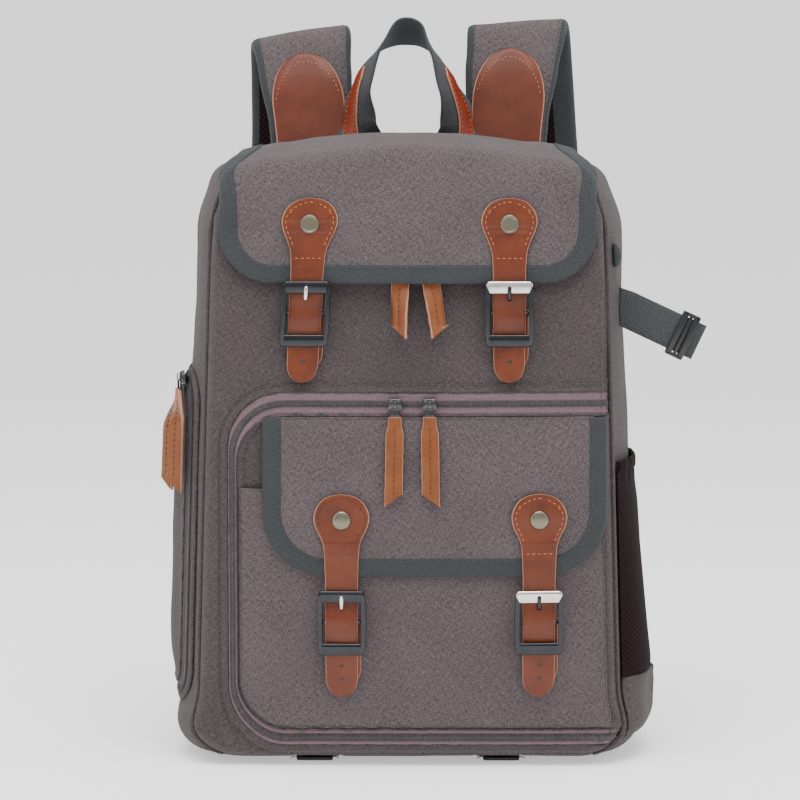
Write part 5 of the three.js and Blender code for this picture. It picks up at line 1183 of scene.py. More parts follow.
stations = []
side = [((p_middle - p_half, z), (p_middle - p_half + BINDING_WIDTH, z))
        for z in np.linspace(P_FLAP_TOP, P_FLAP_EDGE + P_CORNER, 40)[:-1]]
for sign, angles in ((-1, np.linspace(0, math.pi / 2, 34)), (1, np.linspace(math.pi / 2, 0, 34))):
    arc_part = []
    for a in angles:
        at = lambda r: (p_middle + sign * (p_half - P_CORNER + r * math.cos(a)),
                        P_FLAP_EDGE + P_CORNER - r * math.sin(a))
        arc_part.append((at(P_CORNER), at(P_CORNER - BINDING_WIDTH)))
    if sign < 0:
        stations = side + arc_part
        for part in np.linspace(-1, 1, 70)[1:-1]:
            bx = p_middle + part * (p_half - P_CORNER)
            stations.append(((bx, P_FLAP_EDGE), (bx, P_FLAP_EDGE + BINDING_WIDTH)))
    else:
        stations += arc_part
stations += [((2 * p_middle - o[0], o[1]), (2 * p_middle - i[0], i[1])) for o, i in side[::-1]]
pocket_binding, p_outer, p_inner = bound_edge("pocket flap binding", stations, on_pocket_flap, 1.7, binding,
                                              -0.3)
keep(pocket_binding, "pocket_flap_binding")
stitches([binding_stitch(p_outer, p_inner, on_pocket_flap, 0.87, 3.3)], "pocket binding stitches",
         slate_thread, 2.6, 1.6, 0.32)


def front_line(points, height):
    points = np.asarray(points, float)
    fine = resample(np.c_[points, np.zeros(len(points))], np.arange(0, path_lengths(points)[-1], 2.0))[:, :2]
    return on_front(fine[:, 0], fine[:, 1], height(fine[:, 0], fine[:, 1])), np.tile([0, -1.0, 0], (len(fine), 1))


pouch_hem = np.stack([np.linspace(PATCH_LEFT + 4, 134, 60), np.full(60, PATCH_TOP - 9)], -1)
stitches([front_line(door_path(DOOR, -5.2)[:, :2], lambda x, z: 0 * x + 0.2),
          front_line(door_path(DOOR_IN, 5.0)[:, :2], lambda x, z: 0 * x + 0.2),
          front_line(pouch_hem, lambda x, z: patch_stand(x, z) + patch_give(x, z) + 1.7)],
         "door stitches", grey_thread, 2.8, 1.4, 0.34)
print("patch pocket and flap made")

# %% [markdown]
# Each closure is two pieces of leather and a buckle. The strap is cut with a round paddle that is riveted and
# stitched to the flap, runs down through the buckle over its centre bar, and ends in a round tip. A short tab
# on the bag holds the buckle. The cut edges stay raw, so they are a finish of their own.

# %% Leather strips over the front
def flap_outer(x, z):
    run = np.where(z > TURN_Z, 0.95, 1 + share(z, TURN_Z, FLAP_EDGE))
    return flap_clearance(run, x) + flap_give(x, run) + 3.0


def upper_ground(x, z):
    return np.where(z > FLAP_EDGE - 1, flap_outer(x, z), 0)


def lower_ground(x, z):
    high = pocket_flap_clearance(x, z) + pocket_flap_give(x, z) + 2.9
    return np.where(z > P_FLAP_EDGE - 1, high, patch_stand(x, z) + patch_give(x, z) + 2.0)


# The bars entry says where a painted reflection goes: on the prong of the dark buckles, on the top bar of the
# others.
CLOSURES = [dict(name="upper_left", x=-67.0, lean=3.0, upper=True, bars="dark"),
            dict(name="upper_right", x=70.0, lean=0.0, upper=True, bars="painted_bright_top_bar"),
            dict(name="lower_left", x=-46.0, lean=0.0, upper=False, bars="dark"),
            dict(name="lower_right", x=91.0, lean=0.0, upper=False, bars="painted_bright_top_bar")]
PADDLE = [(0, 0.0), (0.012, 0.26), (0.03, 0.42), (0.06, 0.57), (0.1, 0.7), (0.16, 0.82), (0.22, 0.9),
          (0.3, 0.97),
          (0.38, 1), (0.46, 0.98), (0.56, 0.91), (0.68, 0.79), (0.8, 0.69), (0.9, 0.64), (1.0, 0.62),
          (1.12, 0.6)]
TIP = [(1.25, 1), (1.0, 0.985), (0.75, 0.94), (0.5, 0.83), (0.3, 0.68), (0.14, 0.49), (0.05, 0.3), (0.0, 0.0)]


def leather_piece(name, rows, thickness, top_at, finish):
    """A strip of leather from rows (x, half width, z): a little crowned, with raw edges."""
    profile = [(-1.0, -0.5), (-1.0, 0.25), (-0.965, 0.8), (-0.9, 1.0), (-0.6, 1.06), (-0.3, 1.1), (0, 1.12),
               (0.3, 1.1), (0.6, 1.06),
               (0.9, 1.0), (0.965, 0.8), (1.0, 0.25), (1.0, -0.5), (0.95, -1.0), (0.5, -1.0), (0, -1.0),
               (-0.5, -1.0), (-0.95, -1.0)]
    slots = [1, 1, 0, 0, 0, 0, 0, 0, 0, 0, 1, 1, 1, 0, 0, 0, 0, 0]
    x, half, z = (rows[:, k] for k in range(3))
    half = np.maximum(half, 0.6)
    sections, uv = [], []
    low = top_at(x, z)
    for part, up in profile:
        spot = x + half * part
        height = low + thickness * (1 + up) / 2
        sections.append(on_front(spot, z, height))
        uv.append(np.stack([spot, z + (200 if up < 0 else 0)], -1))
    return section_loft(name, np.stack(sections, 1), finish, slots_of=slots, finishes=[finish, raw_edge],
                        uv=np.stack(uv, 1))


def rows_between(pairs, steps):
    """Rows (z, half) filled in evenly, from the top down."""
    pairs = np.array(sorted(pairs, key=lambda p: -p[0]))
    z = np.unique(np.concatenate([pairs[:, 0], np.linspace(pairs[0, 0], pairs[-1, 0], steps)]))[::-1]
    return z, np.interp(-z, -pairs[:, 0], pairs[:, 1])


# %% [markdown]
# A centre-bar buckle is cast in one piece: two broad bars joined by thin rails that bow outwards, a plain bar
# across the middle, and a prong that turns on it. The bars are rounded, so each shows one long white line.

# %% Buckle
def buckle_frame(name, place, lift, low, high, bars):
    w, bar, rail, thick = 16.2, 8.6, 3.0, 2.8
    stations = []
    r = 2.6
    inner_w = w - rail
    low_in, high_in = low + bar, high - bar
    outer_corners = np.array([(w, low), (w, high), (-w, high), (-w, low)])
    inner_corners = np.array([(inner_w, low_in), (inner_w, high_in), (-inner_w, high_in), (-inner_w, low_in)])
    forward = [np.array(way) * r for way in ((1.0, 0.0), (0.0, 1.0), (-1.0, 0.0), (0.0, -1.0))]
    for k, (kind, bend_kind, steps) in enumerate(((0, 0, 22), (1, 2, 26), (2, 2, 22), (1, 0, 26))):
        start, end = outer_corners[k - 1] + forward[k], outer_corners[k] - forward[k]
        for part in np.linspace(0, 1, steps)[:-1]:
            stations.append((mix(start, end, part), mix(inner_corners[k - 1], inner_corners[k], part), kind))
        centre = end + forward[(k + 1) % 4]
        for a in np.linspace((k - 1) * math.pi / 2, k * math.pi / 2, 7)[:-1]:
            stations.append((centre + r * np.array([math.cos(a), math.sin(a)]), inner_corners[k], bend_kind))
    profile = [(0.0, 0.0), (0.02, 0.5), (0.1, 0.84), (0.28, 1.0), (0.5, 1.06), (0.72, 1.0), (0.9, 0.84),
               (0.98, 0.5),
               (1.0, 0.0), (0.98, -0.5), (0.9, -0.85), (0.5, -0.95), (0.1, -0.85), (0.02, -0.5)]
    outer = np.array([s[0] for s in stations])
    inner = np.array([s[1] for s in stations])
    kinds = np.array([s[2] for s in stations])
    bow = 0.9 * np.maximum(0, 1 - ((outer[:, 1] - (low + high) / 2) / ((high - low) / 2)) ** 2)
    outer[:, 0] += np.where(kinds == 1, np.sign(outer[:, 0]) * bow, 0)
    sections = []
    for part, up in profile:
        spot = mix(outer, inner, part)
        height = lift(spot[:, 1]) + thick * (1 + up) / 2 + 0.5 * bow
        sections.append(place(spot[:, 0], spot[:, 1], height))
    piece = section_loft(name, np.stack(sections, 1), buckle_metal, ring=True,
                         finishes=[buckle_metal, painted_reflection_metal])
    # These buckles' top bar takes the bright zinc: a painted reflection of the studio's light mirrored in it.
    if bars == "painted_bright_top_bar":
        slots = np.repeat((kinds == 2).astype(int), len(profile))
        piece.data.polygons.foreach_set("material_index", slots.astype(np.int32))
    return piece


def rod(sections_at, radius_w, radius_h, place, count=10):
    """Sections of a rounded rod through (x, z, height) stations, lying along the bag's face."""
    sections = []
    for angle in np.arange(count) * 2 * math.pi / count:
        sections.append([place(x + a * radius_w * math.cos(angle), z + b * radius_w * math.cos(angle),
                               h + radius_h * math.sin(angle)) for x, z, h, a, b in sections_at])
    return np.stack(sections, 1)


def merge(name, pieces):
    """Joins meshes into one piece with the first one's name."""
    for piece in pieces:
        piece.select_set(True)
    bpy.context.view_layer.objects.active = pieces[0]
    with bpy.context.temp_override(active_object=pieces[0], selected_editable_objects=pieces):
        bpy.ops.object.join()
    pieces[0].name = name.replace(" ", "_")
    for o in bpy.context.scene.objects:
        o.select_set(False)
    return pieces[0]


def lathe(name, profile, place, outward, finish, count=32):
    """A turned piece: profile of (radius, height), standing at place along outward."""
    outward = np.asarray(outward, float) / np.linalg.norm(outward)
    side = np.cross(outward, [0, 0, 1.0])
    side /= np.linalg.norm(side)
    up = np.cross(side, outward)
    corners, faces, uv = [], [], []
    for r, h in profile:
        for angle in np.arange(count) * 2 * math.pi / count:
            corners.append(np.asarray(place) + outward * h
                           + (side * math.cos(angle) + up * math.sin(angle)) * r)
            uv.append((r * math.cos(angle), r * math.sin(angle)))
    for i in range(len(profile) - 1):
        for j in range(count):
            k = (j + 1) % count
            faces.append([i * count + j, i * count + k, (i + 1) * count + k, (i + 1) * count + j])
    for i, r in ((0, range(count)), (len(profile) - 1, range(count))):
        faces.append([i * count + j for j in (r if i else reversed(r))])
    piece = make_mesh(name, corners, faces, uv, [finish])
    fix_facing(piece)
    return piece


# %% [markdown]
# One closure is laid out from the flap's edge: the paddle above it, the buckle below, the tail on the bag.
# The strap rises over the centre bar and the tab, which is what makes it look threaded and not painted on.

# %% Closures
paddle_threads = []
for closure in CLOSURES:
    upper, name = closure["upper"], closure["name"]
    flap_end = FLAP_EDGE if upper else P_FLAP_EDGE
    ground = upper_ground if upper else lower_ground
    top = flap_end + (59 if upper else 58)
    tip = top - (127.5 if upper else 143)
    high = top - (57 if upper else 67)
    low = high - 45.6
    low_in, high_in, middle = low + 8.6, high - 8.6, (low + high) / 2
    x_at = lambda z, c=closure, t=top: c["x"] - math.tan(math.radians(c["lean"])) * (t - z)
    flat = lambda z: ground(x_at(z), z) + 0.4
    over_tab = lambda z: flat(z) + 2.0 + 0.4
    over_bar = float(over_tab(middle)) + 2.6 + 0.5
    held = max(float(flat(flap_end)), 0 if upper else float(over_tab(high)))

    def strap_height(z):
        hanging = np.where(z >= middle, mix(over_bar, held, eased(z, middle + 1, high_in)),
                           mix(over_tab(z), over_bar, eased(z, low_in - 3, middle - 1)))
        return np.where(z >= flap_end, flat(z), np.where(z >= high_in, held, hanging))

    pairs = [(top - down * 42, wide * 19.5) for down, wide in PADDLE] + [(tip + up * 11, wide * 11) for up,
                                                                         wide in TIP]
    pairs = [(z, max(half, 11) if tip + 14 < z < top - 40 else half) for z, half in pairs]
    z, half = rows_between(pairs, 120)
    half = half + 0.25 * soft_noise(z / 9, 0, 71)
    strap_rows = np.stack([x_at(z), half, z], -1)
    smooth_low = strap_height(z)
    kernel = np.exp(-np.linspace(-2, 2, 9) ** 2)
    padded_low = np.pad(smooth_low, 4, mode="edge")
    smooth_low = np.maximum(np.convolve(padded_low, kernel / kernel.sum(), "valid"), smooth_low - 0.25)
    strap = leather_piece("closure strap " + name, strap_rows, 2.2, lambda x, zz, s=smooth_low: s, leather)
    keep(strap, "closure_strap_" + name)

    tab_tip = tip + 8
    pairs = [(middle + 2.6, 10.5), (low, 10.5)] + [(tab_tip + up * 10.5, wide * 10.5) for up, wide in TIP]
    tz, thalf = rows_between(pairs, 40)
    tab = leather_piece("closure tab " + name, np.stack([x_at(tz) + 3, thalf, tz], -1), 2.0,
                        lambda x, zz: ground(x - 3, zz) + 0.4, leather)
    keep(tab, "closure_tab_" + name)

    across = x_at(middle)
    slope_x = float(front_face(across + 10, middle) - front_face(across - 10, middle)) / 20
    slope_z = float(front_face(across, middle + 20) - front_face(across, middle - 20)) / 40
    base_y = float(front_face(across, middle))

    def laid(x0, z0, height):
        x0, z0, height = np.broadcast_arrays(np.asarray(x0, float), np.asarray(z0, float), height)
        return np.stack([x0, base_y + slope_x * (x0 - across) + slope_z * (z0 - middle) - height, z0], -1)

    low_lift = float(over_tab(low)) + 2.2 + 0.9
    high_lift = float(strap_height(np.array(high_in))) + 2.2 + 0.9
    lift_at = lambda zz: mix(low_lift, high_lift, (zz - low) / (high_in - low))
    frame_piece = buckle_frame("closure buckle " + name, lambda x, zz, h: laid(x + x_at(zz), zz, h),
                               lift_at, low, high, closure["bars"])
    bar_height = float(over_tab(middle)) + 1.3
    bar = rod([(x_at(middle) + d, middle, bar_height, 0, 1) for d in np.linspace(-15, 15, 12)], 1.35, 1.3,
              laid)
    parts = [frame_piece, section_loft("bar", bar, buckle_metal)]
    for sign in (-1, 1):
        stub = []
        for h in np.linspace(bar_height, float(lift_at(middle)) + 1.2, 4):
            ring = [(x_at(middle) + sign * 14.7 + 1.5 * math.cos(a),
                     middle + 2.5 * math.sin(a)) for a in np.arange(12) * math.pi / 6]
            stub.append([laid(px, pz, h) for px, pz in ring])
        parts.append(section_loft("stub", np.array(stub), buckle_metal))
    rise_from = high_in - 6.4
    prong_way = [(middle, bar_height), (middle + 5, bar_height - 0.6)]
    prong_way += [(rise_from, float(strap_height(np.array(rise_from))) - 1.6),
                  (high_in - 4.6, float(lift_at(high_in)) + 0.6),
                  (high_in - 2.2, float(lift_at(high_in)) + 2.2),
                  (high_in + 0.8, float(lift_at(high_in)) + 3.3),
                  (high_in + 3.6, float(lift_at(high_in)) + 3.6),
                  (high_in + 5.2, float(lift_at(high_in)) + 3.3)]
    way = np.array(prong_way)
    fine = np.linspace(0, len(way) - 1, 26)
    pz, ph = np.interp(fine, np.arange(len(way)), way[:, 0]), np.interp(fine, np.arange(len(way)), way[:, 1])
    taper = np.clip((len(way) - 1 - fine) * 1.6 + 0.55, 0, 1)
    prong = rod([(x_at(a), a, b, 1, 0) for a, b in zip(pz, ph)], 1.35, 0.95, laid)
    centre = prong.mean(1, keepdims=True)
    prong = centre + (prong - centre) * taper[:, None, None]
    # On the dark buckles the prong takes the bright zinc instead: a painted reflection.
    parts.append(section_loft("prong", prong, painted_reflection_metal if closure["bars"] == "dark" else buckle_metal))
    buckle = merge("closure_buckle_" + name + "_piece", parts)
    keep(buckle, "closure_buckle_" + name)

    rivet_z = top - 18
    rivet_x = x_at(rivet_z)
    seat = float(strap_height(np.array(rivet_z))) + 2.35
    spot = on_front(rivet_x, rivet_z, seat)
    out = (on_front(rivet_x + 7, rivet_z, seat)[1] - on_front(rivet_x - 7, rivet_z, seat)[1]) / 14
    tilt = (on_front(rivet_x, rivet_z + 7, float(strap_height(np.array(rivet_z + 7))))[1]
            - on_front(rivet_x, rivet_z - 7, float(strap_height(np.array(rivet_z - 7))))[1]) / 14
    if upper:
        cap = [(6.3, -0.4), (6.5, 0.2), (6.5, 0.9), (6.3, 1.35), (5.9, 1.55), (5.4, 1.5), (5.1, 1.25),
               (4.0, 1.3), (2.0, 1.34), (0.05, 1.35)]
    else:
        cap = [(6.3, -0.4), (6.5, 0.2), (6.4, 0.7), (6.0, 1.15), (5.2, 1.55), (4.0, 1.9), (2.6, 2.12),
               (1.2, 2.2), (0.05, 2.22)]
    rivet = lathe("closure rivet " + name, cap, spot, (out, -1, tilt), rivet_metal)
    keep(rivet, "closure_rivet_" + name)

    line = []
    for down, wide in PADDLE[2:-3]:
        line.append((top - down * 42 - (2.6 if down < 0.2 else 0), max(wide * 19.5 - 3.0, 2)))
    line_z, line_half = rows_between(line, 40)
    for sign in (-1, 1):
        px = x_at(line_z) + sign * line_half
        height = strap_height(line_z) + 2.35
        paddle_threads.append((on_front(px, line_z, height), np.tile([0, -1.0, 0.2], (len(px), 1)), name))
    arc = np.linspace(-line_half[0], line_half[0], 9)
    arc_z = line_z[0] + 0.9 * (1 - (arc / max(line_half[0], 1)) ** 2)
    paddle_threads.append((on_front(x_at(arc_z) + arc, arc_z, strap_height(arc_z) + 2.35),
                           np.tile([0, -1.0, 0.3], (9, 1)), name))
    cross_z = np.full(12, top - 41.5)
    cross_x = x_at(cross_z) + np.linspace(-9.5, 9.5, 12)
    paddle_threads.append((on_front(cross_x, cross_z, strap_height(cross_z) + 2.35),
                           np.tile([0, -1.0, 0], (12, 1)), name))
    for step in range(1, 4):
        hole_z = low - 1 - 9.5 * step if upper else low + 2 - 9.5 * step
        if hole_z < tip + 8:
            continue
        h = float(strap_height(np.array(hole_z))) + 2.25
        # Each strap hole is a thin black disc on the leather: painted shade standing in for the punched hole.
        ring = lathe("strap hole " + name + str(step), [(1.5, 0.0), (1.5, 0.14), (0.05, 0.15)],
                     on_front(x_at(hole_z), hole_z, h), (0, -1, 0), black_nylon, 14)
        keep(ring)
    print("closure", name, "from z", round(top), "to", round(tip), "mm")

light_lines = [(p, n) for p, n, name in paddle_threads if name != "lower_left"]
dark_lines = [(p, n) for p, n, name in paddle_threads if name == "lower_left"]
stitches(light_lines, "paddle stitches light", light_thread, 2.4, 1.5, 0.34, 0.1)
stitches(dark_lines, "paddle stitches dark", brown_thread, 2.0, 1.9, 0.34, 0.1)

# %% [markdown]
# The sliders are cast zinc: a wedge-shaped body that rides on the coil, a small bridge on top and a tag. A
# folded strip of lighter leather is threaded through each tag, stitched down its middle and cut to a point.

# %% Sliders and pulls
def soft_box(low, high, bevel=0.4):
    """A block with rounded edges, in the piece's own axes."""
    low, high = np.asarray(low, float), np.asarray(high, float)
    sections = []
    for z, inset in ((low[2], bevel), (low[2] + bevel * 0.3, bevel * 0.3), (low[2] + bevel, 0),
                     (high[2] - bevel, 0),
                     (high[2] - bevel * 0.3, bevel * 0.3), (high[2], bevel)):
        ring = []
        for cx, cy, a0 in ((1, 1, 0), (-1, 1, 90), (-1, -1, 180), (1, -1, 270)):
            for a in (0, 30, 60, 90):
                angle = math.radians(a0 + a)
                x0 = high[0] - bevel if cx > 0 else low[0] + bevel
                y0 = high[1] - bevel if cy > 0 else low[1] + bevel
                r = bevel - inset
                ring.append((x0 + r * math.cos(angle), y0 + r * math.sin(angle), z))
        sections.append(ring)
    return np.array(sections)


def slider_parts(width=8.0, length=11.0):
    """Sections of the slider's body, bridge and tag: x across, y outwards negative, z up."""
    body = soft_box((-length / 2, -3.0, -width / 2), (length / 2, 0, width / 2), 0.9)
    taper = 1 - 0.22 * np.clip((body[..., 2] + width / 2) / width, 0, 1)
    body[..., 0] *= taper
    groove = soft_box((-length / 2 + 1.3, -3.3, -width / 2 + 0.8), (length / 2 - 1.8, -2.4, width / 2 - 1.2),
                      0.5)
    arch = []
    for a in np.linspace(0, math.pi, 12):
        arch.append([(px, -2.9 - 1.9 * math.sin(a) - ph, -0.2 - 3.1 * math.cos(a))
                     for px, ph in ((-1.3, 0), (1.3, 0), (1.3, 0.7), (-1.3, 0.7))])
    tag = soft_box((-3.4, -4.9, -width / 2 - 9.0), (3.4, -3.8, -width / 2 + 1.4), 0.5)
    return [body, groove, np.array(arch), tag]


def add_slider(name, placed, node):
    parts = [section_loft("slider part", placed(section), slider_metal) for section in slider_parts()]
    return keep(merge(name, parts), node)


def front_placed(x, z, height):
    spot = on_front(x, z, height)
    return lambda s: s + spot


PULL_SECTION = [(-1, 0), (-1, 0.55), (-0.93, 0.95), (-0.6, 1.08), (-0.08, 1.1), (0, 0.98), (0.08, 1.1),
                (0.6, 1.08),
                (0.93, 0.95), (1, 0.55), (1, 0), (1, -0.55), (0.93, -0.95), (0.5, -1), (0, -1), (-0.5, -1),
                (-0.93, -0.95), (-1, -0.55)]


def leather_pull(name, middle, across, out_dir, half, part, pointed, u_from):
    """A folded strip with raw edges along its middle line, cut to a point on one side at its end."""
    sections, uv = [], []
    for u, v in PULL_SECTION:
        place = middle + across * (u * half)[:, None] + out_dir * (v * 1.4)
        place[:, 2] += 9.0 * share(part, 0.86, 1.0) * (0.5 - 0.5 * u * pointed)
        sections.append(place)
        uv.append(np.stack([u_from + u * half, middle[:, 2] + 3 * v], -1))
    pull = section_loft("zip pull " + name, np.stack(sections, 1), pull_leather, uv=np.stack(uv, 1),
                        slots_of=[1, 1, 0, 0, 0, 0, 0, 0, 1, 1, 1, 1, 0, 0, 0, 0, 1, 1],
                        finishes=[pull_leather, raw_edge])
    keep(pull, "zip_pull_" + name)


pull_threads = []
PULLS = [("door_left", -9, True, 1, -1, 0, -1), ("door_right", 15, True, 1, 1, 0, 1),
         ("main_left", -5, False, 0, -1, 38, 1), ("main_right", 12, False, 0, 10, -28, -1)]
for name, px, door_one, off, drift, twist, pointed in PULLS:
    zip_at = 256.5 if door_one else 373.0
    add_slider("zip slider " + name, front_placed(px, zip_at, 1.3), "zip_slider_" + name)
    start = zip_at - 4 - 9 - 0.3 + 5.0
    part = np.linspace(0, 1, 48)
    z = start - part * 62.0
    if door_one:
        lying = lambda zz: (pocket_flap_clearance(px, np.maximum(zz, P_FLAP_EDGE))
                            + pocket_flap_give(px, np.maximum(zz, P_FLAP_EDGE)) + 3.2)
    else:
        lying = lambda zz: 0 * zz
    from_tag = 1.3 + 3.0 + 1.8 - 1.2 - 0.4
    low = mix(from_tag, np.maximum(from_tag, lying(z)) + off, eased(part, 0, 0.25))
    low = low + 0.6 * np.sin(part * 5) * (1 if off else 0.4)
    x = px + drift * part
    turn = np.radians(twist * eased(part, 0.32, 0.75))
    half = 6.2 * mix(0.72, 1, share(part, 0.06, 0.2)) + 0.12 * np.sin(part * 40)
    base = on_front(x, z, low + 1.4 + np.abs(np.sin(turn)) * half)
    across = np.stack([np.cos(turn), -np.sin(turn), 0 * turn], -1)
    out_dir = np.stack([-np.sin(turn), -np.cos(turn), 0 * turn], -1)
    leather_pull(name, base, across, out_dir, half, part, pointed, x)
    pull_threads.append(((base + out_dir * 1.45)[5:42], out_dir[5:42]))
stitches(pull_threads, "pull stitches", brown_thread, 2.6, 1.4, 0.36, 0.05)
print("four front pulls made")

# %% [markdown]
# The left side has a bulging access panel with a zip all round it, which bows outwards where the padding
# inside presses. Two sliders meet at its top front corner, with their pulls hanging over its front edge.

# %% Side panel
S_TOP, S_BOTTOM, S_FRONT, S_BACK, S_R, S_ZIP, S_RISE = 277.0, 40.0, -60.0, 52.0, 26.0, 13.0, 3.4
MID_Y, MID_Z = (S_FRONT + S_BACK) / 2, (S_BOTTOM + S_TOP) / 2
HALF_Y, HALF_Z = (S_BACK - S_FRONT) / 2, (S_TOP - S_BOTTOM) / 2


def rounded_ring(inset, arc=16, long=70, short=30):
    radius = S_R - inset
    y, z = HALF_Y - S_R, HALF_Z - S_R
    points = []
    for sy, sz, a0 in ((1, 1, 0), (-1, 1, 90), (-1, -1, 180), (1, -1, 270)):
        for a in np.linspace(0, 90, arc):
            angle = math.radians(a0 + a)
            points.append((MID_Y + sy * y + radius * math.cos(angle),
                           MID_Z + sz * z + radius * math.sin(angle)))
        steps = short if sy == sz else long
        end = {(1, 1): (-1, 1), (-1, 1): (-1, -1), (-1, -1): (1, -1), (1, -1): (1, 1)}[(sy, sz)]
        a_next = math.radians(a0 + 90)
        start = np.array(points[-1])
        stop = np.array([MID_Y + end[0] * y + radius * math.cos(a_next),
                         MID_Z + end[1] * z + radius * math.sin(a_next)])
        for part in np.linspace(0, 1, steps)[1:-1]:
            points.append(tuple(mix(start, stop, part)))
    return np.array(points)


def side_height(y, z):
    hy, hz = HALF_Y - S_ZIP, HALF_Z - S_ZIP
    fy, fz = np.abs(y - MID_Y), np.abs(z - MID_Z)
    from_edge = np.minimum(hz - fz, hy - fy)
    dome = 3 * np.maximum(0, 1 - (fy / hy) ** 2) * (1 - np.minimum(1, fz / hz) ** 4)
    soft = 0.9 * soft_noise(y / 22, z / 45, 81) + 0.5 * soft_noise(y / 11, z / 20, 82)
    return 0.4 + S_RISE + eased(from_edge, -2, 22) * 2.4 + np.maximum(0, dome) + soft * eased(from_edge, 0, 16)


outer, inner = rounded_ring(0), rounded_ring(S_ZIP)
band = []
for part in np.linspace(0, 1, 19):
    spot = mix(outer, inner, part)
    lines = 0.6 * (np.exp(-((part - 0.12) * 13 / 0.8) ** 2) + np.exp(-((part - 0.9) * 13 / 0.8) ** 2))
    band.append(on_side(-1, spot[:, 0], spot[:, 1], 0.4 + part * S_RISE + 1.4 + lines))
under_band = [on_side(-1, *mix(outer, inner, part).T, 0.4 + part * S_RISE) for part in (1.0, 0.5, 0.0)]
sections = np.stack(band + under_band, 1)
ring_along = path_lengths(outer)
widths = list(np.linspace(0, 13, 19)) + [13, 6, 0]
tape_uv = np.stack([np.stack([np.full(len(outer), w), ring_along], -1) for w in widths], 1)
side_tape = section_loft("side zip tape", sections, canvas, ring=True, uv=tape_uv)
keep(side_tape, "side_zip")
coil_line = mix(outer, inner, 0.52)
coil("side zip coil", np.concatenate([coil_line, coil_line[:1]]), lambda y, z,
     h: on_side(-1, y, z, 0.4 + 0.52 * S_RISE + 1.4 + h),
     lambda y, z: np.tile([-1.0, 0, 0], (len(y), 1)), zip_coil)

rows = np.concatenate([np.linspace(-1, -0.96, 6), np.linspace(-0.96, 0.96, 76)[1:-1],
                       np.linspace(0.96, 1, 6)])
hy, hz, radius = HALF_Y - S_ZIP + 0.3, HALF_Z - S_ZIP + 0.3, S_R - S_ZIP
into = np.maximum(0, np.abs(rows) * hz - (hz - radius))
row_half = hy - radius + np.sqrt(np.maximum(0, radius ** 2 - into ** 2))
columns = np.concatenate([np.linspace(-1, -0.93, 5), np.linspace(-0.93, 0.93, 36)[1:-1],
                          np.linspace(0.93, 1, 5)])
panel_y = MID_Y + row_half[:, None] * columns[None, :]
panel_z = np.repeat((MID_Z + rows * hz)[:, None], len(columns), 1)
from_edge = np.minimum((row_half[:, None] - np.abs(panel_y - MID_Y)), hz - np.abs(panel_z - MID_Z))
roll = (0.8 * np.exp(-((from_edge - 1.8) / 2.0) ** 2)
        + 0.3 * np.exp(-from_edge / 5) * np.sin((panel_y + panel_z) / 2.5))
side_grid = on_side(-1, panel_y, panel_z, side_height(panel_y, panel_z) + 2.2 + roll)
side_panel = cloth("side panel", side_grid, 2.0, canvas, (-1, 0, 0), uv=np.stack([panel_y, panel_z], -1),
                   under=lining)
keep(side_panel, "side_panel")

side_threads = []
for name, py in (("side_front", -42.0), ("side_rear", -24.0)):
    z0 = S_TOP - S_ZIP * 0.52
    low0 = 0.4 + 0.52 * S_RISE + 1.4 + 1.8 + 0.2
    spot = on_side(-1, py, z0, low0)

    def turned(section, at=spot):
        return np.stack([at[0] + section[..., 1], at[1] - section[..., 0], at[2] + section[..., 2]], -1)

    add_slider("zip slider " + name, turned, "zip_slider_" + name)
    part = np.linspace(0, 1, 44)
    z = z0 - 4 - 9 - 0.3 + 5 - part * 71
    hang_y = py - 14 * eased(part, 0, 0.3)
    near = np.max([side_height(hang_y + a * 12.4, z) + side_face(hang_y + a * 12.4, z)
                   - side_face(hang_y, z) + 2.2 + 1.2
                   for a in (-0.4, 0, 0.4)], axis=0)
    near = np.convolve(np.pad(near, 7, mode="edge"), np.ones(15) / 15, mode="valid")
    low = mix(low0 + 3.2, np.maximum(low0 + 3.2, near), eased(part, 0, 0.25))
    half = 6.2 * mix(0.72, 1, share(part, 0.06, 0.2))
    swing = math.radians(62 if name == "side_front" else 40) * eased(part, 0.05, 0.4)
    middle = on_side(-1, hang_y, z, low + 1.4 + np.sin(swing) * half)
    out_dir = np.stack([-np.cos(swing), -np.sin(swing), 0 * swing], -1)
    across = np.stack([-np.sin(swing), np.cos(swing), 0 * swing], -1)
    leather_pull(name, middle, across, out_dir, half, part, -1, 0.0)
    side_threads.append(((middle + out_dir * 1.45)[5:38], out_dir[5:38]))
stitches(side_threads, "side pull stitches", brown_thread, 2.6, 1.4, 0.36, 0.05)
print("side panel made")

# %% [markdown]
# The right side has an open-topped pocket of stretch mesh on a canvas base. Its elastic hem draws the mouth
# in, so the mesh stands off most at the bottom, and the canvas base has one upright fold.

# %% Mesh pocket
M_TOP, M_BOTTOM, M_HEM, M_FRONT, M_BACK = 213.0, 22.0, 60.0, -66.0, 60.0


def pocket_hang(z):
    return np.where(z < M_HEM, 12 * rim_rise(share(z, M_BOTTOM, M_HEM)),
                    mix(12.0, 2.0, share(z, M_HEM, M_TOP)))


def pocket_grid(heights, extra, count=70):
    along = np.sin(np.linspace(-1, 1, count) * math.pi / 2)
    along, z = np.meshgrid(along, heights)
    y = mix(M_FRONT, M_BACK, (along + 1) / 2)
    stand = 0.4 + pocket_hang(z) * (1 - np.abs(along) ** 5) + extra(along, z, y) + 2.0
    return on_side(1, y, z, stand), np.stack([y, z], -1)


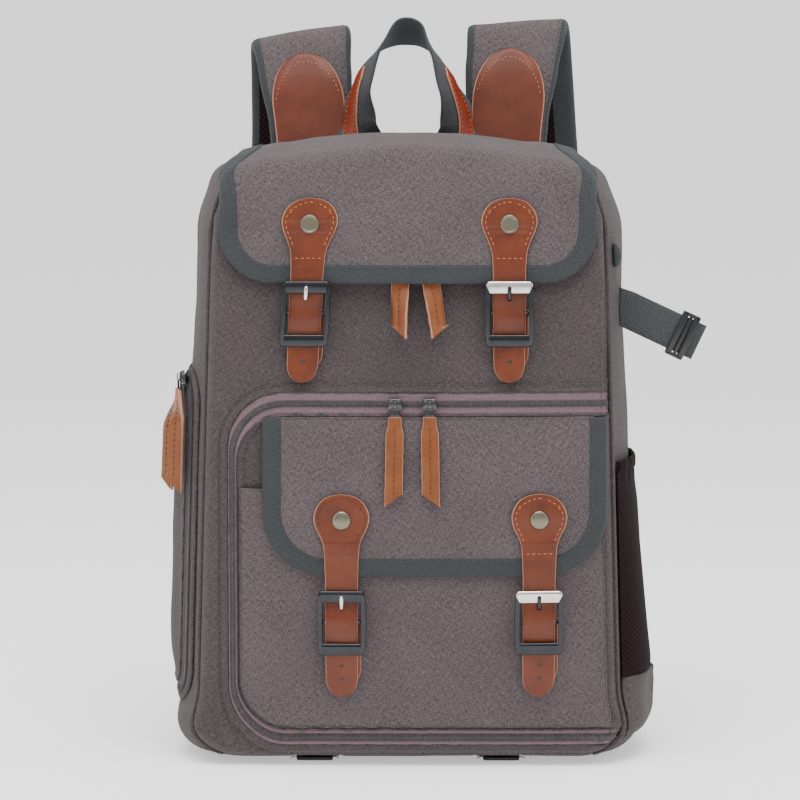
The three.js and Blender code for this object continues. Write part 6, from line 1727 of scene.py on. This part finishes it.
def mesh_give(along, z, y):
    ruffle = 0.7 * np.sin(y / 2.4 + np.sin(y / 9)) * eased(z, 190, 208) * (1 - np.abs(along) ** 6)
    drape = 1.2 * soft_noise(y / 18, z / 60, 91) * (1 - np.abs(along) ** 4) * (1 - eased(z, 180, 205))
    tucked = -2.6 * (1 - eased(z, 58.5, 66)) * (1 - np.abs(along) ** 5)
    return ruffle + drape + tucked + 0.8 * np.exp(-((z - 210) / 2.0) ** 2)


mesh_grid, mesh_uv = pocket_grid(np.linspace(M_HEM - 1.0, M_TOP, 84), mesh_give)
mesh_pocket = cloth("mesh pocket", mesh_grid, 1.2, pocket_mesh, (1, 0, 0), uv=mesh_uv)
keep(mesh_pocket, "mesh_pocket")


def base_give(along, z, y):
    near = np.maximum(0, 1 - np.abs(along + 0.45) / 0.35)
    fold = (-3.5 * near * share(z, M_BOTTOM, 40) ** 0.5 * (1 - 0.6 * share(z, 45, M_HEM))
            + 1.4 * np.exp(-((along + 0.12) / 0.1) ** 2) * share(z, 26, 50))
    lumps = 0.6 * soft_noise(y / 16, z / 12, 92) * (1 - np.abs(along) ** 4) * (1 - eased(z, 50, 58))
    return fold + lumps + 0.5 * np.exp(-((z - 58) / 1.6) ** 2)


pocket_base_grid, base_uv = pocket_grid(np.concatenate([np.linspace(M_BOTTOM, 30, 14),
                                                        np.linspace(30, M_HEM, 24)[1:]]), base_give)
pocket_base = cloth("mesh pocket base", pocket_base_grid, 1.8, canvas, (1, 0, 0), uv=base_uv, under=lining)
keep(pocket_base, "mesh_pocket_base")

hem_y = mix(M_FRONT + 1.5, M_BACK - 1.5, np.linspace(0, 1, 90))
hem_along = np.linspace(-0.975, 0.975, 90)
hem_height = (0.4 + pocket_hang(np.full(90, 211.0)) * (1 - np.abs(hem_along) ** 5)
              + mesh_give(hem_along, np.full(90, 211.0), hem_y) + 2.0)
sections = []
for u, v in ((-1, 0), (-0.9, 0.8), (-0.3, 1.1), (0.3, 1.1), (0.9, 0.8), (1, 0), (0.9, -0.8), (-0.9, -0.8)):
    sections.append(on_side(1, hem_y, 210.0 + u * 4.2, hem_height - 0.6 + v * 1.3))
hem_band = section_loft("mesh pocket hem", np.stack(sections, 1), pocket_mesh)
keep(hem_band)
print("mesh pocket made")

# %% [markdown]
# Flat webbing is woven so tightly that it bends only across its face. Each strap is a thin rounded section
# carried along a smooth line, with the width direction turned on the way.

# %% Straps along a line
def smooth_line(at, across, width, steps):
    """Points, width directions and outward directions along a centripetal curve through the stations."""
    at, across = np.asarray(at, float), np.asarray(across, float)
    gaps = np.sqrt(np.linalg.norm(np.diff(at, axis=0), axis=1))
    knots = np.r_[0, np.cumsum(gaps)]
    slopes = np.zeros_like(at)
    for i in range(len(at)):
        if i == 0:
            slopes[i] = (at[1] - at[0]) / gaps[0]
        elif i == len(at) - 1:
            slopes[i] = (at[-1] - at[-2]) / gaps[-1]
        else:
            before, after = (at[i] - at[i - 1]) / gaps[i - 1], (at[i + 1] - at[i]) / gaps[i]
            slopes[i] = (before * gaps[i] + after * gaps[i - 1]) / (gaps[i] + gaps[i - 1])
    spots = np.linspace(0, knots[-1], 1200)
    k = np.clip(np.searchsorted(knots, spots, side="right") - 1, 0, len(gaps) - 1)
    h = gaps[k][:, None]
    t = ((spots - knots[k]) / gaps[k])[:, None]
    points = ((2 * t ** 3 - 3 * t ** 2 + 1) * at[k] + (t ** 3 - 2 * t ** 2 + t) * h * slopes[k]
              + (-2 * t ** 3 + 3 * t ** 2) * at[k + 1] + (t ** 3 - t ** 2) * h * slopes[k + 1])
    turn = (t * t * (3 - 2 * t))
    direction = mix(across[k], across[k + 1], turn)
    wide = mix(np.asarray(width, float)[k], np.asarray(width, float)[k + 1], turn[:, 0])
    lengths = path_lengths(points)
    even = np.linspace(0, lengths[-1], steps)
    pick = lambda values: np.stack([np.interp(even, lengths, values[:, j]) for j in range(values.shape[1])],
                                   -1)
    points, direction, wide = pick(points), pick(direction), np.interp(even, lengths, wide)
    forward = np.gradient(points, axis=0)
    forward /= np.linalg.norm(forward, axis=1, keepdims=True)
    direction = direction - forward * (direction * forward).sum(1, keepdims=True)
    direction /= np.linalg.norm(direction, axis=1, keepdims=True)
    return dict(at=points, across=direction, out=np.cross(direction, forward), width=wide, along=even,
                forward=forward)


def swept(name, line, profile, finish, finishes=None, slots_of=None, give=None):
    """A band whose section is (share of half width, height) corners along the line."""
    sections, uv = [], []
    for side, height in profile:
        lift = height + (give(side, line["along"], height) if give else 0)
        lift = np.broadcast_to(lift, line["along"].shape)
        sections.append(line["at"] + line["across"] * (side * line["width"] / 2)[:, None]
                        + line["out"] * lift[:, None])
        uv.append(np.stack([side * line["width"] / 2 + (300 if height < 0 else 0), line["along"]], -1))
    return section_loft(name, np.stack(sections, 1), finish, finishes=finishes, slots_of=slots_of,
                        uv=np.stack(uv, 1))


def web_profile(half_thick):
    return [(-1, 0), (-0.985, 0.7 * half_thick), (-0.93, half_thick), (-0.5, half_thick), (0, half_thick),
            (0.5, half_thick),
            (0.93, half_thick), (0.985, 0.7 * half_thick), (1, 0), (0.985, -0.7 * half_thick),
            (0.93, -half_thick),
            (0, -half_thick), (-0.93, -half_thick), (-0.985, -0.7 * half_thick)]


# %% [markdown]
# The compression strap hangs from the side seam with its moulded ladder-lock slider near the end.

# %% Compression strap and side tab
DROOP, STRAP_LONG = math.radians(25), 62.0
root = np.array([float(side_face(-42, 322)), -42, 322])
t = np.linspace(0, 1, 60)
points = root + np.stack([t * STRAP_LONG * math.cos(DROOP), -3 * np.sin(t * 2.6),
                          -t * STRAP_LONG * math.sin(DROOP)], -1)
hang = dict(at=points, along=path_lengths(points), width=np.full(60, 26.0),
            across=np.where(t[:, None] < 0.02, [[0, 0, 1.0]], [[math.sin(DROOP), 0, math.cos(DROOP)]]),
            out=np.tile([0, -1.0, 0], (60, 1)))
hang["across"][:6] = mix(np.array([0, 0, 1.0]), hang["across"][6], np.linspace(0, 1, 6)[:, None])
strap = swept("compression strap", hang, web_profile(1.2), webbing,
              give=lambda side, along, h: 0.3 * np.sin(along / 7) * side)
keep(strap, "compression_strap")
reach = (STRAP_LONG - 12) / STRAP_LONG
k = int(reach * 59)
centre, up = points[k], np.array([math.sin(DROOP), 0, math.cos(DROOP)])
ahead = np.array([math.cos(DROOP), 0, -math.sin(DROOP)])
toward = np.array([0, -1.0, 0])


def slider_axes(section):
    return centre + section[..., [0]] * ahead + section[..., [1]] * toward + section[..., [2]] * up


blocks = [soft_box((-6.5, 1.9, -16.5), (-2.4, 3.5, 16.5), 0.7),
          soft_box((2.4, 1.9, -16.5), (6.5, 3.5, 16.5), 0.7),
          soft_box((-6.5, -3.5, -16.5), (-2.4, -1.9, 16.5), 0.7),
          soft_box((2.4, -3.5, -16.5), (6.5, -1.9, 16.5), 0.7),
          soft_box((-6.5, -3.5, 13.9), (6.5, 3.5, 16.5), 1.1),
          soft_box((-6.5, -3.5, -16.5), (6.5, 3.5, -13.9), 1.1),
          soft_box((-1.2, 1.5, -14.5), (1.2, 2.7, 14.5), 0.4)]
slider = merge("compression_slider_piece",
               [section_loft("block", slider_axes(b), black_nylon) for b in blocks])
keep(slider, "compression_slider")

tab_sections = []
for part in np.linspace(0, 1, 30):
    z = 358 + (part - 0.5) * 16
    out = 1.4 + 3.6 * math.sin(math.pi * part) ** 0.6
    base_x = float(side_face(-52, z)) + 0.4
    tab_sections.append([(base_x + h * out, -52 + u * 6, z) for u, h in
                         ((-1, 0), (-1, 0.8), (-0.85, 1), (0, 1), (0.85, 1), (1, 0.8), (1, 0))])
side_tab = section_loft("side tab", np.array(tab_sections), webbing)
keep(side_tab, "side_tab")
print("side strap and tab made")

# %% [markdown]
# The shoulder straps are foam between canvas and mesh, edged with the slate tape. They rise behind the bag,
# turn over and hang down its back. A leather patch with an arc of stitches covers each one's sewn end.

# %% Shoulder straps
STRAP_OUT = [0.511, 0.511, 0.518, 0.533, 0.562, 0.591, 0.613, 0.635, 0.672, 0.723, 0.781, 0.832, 0.869]
STRAP_BACK = [0.028, 0.031, 0.098, 0.18, 0.295, 0.525, 0.836, 1, 1, 0.934, 0.836, 0.705, 0.541]
STRAP_UP = [0.868, 0.925, 0.981, 1.061, 1.144, 1.203, 1.198, 1.127, 0.991, 0.825, 0.637, 0.46, 0.33]
STRAP_WIDE = [0.8, 0.8, 0.8, 0.827, 0.92, 0.987, 1, 1, 0.987, 0.933, 0.853, 0.773, 0.613]
WEB_AT = [(119.1, 117.8, 140.6), (119.7, 116.6, 132), (121, 112, 108), (124, 101, 76), (125, 87, 56),
          (124, 80.9, 42)]
patch_threads, edge_threads = [], []
for side, sign, rise in (("left", -1, 0.0), ("right", 1, 7.0)):
    up = np.array(STRAP_UP) * BODY_TOP
    lean = np.array([0, 0, 0, 0, 0, 1, 2, 5, 9, 9, 7, 3, 0]) if side == "left" else np.zeros(13)
    tilt = np.array([0, 0, 0, 0.05, 0.12, 0.16, 0.16, 0.12, 0.05, 0, 0, 0,
                     0]) * (1.0 if side == "left" else 0.5)
    at = np.stack([sign * np.array(STRAP_OUT) * TOP_HALF + lean, 85 + np.array(STRAP_BACK) * 61.0,
                   up + rise * share(up, BODY_TOP, 1.15 * BODY_TOP)], -1)
    line = smooth_line(at, [(1, 0, t) for t in tilt], np.array(STRAP_WIDE) * 75.0, 230)
    facing = 1.0 if line["out"][10, 1] < 0 else -1.0
    pad = [(-1, 0), (-0.99, 2.4), (-0.955, 4.2), (-0.9, 5.0), (-0.84, 5.3), (-0.55, 6.0), (-0.2, 6.3),
           (0.2, 6.3), (0.55, 6.0),
           (0.84, 5.3), (0.9, 5.0), (0.955, 4.2), (0.99, 2.4), (1, 0)]
    pad = pad + [(u, -h) for u, h in pad[-2:0:-1]]
    slots_pad = [0 if (facing * h > 4.6 and abs(u) < 0.86) else (1 if abs(u) >= 0.84 else 2) for u, h in pad]

    def strap_give(u, along, h, s=side):
        soft = 0.5 * soft_noise(along / 30, u * 2 + (3 if s == "left" else 8), 95)
        return soft * np.sign(h) * (abs(u) < 0.86)

    strap = swept("shoulder strap " + side, line, pad, flap_canvas,
                  finishes=[flap_canvas, binding, spacer_mesh],
                  slots_of=slots_pad, give=strap_give)
    keep(strap, "shoulder_strap_" + side)
    for u in (-0.86, 0.86):
        points = line["at"] + line["across"] * (u * line["width"] / 2)[:, None] + line["out"] * facing * 5.3
        edge_threads.append((points[4:-4], line["out"][4:-4] * facing))

    low, high = np.searchsorted(line["along"], (0.08 * line["along"][-1], 0.245 * line["along"][-1]))
    place = dict((key, value[low:high]) for key, value in line.items())
    up = np.linspace(0, 1, high - low)
    roundness = np.sqrt(np.clip(1 - np.maximum(0, (up - 0.55) / 0.45) ** 2, 0.0, 1))
    place["width"] = np.maximum(56.0 * roundness * mix(0.9, 1, up), 2.0)
    near, far = 6.35 * facing, 8.0 * facing
    patch_profile = [(-1, near), (-1, mix(near, far, 0.7)), (-0.97, far), (-0.5, far + 0.25 * facing),
                     (0, far + 0.3 * facing),
                     (0.5, far + 0.25 * facing), (0.97, far), (1, mix(near, far, 0.7)), (1, near), (0, near)]
    patch = swept("strap patch " + side, place, patch_profile, rose_leather,
                  finishes=[rose_leather, raw_edge],
                  slots_of=[1, 1, 0, 0, 0, 0, 1, 1, 0, 0])
    keep(patch, "strap_patch_" + side)
    arc = []
    for u in np.linspace(-0.93, 0.93, 60):
        inside = 1 - (abs(u) / 0.97) ** 2
        idx = int(np.clip((0.5 + 0.43 * math.sqrt(max(0, inside))) * (high - low - 1), 0, high - low - 3))
        arc.append(place["at"][idx] + place["across"][idx] * u * 28 * 0.92
                   + place["out"][idx] * (far + 0.15 * facing))
    patch_threads.append((np.array(arc), np.tile(place["out"][len(up) // 2] * facing, (60, 1))))

    web_at = [(sign * x, y, z) for x, y, z in WEB_AT]
    web = smooth_line(web_at, [(1, 0, 0)] * 6, [26.0] * 6, 76)
    lower = swept("strap webbing " + side, web, web_profile(1.0), webbing)
    keep(lower, "strap_webbing_" + side)
    lock_at = mix(np.array(web_at[1]), np.array(web_at[2]), 0.9)
    forward = np.array(web_at[1]) - np.array(web_at[3])
    forward = forward / np.linalg.norm(forward)
    sideways = np.array([1, 0, 0]) - forward * forward[0]
    sideways /= np.linalg.norm(sideways)
    outward = np.cross(forward, sideways)
    lock = lambda s: lock_at + s[..., [0]] * sideways + s[..., [1]] * outward + s[..., [2]] * forward
    bars = [soft_box((-18, -3, z0), (18, -1.6, z0 + 4.2), 0.6) for z0 in (-14, -2.1, 9.8)]
    bars += [soft_box((-18, 1.7, z0), (18, 3, z0 + 4.2), 0.5) for z0 in (-14, 9.8)]
    bars += [soft_box((s0, -3, -14), (s0 + 4.2, 3, 14), 1.0) for s0 in (-18, 13.8)]
    adjuster = merge("strap_adjuster_piece_" + side,
                     [section_loft("bar", lock(b), black_nylon) for b in bars])
    keep(adjuster, "strap_adjuster_" + side)
print("each padded strap is", round(line["along"][-1]), "mm long and its webbing", round(web["along"][-1]),
      "mm")
stitches(patch_threads, "strap patch stitches", light_thread, 2.4, 1.4, 0.34, 0.1)
stitches(edge_threads, "strap edge stitches", slate_thread, 2.8, 1.6, 0.32, 0.1)
print("shoulder straps made")

# %% [markdown]
# The grab handle is one loop of webbing sewn flat to the back. It turns on its way up, so its edges face the
# front on the legs, where a strip of orange-red leather is stitched over it.

# %% Grab handle
HANDLE = [(-36, 80.9, 410, (1, 0, 0)), (-36, 81.2, 430, (1, 0, 0)), (-37, 79, 453, (0.7, -0.7, 0)),
          (-34, 77, 478, (0.36, -0.93, 0)),
          (-22, 80, 503, (0.28, -0.88, 0.34)), (-7, 86, 516, (0.1, -0.84, 0.52)),
          (8, 86, 514, (-0.12, -0.84, 0.52)),
          (20, 80, 498, (-0.3, -0.88, 0.34)), (29, 76, 476, (-0.4, -0.92, 0)), (36, 79, 451, (-0.7, -0.7, 0)),
          (36, 81.2, 429, (-1, 0, 0)), (36, 80.9, 410, (-1, 0, 0))]
handle_at = [station[:3] for station in HANDLE]
handle_line = smooth_line(handle_at, [h[3] for h in HANDLE], [36.0] * 12, 220)
handle = swept("grab handle", handle_line, web_profile(1.2), webbing)
keep(handle, "grab_handle")
handle_threads = []
for name, a, b in (("left", 2 / 24, 8 / 24), ("right", 16 / 24, 22 / 24)):
    pick = slice(int(a * 219), int(b * 219))
    part = dict((key, value[pick].copy()) for key, value in handle_line.items())
    part["at"] = part["at"] - part["across"] * 6.0
    count = len(part["along"])
    tip = np.linspace(0, 1, count) if name == "left" else np.linspace(1, 0, count)
    part["width"] = 13.0 * np.clip(1.0 - np.maximum(0, tip - 0.86) * 4.5, 0.35, 1)
    near, far = 1.5, 2.9
    strip_profile = [(-1, near), (-1, 2.4), (-0.9, far), (0, far + 0.15), (0.9, far), (1, 2.4), (1, near),
                     (0, near)]
    strip_piece = swept("handle patch " + name, part, strip_profile, handle_leather,
                        finishes=[handle_leather, raw_edge],
                        slots_of=[1, 1, 0, 0, 1, 1, 0, 0])
    keep(strip_piece, "handle_patch_" + name)
    for u in (-0.62, 0.62):
        row = part["at"] + part["across"] * (u * part["width"] / 2)[:, None] + part["out"] * (far + 0.1)
        handle_threads.append((row[2:-8] if name == "left" else row[8:-2],
                               part["out"][2:-8] if name == "left" else part["out"][8:-2]))
stitches(handle_threads, "handle stitches", light_thread, 2.0, 1.6, 0.3, 0.05)
print("handle webbing is", round(handle_line["along"][-1]), "mm long")

# %% [markdown]
# Two webbing straps run under the base from front to back, and each ends in a small moulded buckle tucked
# under the front edge. Only a dark arc and a lump of each shows in front.

# %% Base straps
for side, sign in (("left", -1), ("right", 1)):
    depth = np.linspace(0.045, 0.955, 90)
    under = np.maximum(0, SEAM_LIFT - BASE_SWELL * swell(depth))
    y = mix(-HALF_DEPTH, HALF_DEPTH, depth)
    sections = []
    for u, h in ((-1, 0.3), (-0.97, 1.7), (0, 2.0), (0.97, 1.7), (1, 0.3), (0.97, 0.05), (0, 0.0),
                 (-0.97, 0.05)):
        sections.append(np.stack([np.full_like(y, sign * 64 + u * 15), y, under + h], -1))
    uv = np.stack([np.stack([np.full_like(y, k * 6.0), y], -1) for k in range(8)], 1)
    piece = section_loft("base strap " + side, np.stack(sections, 1), webbing, uv=uv)
    keep(piece, "base_strap_" + side)
    lump = soft_box((-13, -3.2, 0), (13, 3.2, 5.2), 1.6)
    place = np.array([sign * 66, -62, 0.6])
    keep(section_loft("base buckle " + side, lump + place, black_nylon))
    loop = []
    for a in np.linspace(0, math.pi, 24):
        ring = [(sign * 66 - 17 * math.cos(a) * sign, -66.5 + v, 3.2 + 6.2 * math.sin(a) + w) for v, w in
                ((-0.8, 0), (0, 0.8), (0.8, 0), (0, -0.8))]
        loop.append(ring)
    keep(section_loft("base loop " + side, np.array(loop), black_nylon))
print("base straps made")

# %% [markdown]
# The bag stands on a plain pale floor that bends up into a backdrop, under one broad soft light from above
# and two softer ones from the sides. The camera looks from the photograph's place: far off, slightly above.

# %% Floor, light and camera
def sweep(depth=5.6, height=9.0, bend=1.5, width=40.0):
    profile = [(-20.0, 0.0), (-8.0, 0.0)]
    profile += [(y, 0.0) for y in (-3.0, -1.5, -0.5, 0.5, 2.0)]
    for a in np.linspace(0, math.pi / 2, 14):
        profile.append((depth - bend + bend * math.sin(a), bend - bend * math.cos(a)))
    profile.append((depth, height))
    corners = [(x, y, z) for y, z in profile for x in (-width / 2, width / 2)]
    faces = [(2 * i, 2 * i + 1, 2 * i + 3, 2 * i + 2) for i in range(len(profile) - 1)]
    mesh = bpy.data.meshes.new("floor")
    mesh.from_pydata(corners, [], faces)
    mesh.polygons.foreach_set("use_smooth", np.ones(len(faces), bool))
    floor = bpy.data.objects.new("floor", mesh)
    bpy.context.scene.collection.objects.link(floor)
    white = linear("#ffffff")
    mesh.materials.append(woven("pale paper backdrop", [], {}, Roughness=0.9, Base_Color=linear("#f6f6f6"),
                                Emission_Color=white, Emission_Strength=0.55))


def area_light(name, place, target, size, power, colour="#ffffff"):
    light = bpy.data.lights.new(name, "AREA")
    light.shape = "RECTANGLE"
    light.size, light.size_y = size
    light.energy = power
    light.color = linear(colour)[:3]
    lamp = bpy.data.objects.new(name, light)
    lamp.location = place
    lamp.rotation_euler = (Vector(target) - Vector(place)).to_track_quat("-Z", "Y").to_euler()
    bpy.context.scene.collection.objects.link(lamp)


sweep()
area_light("overhead softbox", (0.0, -0.7, 2.1), (0, 0, 0.2), (1.8, 1.4), 62)
area_light("left softbox", (-1.7, -1.1, 0.9), (0, 0, 0.25), (0.9, 1.5), 11)
area_light("right softbox", (1.7, -1.2, 0.9), (0, 0, 0.25), (0.9, 1.5), 9)
area_light("front fill", (0.0, -2.4, 0.9), (0, 0, 0.25), (1.6, 1.0), 4)
world = bpy.data.worlds.new("studio")
world.use_nodes = True
sky = world.node_tree
toward = add_node(sky, "ShaderNodeTexCoord")
axes = add_node(sky, "ShaderNodeSeparateXYZ", links={"Vector": toward.outputs["Generated"]})
sky_stops = [(0.0, "#a4a4a4"), (0.2, "#a6a6a6"), (0.5, "#e8e8e8"), (0.9, "#ffffff")]
glow = add_node(sky, RAMP, {"stops": sky_stops}, {"Fac": axes.outputs["Z"]})
sky.links.new(glow.outputs["Color"], sky.nodes["Background"].inputs["Color"])
sky.nodes["Background"].inputs["Strength"].default_value = 0.85
bpy.context.scene.world = world

lens = bpy.data.cameras.new("camera")
lens.lens = 143.0
lens.sensor_width = 36.0
lens.clip_end = 50
camera = bpy.data.objects.new("camera", lens)
bpy.context.scene.collection.objects.link(camera)
distance, rise, turn = 2.20, math.radians(5.5), math.radians(0.3)
aim = Vector((-0.0055, -0.09, 0.2595))
direction = Vector((math.sin(turn) * math.cos(rise), -math.cos(turn) * math.cos(rise), math.sin(rise)))
camera.location = aim + direction * distance
camera.rotation_euler = (-direction).to_track_quat("-Z", "Y").to_euler()
bpy.context.scene.camera = camera

# %% Sizes and finish
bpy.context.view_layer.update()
triangles = sum(len(p.vertices) - 2 for o in bpy.data.objects if o.type == "MESH" and not o.hide_render
                for p in o.data.polygons)
print("triangles shown:", triangles)
